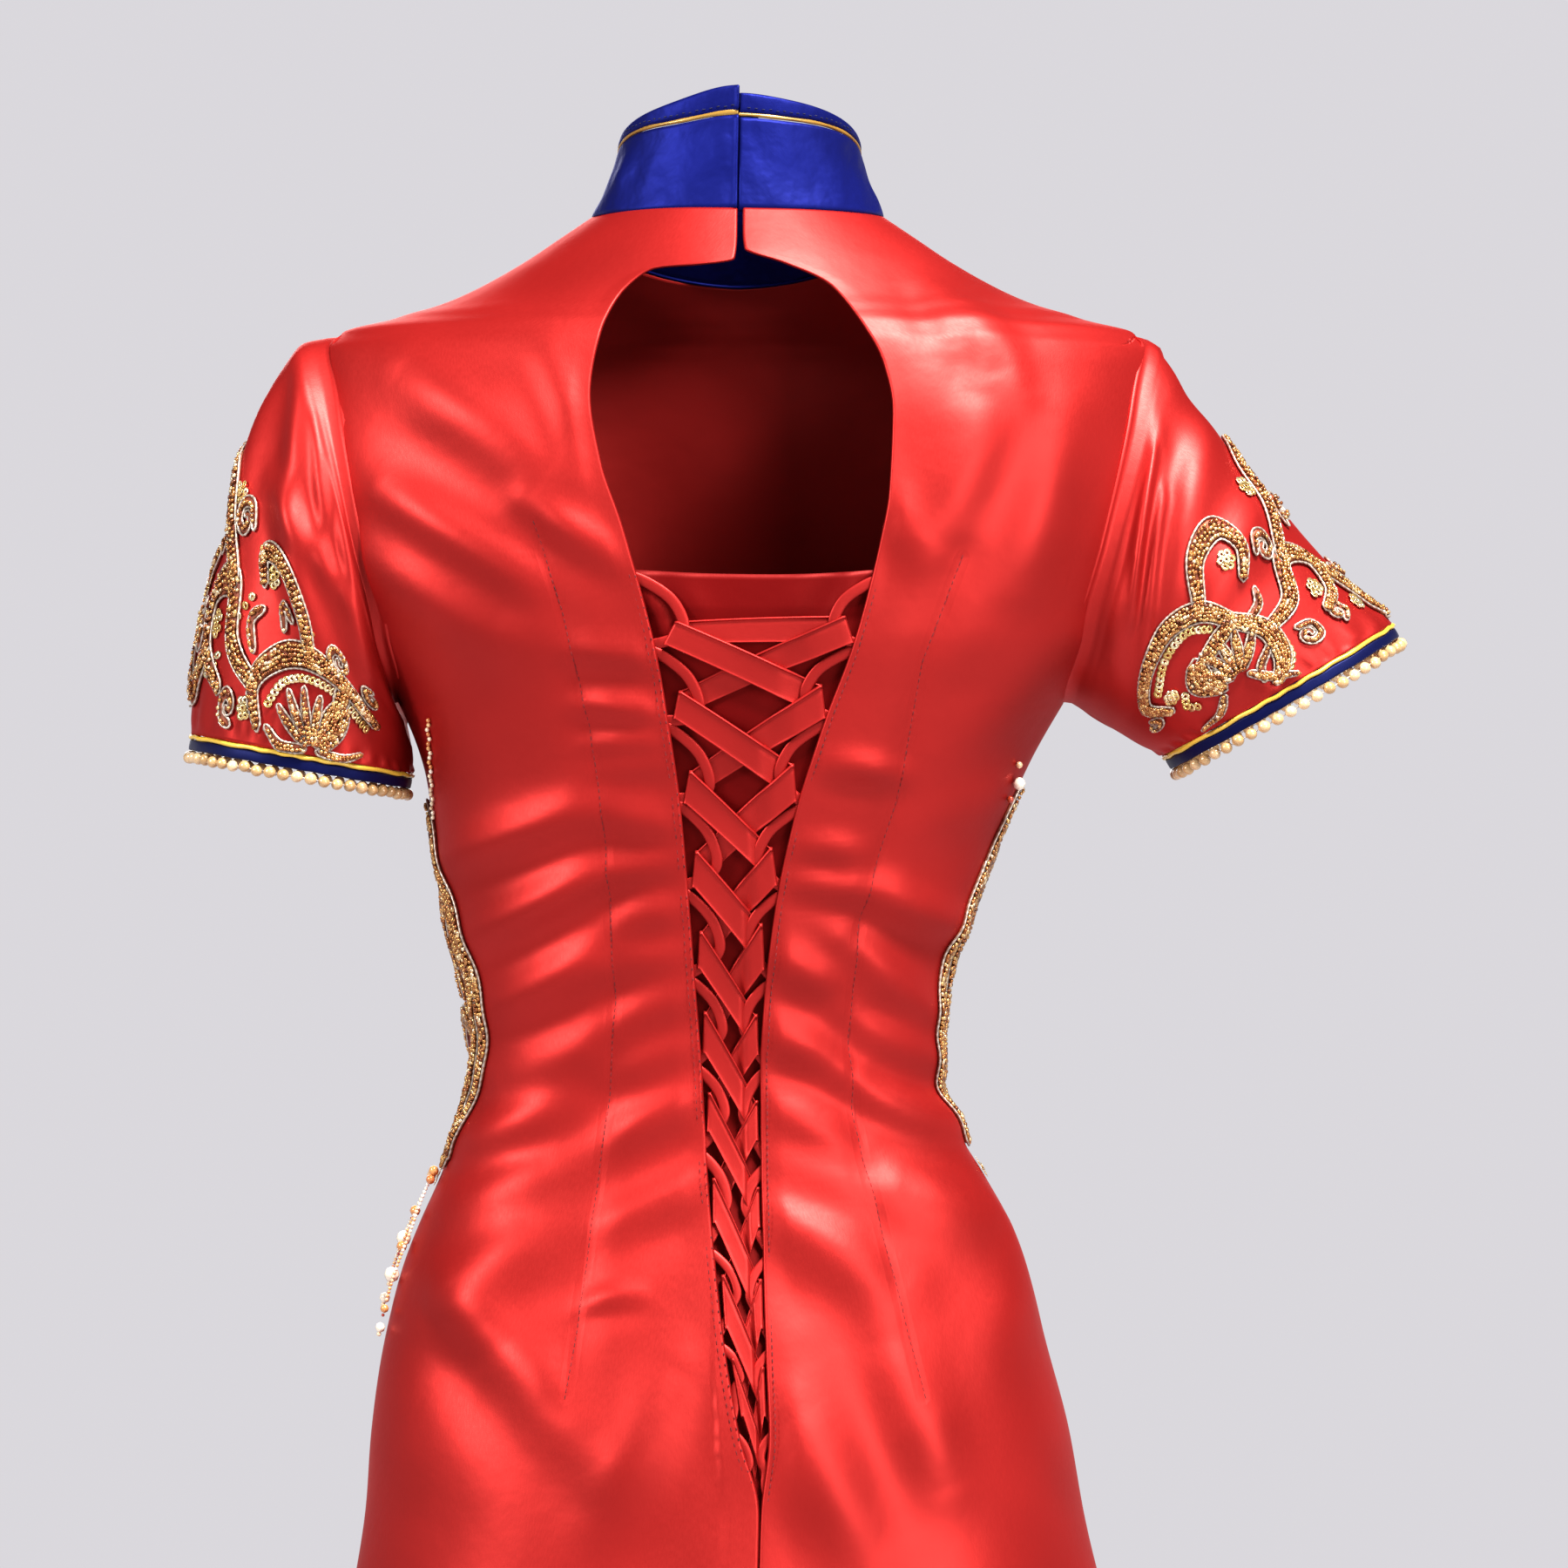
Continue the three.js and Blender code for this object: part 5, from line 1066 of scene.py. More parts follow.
# %% Cuffs
CUFF_PIPING = 1.6              # thickness of the piping
CUFF_BAND = 4.8                # height of the blue band
PEARL = 5.6                    # diameter of a pearl
PEARLS_PER_CUFF = 50
CUFF_STATIONS = 180
WIRE_STATIONS, WIRE_SIDES, WIRE_RADIUS = 120, 5, 0.35
RING_WEAVE = (2.1, 1.2)        # millimetres of cloth along and round a ring, for each face


def even_turns(ring_at, count):
    """Turns round a closed ring that lie an equal distance apart."""
    fine = np.linspace(0, 2 * np.pi, 721)
    reached = run_length(ring_at(fine)[None], 1)[0]
    goal = np.linspace(0, reached[-1], count, endpoint=False)
    return np.interp(goal, reached, fine)


def cuff(hand, shape):
    """Piping, band, pearls and their thread round the end of one sleeve."""
    section = shape["section"]
    across = np.array([(section["topX"](1) - section["lowX"](1)) / 2, 0,
                       (section["topZ"](1) - section["lowZ"](1)) / 2])
    depth = np.array([0, section["depth"](1), 0])
    leaving = unit(np.cross(across, depth))
    leaving = -leaving if leaving[2] > 0 else leaving
    centre = shape["centre"](np.array(1.0))

    def ring_point(turn, out, along):
        """A point round the cuff's oval, moved outwards and along the sleeve."""
        spoke = np.cos(turn)[..., None] * across + np.sin(turn)[..., None] * depth
        radius = np.linalg.norm(spoke, axis=-1, keepdims=True)
        out, along = np.asarray(out, float)[..., None], np.asarray(along, float)[..., None]
        return centre + spoke * (radius + out) / radius + leaving * along

    def ring(name, outline, material, slot, wobble):
        """An outline carried round the cuff. It wavers by wobble along the sleeve."""
        turn = np.linspace(0, 2 * np.pi, CUFF_STATIONS, endpoint=False)
        out, along = outline
        wave = wobble * np.sin(23 * turn + 3 * np.sin(4 * turn))[:, None]
        rings = ring_point(np.broadcast_to(turn[:, None], (len(turn), len(out))),
                           out[None] + wave * 0.5, along[None] + wave)
        size = (len(turn) + 1, len(out) + 1)
        uv = np.stack(np.meshgrid(*(np.arange(n) * step for n, step in zip(size, RING_WEAVE)),
                                  indexing="ij"), -1)
        piece = make_piece(name, rings, close_tube(rings, True), material, slot, uv,
                           grid_faces(*size), seam_distance=no_seam(rings))
        turn_out(piece)
        return piece

    piping_at = SEAM_GAP + CUFF_PIPING / 2
    band_from = piping_at + CUFF_PIPING / 2 + SEAM_GAP
    pearl_at = band_from + CUFF_BAND + SEAM_GAP + PEARL / 2
    turn = circle(8)
    outline = (-0.2 + 1.1 * np.cos(turn), piping_at + 1.0 * np.sin(turn))
    piping = ring(f"cuff_piping_{hand}_cord", outline, satin_gold, "gold_piping", wobble=0.25)
    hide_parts(f"cuff_piping_{hand}")
    turn = circle(12)
    outline = (-0.7 + 0.7 * signed_power(np.cos(turn), 0.5),
               band_from + CUFF_BAND / 2 + (CUFF_BAND / 2) * signed_power(np.sin(turn), 0.6))
    # painted shade: the band's blue is painted darker than the collar's, as shade between piping
    # and pearls
    band = ring(f"cuff_band_{hand}_cloth", outline, satin_blue_painted_shade, "blue_satin", wobble=0.12)
    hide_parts(f"cuff_band_{hand}")
    girth = run_length(ring_point(np.linspace(0, 2 * np.pi, 400), 0.0, band_from)[None], 1)[0, -1]

    turn = even_turns(lambda t: ring_point(t, -1.0, pearl_at), PEARLS_PER_CUFF)
    origins = ring_point(turn, -1.0, pearl_at + 0.3 * random.standard_normal(PEARLS_PER_CUFF))
    along = unit(np.roll(origins, -1, 0) - np.roll(origins, 1, 0))
    frames = np.stack([along, unit(np.cross(along, leaving)),
                       np.broadcast_to(leaving, along.shape)], 1)
    swell = random.uniform(0.95, 1.03, (PEARLS_PER_CUFF, 1))
    size = np.full((PEARLS_PER_CUFF, 3), PEARL / 2) * swell
    pearls, faces = scatter(PEARL_BALL, origins, frames, size)
    tint = np.repeat(random.uniform(0.2, 1, PEARLS_PER_CUFF), len(PEARL_BALL[0]))
    piece = make_piece(f"cuff_pearls_{hand}_string", pearls, faces, pearl_lacquer, "pearls",
                       tint=tint)
    turn_out(piece)
    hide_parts(f"cuff_pearls_{hand}")
    stations = np.linspace(0, 2 * np.pi, WIRE_STATIONS, endpoint=False)[:, None]
    stations, turn = np.broadcast_arrays(stations, circle(WIRE_SIDES)[None])
    wire = ring_point(stations, -1 + WIRE_RADIUS * np.cos(turn),
                      pearl_at + WIRE_RADIUS * np.sin(turn))
    thread = make_piece(f"cuff_thread_{hand}", wire, close_tube(wire, True), silver_cord,
                        "pearls", tint=np.full(wire.shape[:2], 0.6))
    turn_out(thread)
    print("cuff", hand, "girth", round(float(girth)), "mm, pearls", PEARLS_PER_CUFF)


for hand, shape in sleeves.items():
    cuff(hand, shape)

# %% [markdown]
# The stand collar is a band of blue satin over stiff interlining. It leans in from the neck seam
# to its rim, which is bound with the same satin, and gold piping is caught under the binding.
# It opens at the centre back, where its two ends meet. Interlined satin ripples softly.

# %% Collar
COLLAR = {"top_half": 54.5, "top_back": 44, "top_front": 46, "side_height": 34, "tilt": 17,
          "binding_side": 4, "waisting": 1.6, "opening": -0.8}
COLLAR_CORE = (0, 0, 20)       # a point inside the neck, from which its faces look away
COLLAR_PIPING = 1.8
COLLAR_WALL = 1.8
UNDERLAP_WALL = 0.8
LEFT_END = {"rise": 5.0, "reach": 0.42, "gap": 0.1, "binding": 7}
RIGHT_END = {"rise": 1.4, "reach": 0.3, "gap": 0.15, "binding": 4.5}


def neckline_z(angle):
    """The neck seam is level at the back and drops towards the centre front."""
    return np.where(np.cos(angle) > 0, 0, -NECK_DROP_FRONT * np.cos(angle) ** 2)


def end_rise(angle):
    """The rim rises to a point at each end: rise * exp(-(angle from the end / reach)^2)."""
    left = LEFT_END["rise"] * np.exp(-(angle / LEFT_END["reach"]) ** 2)
    return left + RIGHT_END["rise"] * np.exp(-((2 * np.pi - angle) / RIGHT_END["reach"]) ** 2)


def collar_point(angle, share, out):
    """A straight line from the neck seam to the rim at each angle, curved in by its waisting."""
    angle, share, out = np.broadcast_arrays(*(np.asarray(v, float) for v in (angle, share, out)))
    base = form_point(angle, neckline_z(angle)) + np.array([0, 0, SEAM_GAP])
    rear = np.cos(angle)
    top = np.stack([COLLAR["top_half"] * np.sin(angle) + COLLAR["opening"],
                    rear * np.where(rear > 0, COLLAR["top_back"], COLLAR["top_front"]),
                    COLLAR["side_height"] + COLLAR["tilt"] * rear + end_rise(angle)], -1)
    outward = np.stack([np.sin(angle), rear, np.zeros(angle.shape)], -1)
    bow = out - COLLAR["waisting"] * np.sin(np.pi * share)
    return lerp(base, top, share[..., None]) + outward * bow[..., None]


def collar_height(angle):
    """Distance from the neck seam to the rim."""
    return np.linalg.norm(collar_point(angle, 1, 0) - collar_point(angle, 0, 0), axis=-1)


def binding_share(angle):
    """Share of the collar's height at which its binding starts. It is widest at both ends."""
    end = np.where(np.sin(angle) >= 0, LEFT_END["binding"], RIGHT_END["binding"])
    width = COLLAR["binding_side"] + end * np.maximum(0, np.cos(angle)) ** 3
    return 1 - width / collar_height(angle)


collar_start = LEFT_END["gap"] / COLLAR["top_back"]
collar_end = 2 * np.pi - RIGHT_END["gap"] / COLLAR["top_back"]
collar_angles = lerp(collar_start, collar_end, crowded_shares(150))
RIPPLE_LONG, RIPPLE_HIGH = 0.35, 0.5


def collar_strip(name, node, low, high, rows, lift, bulge, slot_name):
    """A strip of the collar between two shares of its height, thickened inwards. Its lower edge
    turns in behind what it is sewn to."""
    share = np.linspace(0, 1, rows)[:, None]
    angle = np.broadcast_to(collar_angles[None], (rows, len(collar_angles)))
    at = lerp(low(collar_angles)[None], high(collar_angles)[None], share)
    wave = slow_waves(angle * 60 / RIPPLE_LONG, at * 45 / RIPPLE_LONG, 31, RIPPLE_HIGH)
    plump = 0.5 * np.maximum(np.sin(np.pi * share), 0) ** 0.5
    fold = 0.9 * np.exp(-((angle - collar_start) * COLLAR["top_back"] / 1.1) ** 2)
    roll = rolled((collar_end - angle) * COLLAR["top_back"])
    points = collar_point(angle, at, lift + wave * np.sin(np.pi * share) * bulge + plump
                          + fold - roll)
    tucks = [collar_point(collar_angles, at[0] - 0.02 * k, lift - 1.1 * k) for k in (2, 1)]
    points = np.concatenate([np.stack(tucks), points])
    faces = turn_away(points, grid_faces(*points.shape[:2]), COLLAR_CORE)
    piece = make_piece(name, points, faces, satin_blue, slot_name, flat_map(points), faces,
                       seam_distance=no_seam(points))
    thicken(piece, COLLAR_WALL)
    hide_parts(node)
    width = float(run_length(points, 0)[-1].max() * MM)
    length = float(run_length(points, 1)[:, -1].max() * MM)
    print(name, "flat", round(length, 3), "x", round(width, 3))


def share_of(angle, length):
    """A length as a share of the collar's height."""
    return length / collar_height(angle)


def piping_share(angle):
    """Share of the collar's height at which the middle of the piping lies."""
    return binding_share(angle) - share_of(angle, SEAM_GAP + COLLAR_PIPING / 2)


collar_strip("collar_cloth", "collar", lambda a: 0 * a,
             lambda a: piping_share(a) - share_of(a, COLLAR_PIPING / 2 + SEAM_GAP), 26, 0.0, 1.0,
             "blue_satin")
collar_strip("collar_binding_cloth", "collar_binding", binding_share, lambda a: 1 + 0 * a, 9, 0.3,
             0.3, "blue_satin")


def collar_piping():
    """The piping is a soft tube that thickens and flattens towards its left end."""
    turn = circle(8)
    angle = collar_angles[:, None]
    plump = 1 + 0.55 * np.exp(-(angle / 0.35) ** 2) + 0.15 * np.sin(17 * angle)
    up = COLLAR_PIPING / 2 * np.sin(turn)[None] * plump
    out = -0.4 + COLLAR_PIPING / 2 * np.cos(turn)[None] * np.ones_like(angle)
    place = piping_share(angle) + share_of(angle, up)
    rings = collar_point(angle + 0 * up, place, out)
    faces = close_tube(rings, False)
    piece = make_piece("collar_piping_cord", rings, faces, satin_gold, "gold_piping")
    turn_out(piece)
    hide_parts("collar_piping")
    print("collar piping", len(rings), "stations")


collar_piping()


def collar_underlap():
    """The underlap behind the opening, on which the hooks sit."""
    angle, share = np.broadcast_arrays(np.linspace(-0.17, 0.17, 9)[None],
                                       np.linspace(0.02, 0.93, 12)[:, None])
    bare = collar_point(np.where(angle < 0, angle + 2 * np.pi, angle), share, -COLLAR_WALL - 1.0)
    points = bare - np.array([0, 0, 4.0]) * share[..., None]
    faces = turn_away(points, grid_faces(*points.shape[:2]), COLLAR_CORE)
    # painted shade: the underlap uses the darker copy of the blue satin that stands for shade
    piece = make_piece("collar_underlap_cloth", points, faces, satin_blue_painted_shade, "blue_satin",
                       flat_map(points), faces, seam_distance=no_seam(points))
    thicken(piece, UNDERLAP_WALL)
    across, long = (np.ptp(flat_map(points).reshape(-1, 2), axis=0) * MM).tolist()
    print(f"collar underlap {across:.3f} x {long:.3f}")


collar_underlap()

# %% [markdown]
# The back is laced like a corset. Loops of rouleau, narrow tubes of bias satin, stand out from
# under both lacing edges, and a flat satin lace zigzags through them. Each stretch of lace
# arrives low under a loop, folds round it and leaves high over its tip, so the stretches from
# the left always cross over those from the right. Both are strips carried along a path on the
# back, with rounded edges.

# %% Strips on the back
def smooth_path(points, count):
    """Centripetal Catmull-Rom curve through points: its places and unit tangents."""
    points = np.asarray(points, float)
    padded = np.concatenate([[2 * points[0] - points[1]], points, [2 * points[-1] - points[-2]]])
    at = np.linspace(0, len(points) - 1, count)
    i = np.minimum(at.astype(int), len(points) - 2)
    w = (at - i)[:, None]
    p0, p1, p2, p3 = (padded[i + k] for k in range(4))
    gap = [np.maximum(np.linalg.norm(b - a, axis=-1), 1e-6)[:, None] ** 0.5
           for a, b in ((p0, p1), (p1, p2), (p2, p3))]
    t1 = ((p1 - p0) / gap[0] - (p2 - p0) / (gap[0] + gap[1]) + (p2 - p1) / gap[1]) * gap[1]
    t2 = ((p2 - p1) / gap[1] - (p3 - p1) / (gap[1] + gap[2]) + (p3 - p2) / gap[2]) * gap[1]
    c2, c3 = -3 * p1 + 3 * p2 - 2 * t1 - t2, 2 * p1 - 2 * p2 + t1 + t2
    return p1 + t1 * w + c2 * w ** 2 + c3 * w ** 3, unit(t1 + 2 * c2 * w + 3 * c3 * w ** 2)


def flat_outline(sides, thick, squareness=0.55):
    """Outline of a strip: across from -1 to 1 and up in millimetres, with rounded rims."""
    turn = circle(sides, 0.5)
    return signed_power(np.cos(turn), squareness), thick / 2 * signed_power(np.sin(turn), 0.75)


def strip_rings(surface, a, b, da, db, height, outline):
    """Rings of a strip on a surface: centre (a, b), half step across (da, db) and height."""
    across, up = outline
    return surface(a[:, None] + da[:, None] * across, b[:, None] + db[:, None] * across,
                   height[:, None] + up)


TURN_COLUMNS = "x z x2 z2"
LEFT_TURNS = table(TURN_COLUMNS, [
    (25.9, -187.8, 31.4, -198.5), (24.5, -219, 27.2, -231.3), (19.9, -254.6, 22.7, -269.2),
    (17.3, -290.3, 19, -306.7), (15.4, -326.3, 16.6, -343.1), (13.6, -362.3, 14.4, -381),
    (11.8, -398.3, 12.4, -416), (9.8, -436, 9.6, -456), (5.6, -478.1, 4, -502),
    (1.2, -514, -3.4, -540), (-5.2, -553, -8.4, -569),
])
RIGHT_TURNS = table(TURN_COLUMNS, [
    (-47.5, -185.4, -51.4, -197.7), (-37.1, -216.3, -39, -231.3), (-24.6, -251.5, -26, -268.5),
    (-15, -288.8, -17.4, -306), (-10.6, -322.8, -11.8, -344), (-8.3, -363.5, -9.2, -382),
    (-8.6, -401.9, -8.8, -420), (-9.2, -440, -9.8, -458), (-10.4, -480, -11, -502),
    (-11.4, -518, -12.4, -540), (-12.4, -553, -11.6, -567),
])
LACE_THICK = 0.9
LACE_LOW, LACE_HIGH = -4.3, -1.6          # heights over the form, under and over a loop
FOLD_RADIUS = 1.3              # how far the folded edge stands out
BAND_STATIONS, FOLD_STATIONS = 26, 9


def turn_corners(stop):
    """Upper and lower corner of the lace where it folds at a stop, (side, number)."""
    side, k = stop
    turns = LEFT_TURNS if side == "left" else RIGHT_TURNS
    return np.array([[turns["x"][k], turns["z"][k]], [turns["x2"][k], turns["z2"][k]]])


def lace_outline():
    """Section of the lace: flat, with a rolled upper edge, a crease under it and a fine lower
    edge. Each is a bell, height * exp(-((across - place) / width)^2)."""
    across = np.array([-1, -0.98, -0.95, -0.91, -0.87, -0.83, -0.78, -0.72, -0.6, -0.3, 0, 0.3,
                       0.6, 0.8, 0.9, 0.95, 0.98, 1])
    up = LACE_THICK / 2 - 0.18 * (1 - across ** 2)
    for place, wide, high in ((-0.9, 0.08, 0.75), (-0.74, 0.06, -0.25), (0.95, 0.05, 0.3)):
        up = up + high * np.exp(-((across - place) / wide) ** 2)
    up[[0, -1]] = 0
    below = np.array([0.7, 0.2, -0.3, -0.8])
    return np.concatenate([across, below]), np.concatenate([up, np.full(4, -LACE_THICK / 2)])


def lace_strip(stops, bar):
    """Corners and heights along a lace that folds at each stop."""
    tops, lows, heights = [], [], []
    s = np.linspace(0, 1, BAND_STATIONS)
    over = lerp(LACE_HIGH, LACE_LOW, smoothstep(s, 0.7, 0.88))
    under = lerp(LACE_HIGH, LACE_LOW, smoothstep(s, 0.2, 0.4))
    for i, (here, there) in enumerate(zip(stops[:-1], stops[1:])):
        start, end = turn_corners(here), turn_corners(there)
        if i or not bar:
            phase = np.linspace(0, np.pi, FOLD_STATIONS)[1:-1]
            out = (1 if here[0] == "left" else -1) * FOLD_RADIUS * np.sin(phase)[:, None]
            tops.append(start[0] + out * [[1, 0]])
            lows.append(start[1] + out * [[1, 0]])
            heights.append(lerp(LACE_LOW, LACE_HIGH, (1 - np.cos(phase)) / 2))
        bow = (0.5 * np.sin(np.pi * s))[:, None] * [[0, 1]]
        tops.append(lerp(start[0], end[0], s[:, None]) + bow)
        lows.append(lerp(start[1], end[1], s[:, None]) + bow)
        level = np.full(BAND_STATIONS, LACE_LOW)
        heights.append(level if bar and i == 0 else over if here[0] == "left" else under)
    top, low, height = np.concatenate(tops), np.concatenate(lows), np.concatenate(heights)
    middle, half = (top + low) / 2, (low - top) / 2
    return strip_rings(back_point, middle[:, 0], middle[:, 1], half[:, 0], half[:, 1], height,
                       lace_outline())


def make_strips(name, strips, material, slot, node):
    """Several closed strips as one piece, with cloth coordinates along and round them."""
    points, faces = join([(rings, close_tube(rings, False)) for rings in strips])
    uv = np.concatenate([
        np.stack([np.broadcast_to(run_length(r, 1), r.shape[:2]),
                  np.broadcast_to(run_length(r[:, :1], 0), r.shape[:2])], -1).reshape(-1, 2)
        for r in strips])
    corner = np.concatenate([np.asarray(face) for face in faces])
    piece = make_piece(name, points, faces, material, slot, uv, corner,
                       seam_distance=np.full(len(points), FAR))
    turn_out(piece)
    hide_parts(node)
    return piece


pairs = len(LEFT_TURNS["x"])
other = {"left": "right", "right": "left"}


def zigzag(side, first, last):
    """Stops from one pair of loops to the next, on alternate sides."""
    stops = []
    for k in range(first, last):
        stops.append((side, k))
        side = other[side]
    return stops


lace_strips = [lace_strip([("left", 0)] + zigzag("right", 0, pairs), bar=True),
               lace_strip(zigzag("left", 0, pairs), bar=False)]
lace = make_strips("lace_tape", lace_strips, satin_red, "red_satin", "lace")
lace_length = sum(float(run_length(r.mean(1)[None], 1)[0, -1]) for r in lace_strips)
print("lace shows", round(lace_length), "mm")

# %% [markdown]
# A rouleau is a narrow tube of bias satin, turned inside out and pressed flat. Each loop leaves
# the edge at its root, bends round its tip at x, z and goes back under the edge below. The loops'
# ends are sewn to a tape behind the edge.

# %% Rouleau loops
LOOP_COLUMNS = "root x z"
LEFT_LOOPS = table(LOOP_COLUMNS, [
    (-167.3, 23.4, -189.5), (-200.5, 16.6, -225.4), (-234, 12, -260), (-268.9, 8.7, -295),
    (-308.3, 7.4, -333), (-347.8, 6.4, -370), (-387.4, 5.4, -407), (-425, 4.4, -446),
    (-467, -0.4, -486), (-508, -2, -522), (-546, -6, -560),
])
RIGHT_LOOPS = table(LOOP_COLUMNS, [
    (-169.2, -43.6, -188.3), (-200.4, -31, -220.4), (-232.9, -19.4, -256), (-271.3, -9.6, -294),
    (-309.5, -5, -331), (-349.4, -3.4, -369), (-388.6, -3.2, -408), (-430.6, -4.4, -448),
    (-469.9, -6, -487), (-510.2, -8.4, -525), (-546, -11, -558),
])
LOOP_WIDE, LOOP_THICK, LOOP_HEIGHT = 5.2, 1.6, -3.0
SLIM_LOOPS_Z, SLIM = -440, 0.8 # below that height the loops are pulled narrower
LOOP_TAPE = {"wide": 5, "thick": 1.3, "inset": 1, "height": -3.15}
TAPE_STATIONS = 60


def loop_rings(root, x, z, next_root, side, edge_at):
    """One loop: out from under the edge, down to its tip, round it and back under the edge."""
    start, back = edge_at(root) + side * 4, edge_at(next_root) + side * 4
    reach, drop = x - start, z - root
    path = [
        (start, root, LOOP_HEIGHT), (start + 0.35 * reach, root + 0.16 * drop, LOOP_HEIGHT),
        (start + 0.8 * reach, root + 0.52 * drop, LOOP_HEIGHT), (x, z, LOOP_HEIGHT),
        (x + side * 2.2, z - 5.2, LOOP_HEIGHT - 0.2),
        (lerp(x, back, 0.5), lerp(z - 8, next_root + 4, 0.4), LOOP_HEIGHT - 0.3),
        (back, next_root + 1.5, LOOP_HEIGHT - 0.3),
    ]
    place, way = smooth_path(path, 46)
    flat = unit(way[:, :2])
    half = LOOP_WIDE / 2 * (1 if root > SLIM_LOOPS_Z else SLIM)
    return strip_rings(back_point, place[:, 0], place[:, 1], -flat[:, 1] * half,
                       flat[:, 0] * half, place[:, 2], flat_outline(12, LOOP_THICK, 0.8))


def loop_row(name, node, loops, side, edge_at):
    """All loops of one edge with their tape."""
    roots = np.append(loops["root"], loops["root"][-1] - 34)
    strips = [loop_rings(root, x, z, roots[k + 1], side, edge_at)
              for k, (root, x, z) in enumerate(zip(*loops.values()))]
    z = np.linspace(roots[0] + 5, roots[-2] - 6, TAPE_STATIONS)
    middle = edge_at(z) + side * (LOOP_TAPE["wide"] / 2 + LOOP_TAPE["inset"])
    half = np.full(TAPE_STATIONS, LOOP_TAPE["wide"] / 2)
    strips.append(strip_rings(back_point, middle, z, half, 0 * half,
                              np.full(TAPE_STATIONS, LOOP_TAPE["height"]),
                              flat_outline(12, LOOP_TAPE["thick"])))
    make_strips(name, strips, satin_red, "red_satin", node)
    print(name, len(strips) - 1, "loops")


loop_row("loops_left_rouleau", "loops_left", LEFT_LOOPS, 1, left_edge_x)
loop_row("loops_right_rouleau", "loops_right", RIGHT_LOOPS, -1, right_edge_x)

# %% [markdown]
# The bead work is embroidered on net and applied to the satin: scrolls, hooks and a lotus, each
# outlined with a silver cord and filled with rows of gold and copper seed beads, bugle beads and
# a few sequins. Each scroll is a band, wide in its middle and narrow at its ends, along a path on
# the unrolled cloth. It gets a net, rows of beads and a cord, and all of them follow its folds.

# %% Bead work on a surface
BEAD = 1.9                     # length and diameter of a seed bead
BUGLE = 3.6                    # length of a bugle bead
BUGLE_SHARE = 0.15             # share of the beads that are bugle beads
CORD = 0.55                    # radius of the outline cord
NET_LOW, NET_HIGH = 0.35, 1.5  # height of the net at its edge and at its middle
ROW_PITCH = 2.15               # distance between rows of beads


def band_half_width(share, wide):
    """Half a band's width along its path: wide / 2 * (0.45 + 0.55 * a sine)."""
    return wide / 2 * (0.45 + 0.55 * np.sin(np.pi * (0.15 + 0.8 * share)))


def evened(path, spacing):
    """Points an equal distance apart on a smooth path, their tangents and their shares."""
    place, _ = smooth_path(path, 240)
    reached = run_length(place[None], 1)[0]
    count = max(int(reached[-1] / spacing), 2)
    goal = np.linspace(0, reached[-1], count)
    even = np.stack([np.interp(goal, reached, place[:, k]) for k in range(place.shape[1])], -1)
    return even, unit(np.gradient(even, axis=0)), goal / reached[-1]


def left_of(way):
    """The direction to the left of each direction in the plane."""
    return np.stack([-way[:, 1], way[:, 0]], -1)


def surface_frames(surface, plane, way, height):
    """Origins and frames on a surface: along the way, across it and out of the surface."""
    step = 0.8
    origin = surface(plane, height)
    along = unit(surface(plane + way * step, height) - surface(plane - way * step, height))
    up = unit(surface(plane, height + 1.0) - surface(plane, height - 1.0))
    across = unit(np.cross(up, along))
    return origin, np.stack([along, across, unit(np.cross(along, across))], 1)


def band_beads(surface, path, wide):
    """Rows of beads side by side that fill a band, in order of its width at each place."""
    rows = max(int(round(wide / ROW_PITCH)), 2)
    origins, frames, sizes, tints = [], [], [], []
    for row in range(rows):
        offset = (row + 0.5) / rows * 2 - 1
        place, way, share = evened(path, BEAD * 1.08)
        half = band_half_width(share, wide) - 0.9
        normal = left_of(way)
        jitter = 0.22 * random.standard_normal((len(place), 2))
        plane = place + normal * (offset * half)[:, None] + jitter
        keep = (np.abs(offset) * half + 0.3 < half) & (random.random(len(place)) < 0.96)
        keep &= (half > 1.4) | (row == rows // 2)
        turn = 0.3 * random.standard_normal(len(place))
        bent = way * np.cos(turn)[:, None] + normal * np.sin(turn)[:, None]
        crown = NET_HIGH + 0.55 + 0.5 * (1 - offset ** 2)
        crown = crown + 0.15 * random.standard_normal(len(place))
        origin, axes = surface_frames(surface, plane, bent, crown)
        long = np.where(random.random(len(place)) < BUGLE_SHARE, BUGLE, BEAD)
        thick = np.full(len(place), BEAD / 2)
        size = np.stack([long * 0.95, thick, thick], -1)
        origins.append(origin[keep])
        frames.append(axes[keep])
        sizes.append((size * random.uniform(0.85, 1.08, (len(place), 1)))[keep])
        tints.append(random.beta(1.6, 1.5, len(place))[keep])
    return [np.concatenate(v) for v in (origins, frames, sizes, tints)]


def band_net(surface, path, wide):
    """The net under the beads: a domed strip with thin edges."""
    place, way, share = evened(path, 3.0)
    half = band_half_width(share, wide)
    normal = left_of(way)
    across = np.linspace(-1, 1, 7)
    dome = np.concatenate([lerp(NET_LOW, NET_HIGH, 1 - across ** 4), np.full(5, 0.1)])
    across = np.concatenate([across, across[1:-1][::-1]])
    plane = place[:, None] + (normal * half[:, None])[:, None] * across[None, :, None]
    rings = surface(plane, np.broadcast_to(dome, plane.shape[:2]))
    return rings, close_tube(rings, False)


def band_outline(path, wide):
    """The closed outline of a band, down one side and back up the other, on the plane."""
    place, way, share = evened(path, 1.6)
    normal = left_of(way)
    half = band_half_width(share, wide)[:, None]
    tip = 0.25 * wide
    ends = [place[:1] - way[:1] * tip, place[-1:] + way[-1:] * tip]
    return np.concatenate([ends[0], place + normal * half, ends[1], (place - normal * half)[::-1]])


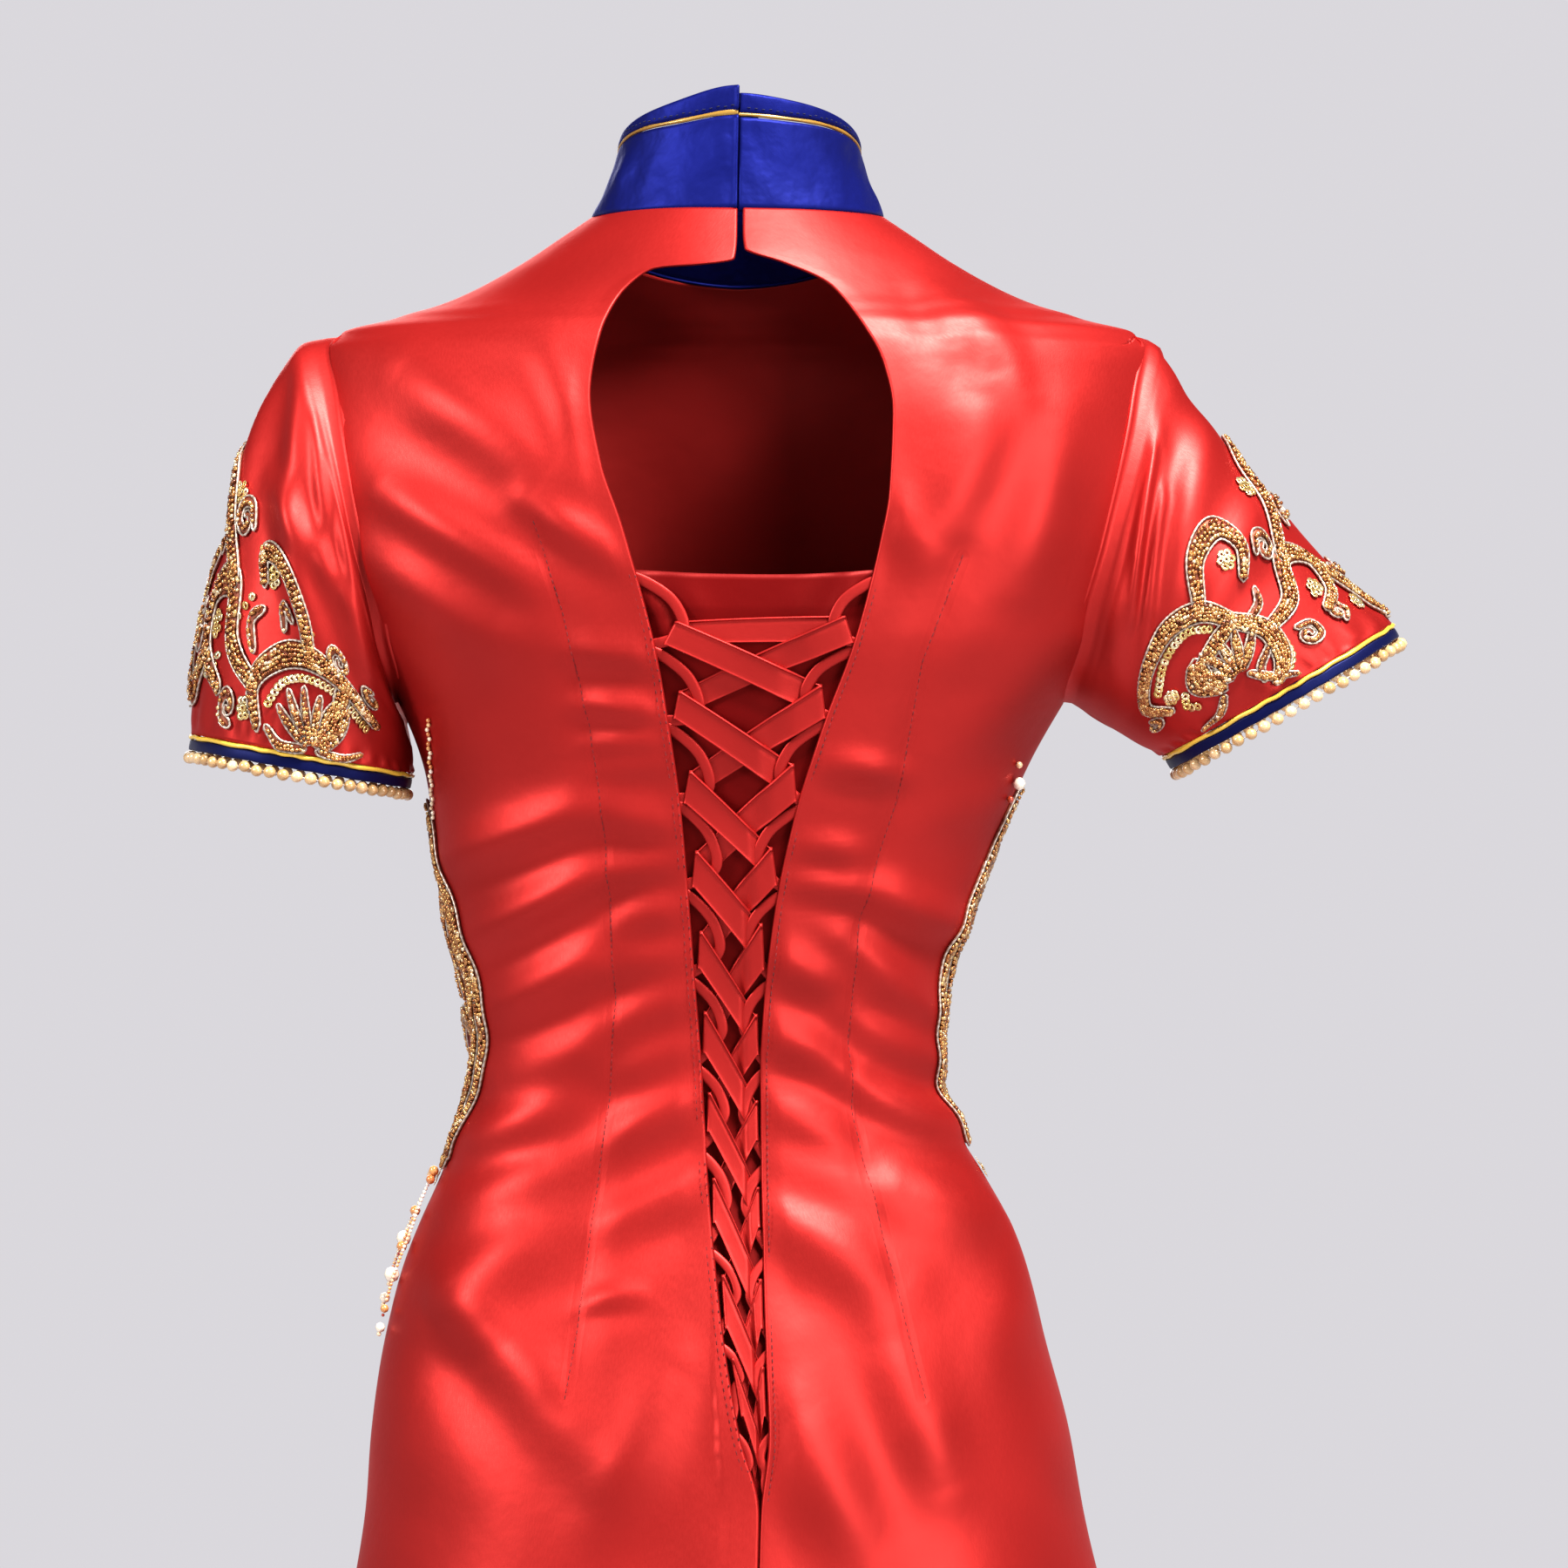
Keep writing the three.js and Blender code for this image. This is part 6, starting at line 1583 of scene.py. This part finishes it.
def cord_tube(surface, loop):
    """A thin twisted cord along a closed outline: its section turns and swells as it goes."""
    closed = np.concatenate([loop, loop[:1]])
    reached = run_length(closed[None], 1)[0]
    count = max(int(reached[-1] / 1.1), 8)
    goal = np.linspace(0, reached[-1], count, endpoint=False)
    plane = np.stack([np.interp(goal, reached, closed[:, k]) for k in (0, 1)], -1)
    way = unit(np.roll(plane, -1, 0) - np.roll(plane, 1, 0))
    origin, axes = surface_frames(surface, plane, way, np.full(count, NET_HIGH - 0.2))
    turn = circle(6)
    radius = CORD * (1 + 0.22 * np.sin(goal * 2.6))[:, None]
    rings = origin[:, None] + axes[:, None, 1] * (radius * np.cos(turn))[..., None] + (
        axes[:, None, 2] * (radius * np.sin(turn))[..., None])
    return rings, close_tube(rings, True)


def sequin_row(surface, path, spacing, size):
    """Flat sequins that overlap like scales along a path."""
    place, way, _ = evened(path, spacing)
    way = unit(way + 0.15 * random.standard_normal(way.shape))
    origin, axes = surface_frames(surface, place, way, np.full(len(place), 0.9))
    lean = 0.28 + 0.12 * random.standard_normal(len(place))
    along = axes[:, 0] * np.cos(lean)[:, None] + axes[:, 2] * np.sin(lean)[:, None]
    tilted = np.stack([along, axes[:, 1], np.cross(along, axes[:, 1])], 1)
    return origin, tilted, np.full((len(place), 3), size / 2), random.uniform(0.2, 1, len(place))


def rosette(surface, centre):
    """Six sequins round a middle one, each leaning outwards."""
    turn = circle(6) + random.uniform(0, 1)
    way = np.stack([np.cos(turn), np.sin(turn)], -1)
    plane = np.concatenate([np.array(centre) + 3.0 * way, [centre]])
    origin, axes = surface_frames(surface, plane, np.concatenate([way, [[1, 0]]]),
                                  np.append(np.full(6, 1.0), 1.5))
    return origin, axes, np.full((7, 3), 2.0), random.uniform(0.3, 1, 7)


def bead_work(name, node, surface, bands, sequins, flowers=()):
    """One applique: net, seed beads, cord and sequins as four pieces."""
    beads = [band_beads(surface, path, wide) for wide, path in bands]
    origins, frames, sizes, tints = (np.concatenate(v) for v in zip(*beads))
    points, faces = scatter(SEED, origins, frames, sizes)
    count = len(SEED[0])
    seed_piece = make_piece(f"{name}_seed_beads", points, faces, seed_glass, "bead_work",
                            tint=np.repeat(tints, count))
    points, faces = join([band_net(surface, path, wide) for wide, path in bands])
    net = make_piece(f"{name}_net", points, faces, net_backing, "bead_work",
                     tint=random.uniform(0, 1, len(points)))
    turn_out(net)
    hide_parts(node)
    points, faces = join([cord_tube(surface, band_outline(path, wide)) for wide, path in bands])
    cord = make_piece(f"{name}_cord", points, faces, silver_cord, "bead_work",
                      tint=0.5 + 0.5 * np.sin(np.arange(len(points)) * 0.7))
    turn_out(cord)
    rows = [sequin_row(surface, np.array(path, float), 3.1, 4.2) for path in sequins]
    rows += [rosette(surface, centre) for centre in flowers]
    origins, frames, sizes, tints = (np.concatenate(v) for v in zip(*rows))
    points, faces = scatter(SEQUIN, origins, frames, sizes)
    discs = make_piece(f"{name}_sequins", points, faces, sequin_gilt, "bead_work",
                       tint=np.repeat(tints, len(SEQUIN[0])))
    turn_out(discs)
    print(name, "beads", len(seed_piece.data.vertices) // count, "sequins", len(origins))


WIDER = 1.2                    # the beads spread past the solid band's edges
SLEEVE_SCALE = np.array([150, 1.2])       # millimetres for a whole t and for one degree
WAIST_SCALE = np.array([1.9, 1])          # millimetres for one degree and for one of z


def sleeve_plane(shape):
    """The unrolled sleeve as a surface of the plane, in millimetres."""
    def surface(plane, height):
        """A point of the sleeve's cloth plus height."""
        at = plane / SLEEVE_SCALE
        return shape["point"](at[..., 0], at[..., 1] * DEGREE, height)
    return surface


def waist_plane(plane, height):
    """The unrolled waist as a surface of the plane, in millimetres."""
    at = plane / WAIST_SCALE
    angle = at[..., 0] * DEGREE
    return raised_point(angle, at[..., 1], cloth_height(angle, at[..., 1]) + height)


def on_plane(rows, scale):
    """Scrolls from the table's units to millimetres on the unrolled cloth."""
    return [(wide * WIDER, np.array(path) * scale) for wide, path in rows]


def lotus(centre, reach, first, last, petals, wide):
    """Petals as short bands that leave one point in a fan, each bowed away from the middle."""
    base, made = np.array(centre, float), []
    for turn in np.linspace(first, last, petals):
        way = np.array([np.cos(turn * DEGREE), np.sin(turn * DEGREE)])
        lean = (turn - (first + last) / 2) / (last - first)
        side = np.array([-way[1], way[0]]) * 5 * lean
        long = reach * (1 - 0.5 * lean ** 2)
        made.append((wide, np.array([base + way * 5, base + way * long * 0.55 + side * 0.6,
                                     base + way * long + side])))
    return made


def curl(centre, radius, start, turns, wide=4.2):
    """A small spiral band: its radius falls to a fifth while it turns."""
    s = np.linspace(0, 1, 8)
    turn = (start + 360 * turns * s) * DEGREE
    reach = radius * (1 - 0.8 * s)
    ring = np.stack([reach * np.cos(turn), reach * np.sin(turn)], -1)
    return wide, np.array(centre) + ring


def leaf(wide, *path):
    """A band of a given width along a short path."""
    return wide, np.array(path, float)


LEFT_SCROLLS = [
    (9, [(0.74, 132), (0.68, 112), (0.7, 92), (0.77, 76), (0.86, 66), (0.95, 70)]),
    (8, [(0.7, 92), (0.6, 84), (0.54, 70), (0.58, 56), (0.64, 60)]),
    (13, [(0.78, 112), (0.88, 108), (0.96, 104)]),
    (8, [(0.68, 112), (0.8, 110)]),
    (8, [(0.86, 66), (0.8, 50), (0.7, 42), (0.74, 28), (0.84, 30), (0.9, 44)]),
    (8, [(0.7, 42), (0.6, 28), (0.5, 20), (0.44, 6)]),
    (8, [(0.84, 30), (0.92, 14), (0.86, -4), (0.74, -6), (0.68, 8)]),
    (9, [(0.86, -4), (0.9, -30), (0.8, -52), (0.7, -40)]),
    (9, [(0.9, -30), (0.92, -66), (0.84, -96), (0.72, -112), (0.68, -134)]),
]
RIGHT_SCROLLS = [
    (9, [(0.62, 84), (0.5, 92), (0.42, 108), (0.44, 128), (0.56, 140), (0.7, 132)]),
    (13, [(0.62, 108), (0.7, 112), (0.8, 108)]),
    (8, [(0.62, 84), (0.64, 108)]),
    (8, [(0.5, 92), (0.4, 78), (0.42, 62), (0.5, 60), (0.56, 68)]),
    (9, [(0.62, 84), (0.74, 76), (0.86, 80), (0.95, 90)]),
    (8, [(0.74, 76), (0.72, 58), (0.62, 44), (0.68, 30), (0.78, 34), (0.82, 46)]),
    (8, [(0.62, 44), (0.52, 30), (0.42, 22), (0.36, 8)]),
    (8, [(0.68, 30), (0.82, 18), (0.94, 8), (0.92, -14), (0.8, -18)]),
    (9, [(0.92, -14), (0.9, -44), (0.78, -60), (0.68, -48)]),
    (9, [(0.9, -44), (0.92, -76), (0.84, -104), (0.72, -118), (0.66, -138)]),
]
LEFT_WAIST = [
    (10, [(82, -276), (80, -292), (77, -308), (73, -330), (70, -352), (71, -372)]),
    (9, [(71, -372), (75, -392), (80, -404), (78, -420), (82, -434)]),
    (9, [(77, -308), (88, -322), (98, -340), (104, -362)]),
    (9, [(71, -372), (84, -366), (96, -376), (108, -392), (112, -416)]),
    (8, [(88, -322), (100, -308), (112, -300)]),
]
RIGHT_WAIST = [
    (9, [(-84, -268), (-82, -288), (-80, -310), (-79, -336), (-80, -362)]),
    (9, [(-80, -362), (-82, -384), (-80, -404), (-84, -424)]),
    (9, [(-82, -288), (-94, -304), (-102, -326), (-106, -350)]),
    (9, [(-80, -362), (-92, -360), (-104, -374), (-112, -398)]),
    (8, [(-94, -304), (-104, -292), (-114, -288)]),
]

# %% [markdown]
# Lotus flowers, curls, leaves, rows of sequins and rosettes fill the spaces between the scrolls.
# Their places are millimetres on the unrolled sleeve and waist.

# %% Small motifs between the scrolls
LEFT_SMALL = [
    *lotus((148, 118), 30, 140, 228, 6, 5.2), leaf(5, (147, 114), (148, 100), (142, 90)),
    leaf(5, (147, 122), (148, 138), (142, 150)), curl((92, 128), 8, 0, -1.3),
    curl((84, 46), 8, 90, 1.4), curl((121, 20), 7, 200, 1.3), curl((139, 62), 6, 20, -1.2),
    leaf(4.6, (104, 92), (96, 88), (98, 96)), leaf(4.6, (118, 76), (110, 70), (104, 76)),
    leaf(4.4, (96, 28), (100, 18), (94, 10)), curl((92, 152), 7, 180, 1.3),
    *lotus((141, -104), 24, 130, 230, 5, 5.6), curl((104, -82), 8, 60, 1.4),
    curl((88, -38), 7, 0, 1.3), leaf(5, (120, -90), (112, -98), (116, -110)),
    curl((122, -146), 7, 90, 1.3),
]
RIGHT_SMALL = [
    *lotus((122, 118), 31, 132, 226, 6, 5.4), leaf(5.4, (124, 114), (136, 108), (145, 98)),
    leaf(5, (126, 132), (138, 142), (143, 156)), curl((128, 76), 8, 160, 1.4),
    curl((84, 60), 7, 100, 1.3), curl((128, 52), 6, 0, -1.3), curl((82, 22), 7, 40, 1.3),
    leaf(4.6, (100, 96), (98, 84), (92, 80)), leaf(4.6, (110, 22), (116, 8), (108, -2)),
    curl((104, 174), 7, 180, 1.2), leaf(4.6, (118, 96), (126, 108), (136, 112)),
    *lotus((142, -108), 24, 130, 230, 5, 5.6), curl((104, -90), 8, 60, 1.4),
    curl((90, -44), 7, 0, 1.3), curl((120, -150), 7, 90, 1.3),
]
LEFT_WAIST_SMALL = [
    leaf(9, (147, -300), (134, -320), (126, -342), (123, -364), (127, -388), (137, -410),
         (148, -430)),
    leaf(4.4, (151, -330), (142, -352), (139, -368)), curl((172, -300), 7, 0, 1.3),
    leaf(4.6, (154, -282), (160, -272), (166, -268)), curl((186, -352), 8, 90, 1.4),
    curl((206, -330), 7, 30, 1.3), leaf(4.6, (190, -396), (200, -410), (204, -428)),
]
RIGHT_WAIST_SMALL = [
    leaf(8, (-150, -296), (-141, -322), (-137, -350), (-140, -378), (-147, -404), (-154, -424)),
    curl((-172, -308), 7, 0, 1.3),
    leaf(4.6, (-154, -276), (-160, -264), (-168, -260)), curl((-190, -346), 8, 90, 1.4),
    curl((-206, -318), 7, 30, 1.3),
]
LEFT_SEQUINS = [
    [(119, 152), (111, 135), (113, 115), (122, 98), (133, 90)], [(95, 108), (88, 98)],
    [(112, 60), (104, 66)], [(126, 48), (132, 42), (132, 30)], [(100, 40), (92, 32), (84, 30)],
    [(118, -10), (128, -22), (128, -40)], [(118, -66), (128, -72)], [(128, -86), (120, -92)],
]
RIGHT_SEQUINS = [
    [(86, 112), (75, 122), (73, 140), (84, 156)], [(104, 146), (112, 150), (118, 146)],
    [(120, 88), (132, 92), (140, 100)], [(100, 58), (108, 66)], [(112, 46), (114, 54)],
    [(88, 42), (80, 34), (70, 28)], [(130, 4), (130, -12)], [(126, -44), (126, -60)],
]
LEFT_ROSETTES = [(91, 77), (118, 42), (112, 2), (78, 36), (138, 74), (122, -58), (108, -120)]
RIGHT_ROSETTES = [(73, 83), (112, 50), (96, 152), (130, 30), (66, 40), (122, -70), (110, -124)]

for hand, scrolls, small, sequins, flowers in (
        ("left", LEFT_SCROLLS, LEFT_SMALL, LEFT_SEQUINS, LEFT_ROSETTES),
        ("right", RIGHT_SCROLLS, RIGHT_SMALL, RIGHT_SEQUINS, RIGHT_ROSETTES)):
    bead_work(f"applique_sleeve_{hand}", f"applique_sleeve_{hand}", sleeve_plane(sleeves[hand]),
              on_plane(scrolls, SLEEVE_SCALE) + small, sequins, flowers)
bead_work("applique_waist_left", "applique_waist_left", waist_plane,
          on_plane(LEFT_WAIST, WAIST_SCALE) + LEFT_WAIST_SMALL,
          [[(143, -330), (136, -348), (133, -364)], [(134, -380), (141, -396)]],
          [(146, -316), (170, -440)])
bead_work("applique_waist_right", "applique_waist_right", waist_plane,
          on_plane(RIGHT_WAIST, WAIST_SCALE) + RIGHT_WAIST_SMALL,
          [[(-150, -322), (-147, -340), (-147, -356)], [(-150, -376), (-155, -392)]],
          [(-150, -308), (-166, -436)])

# %% [markdown]
# From the tip of the left waist applique hang four short strands of seed beads that end in an
# amber bead and a pearl. Each strand is a row of beads at even steps along its own fall.

# %% Hip tassels
def hang_beads(name, origins, radii, tints):
    """Round beads at the given places, with their radii and tints, as one piece."""
    frames = np.broadcast_to(np.eye(3)[[2, 0, 1]], (len(origins), 3, 3))
    points, faces = scatter(SMALL_BALL, origins, frames, np.repeat(radii[:, None], 3, 1))
    piece = make_piece(name, points, faces, tassel_glass, "pearls",
                       tint=np.repeat(tints, len(SMALL_BALL[0])))
    turn_out(piece)
    print(name, len(origins))
    return piece


TASSELS = table("angle end amber pearl", [
    (86, -474, 5, 7), (83, -490, 5, 7.2), (79, -512, 4, 4.6), (88, -500, 4, 5),
])
TASSEL_HEAD_ANGLE, TASSEL_HEAD_Z, TASSEL_HEIGHT = 84, -440.5, 4.2


def hip_tassels():
    """Four strands that fan out from one head of three beads."""
    rows = []

    def place(angle, z):
        """Where a bead of that angle in degrees and that height hangs."""
        turn = angle * DEGREE
        return raised_point(turn, z, cloth_height(turn, z) + TASSEL_HEIGHT)

    for angle, end, amber, pearl in zip(*TASSELS.values()):
        pearl_z, amber_z = end + pearl / 2 + 1, end + pearl * 1.7 + amber
        z = np.arange(TASSEL_HEAD_Z - 3, amber_z + amber / 2 + 1, -1.7)
        fall = smoothstep(TASSEL_HEAD_Z - z, 0, 30)
        share = (TASSEL_HEAD_Z - z) / (TASSEL_HEAD_Z - amber_z)
        rows.append((place(lerp(TASSEL_HEAD_ANGLE, angle, fall), z), np.full(len(z), 0.85),
                     np.clip(1 - 0.6 * share + 0.12 * random.standard_normal(len(z)), 0, 1)))
        ends = np.array([amber_z, amber_z - amber / 2 - 0.9, pearl_z, end + 0.4])
        rows.append((place(np.full(4, angle), ends), np.array([amber / 2, 0.8, pearl / 2, 1.1]),
                     np.array([0.42, 0.05, 0.85, 0.7])))
    head_z = np.array([TASSEL_HEAD_Z + 2, TASSEL_HEAD_Z - 2, TASSEL_HEAD_Z])
    head_angle = TASSEL_HEAD_ANGLE + np.array([0, -1.2, 1.2])
    rows.append((place(head_angle, head_z), np.array([2.4, 2.2, 2.2]),
                 np.array([0.5, 0.35, 0.6])))
    piece = hang_beads("hip_tassel_beads", *(np.concatenate(v) for v in zip(*rows)))
    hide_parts("hip_tassels")


hip_tassels()

# %% [markdown]
# A short string of beads runs on under the left arm, and three beads close the right one.

# %% Underarm beads
RIGHT_UNDERARM = table("x z radius tint", [
    (-127.4, -251, 1.6, 0.6), (-125.5, -258.5, 3.0, 0.85), (-122, -266, 1.7, 0.1),
])


def underarm_beads():
    """The left string's beads at even steps of z, then the three of the right."""
    z = np.arange(-231, -292, -2.1)
    x = lerp(139.5, 137.4, (z + 231) / -61) + 0.5 * np.sin(z * 0.9)
    radius = np.append(np.full(len(x), 1.05), RIGHT_UNDERARM["radius"])
    tint = np.append(random.uniform(0.3, 0.9, len(x)), RIGHT_UNDERARM["tint"])
    x, z = np.append(x, RIGHT_UNDERARM["x"]), np.append(z, RIGHT_UNDERARM["z"])
    origins = back_point(x, z, cloth_height(angle_across(x, z), z) + radius)
    hang_beads("underarm_beads", origins, radius, tint)


underarm_beads()

# %% [markdown]
# The panels are sewn: fine stitches follow the lacing edges, the darts and the collar's binding.
# Each is a tiny bar with rounded ends, copied along its line and pressed into the cloth. A line
# states its x at each z, its upper and lower end, the distance between stitches, their length,
# their radius and how deep the cloth is pulled in under them.

# %% Stitches
STITCH = lathe([(-0.5, 0.4), (-0.36, 1), (0.36, 1), (0.5, 0.4)], 5)
STITCH_LIFT = 0.1
STITCH_LINES = [
    (lambda z: left_edge_x(z) + 0.9, (-168, -578), 4.6, 1.3, 0.28, 0.0),
    (lambda z: left_edge_x(z) + 3.4, (-168, -578), 3.4, 1.9, 0.16, 0.0),
    (lambda z: right_edge_x(z) - 2.8, (-168, -578), 3.0, 2.1, 0.22, 0.0),
]


def dart_x(dart):
    """x of a dart's line at height z."""
    line = np.array(dart, float)
    return lambda z: np.interp(-z, -line[:, 1], line[:, 0])


for dart in (LEFT_DART, RIGHT_DART):
    STITCH_LINES.append((dart_x(dart), (dart[0][1], dart[-1][1]), 2.9, 2.0, 0.17, DART_DEPTH))


def back_surface(plane, height):
    """The back's cloth as a surface of the plane of x and z."""
    x, z = plane[..., 0], plane[..., 1]
    angle = angle_across(x, z)
    return raised_point(angle, z, cloth_height(angle, z) + height)


def sew(name, surface, plane, way, long, radius, lift, material, slot):
    """A row of stitches at points of a plane, each laid along its way."""
    origin, axes = surface_frames(surface, plane, way, np.full(len(plane), lift))
    thick = np.full(len(plane), radius)
    size = np.stack([long * random.uniform(0.85, 1.1, len(plane)), thick, thick], -1)
    points, faces = scatter(STITCH, origin, axes, size)
    piece = make_piece(name, points, faces, material, slot,
                       tint=np.repeat(random.random(len(plane)), len(STITCH[0])))
    turn_out(piece)
    print(name, len(plane), "stitches")


for k, (x_at, (top, low), pitch, long, radius, pull) in enumerate(STITCH_LINES):
    z = np.arange(top, low, -pitch)
    plane = np.stack([x_at(z), z], -1)
    sew(f"stitches_{k}", back_surface, plane, unit(np.gradient(plane, axis=0)), long, radius,
        STITCH_LIFT - pull, thread_red, "red_satin")


def binding_surface(plane, height):
    """The collar's binding as a surface of the plane: along the rim and up from its start."""
    angle = plane[..., 0] / COLLAR["top_back"]
    share = binding_share(angle) + plane[..., 1] / collar_height(angle)
    return collar_point(angle, share, height)


BINDING_PITCH = 2.6
along = np.concatenate([np.arange(*ends, BINDING_PITCH) for ends in ((2, 52), (226, 274))])
plane = np.stack([along, np.full(len(along), 1.6) + 0.25 * np.sin(along)], -1)
sew("stitches_collar", binding_surface, plane, np.tile([1.0, 0.0], (len(along), 1)), 1.5, 0.22,
    0.85, thread_blue, "blue_satin")
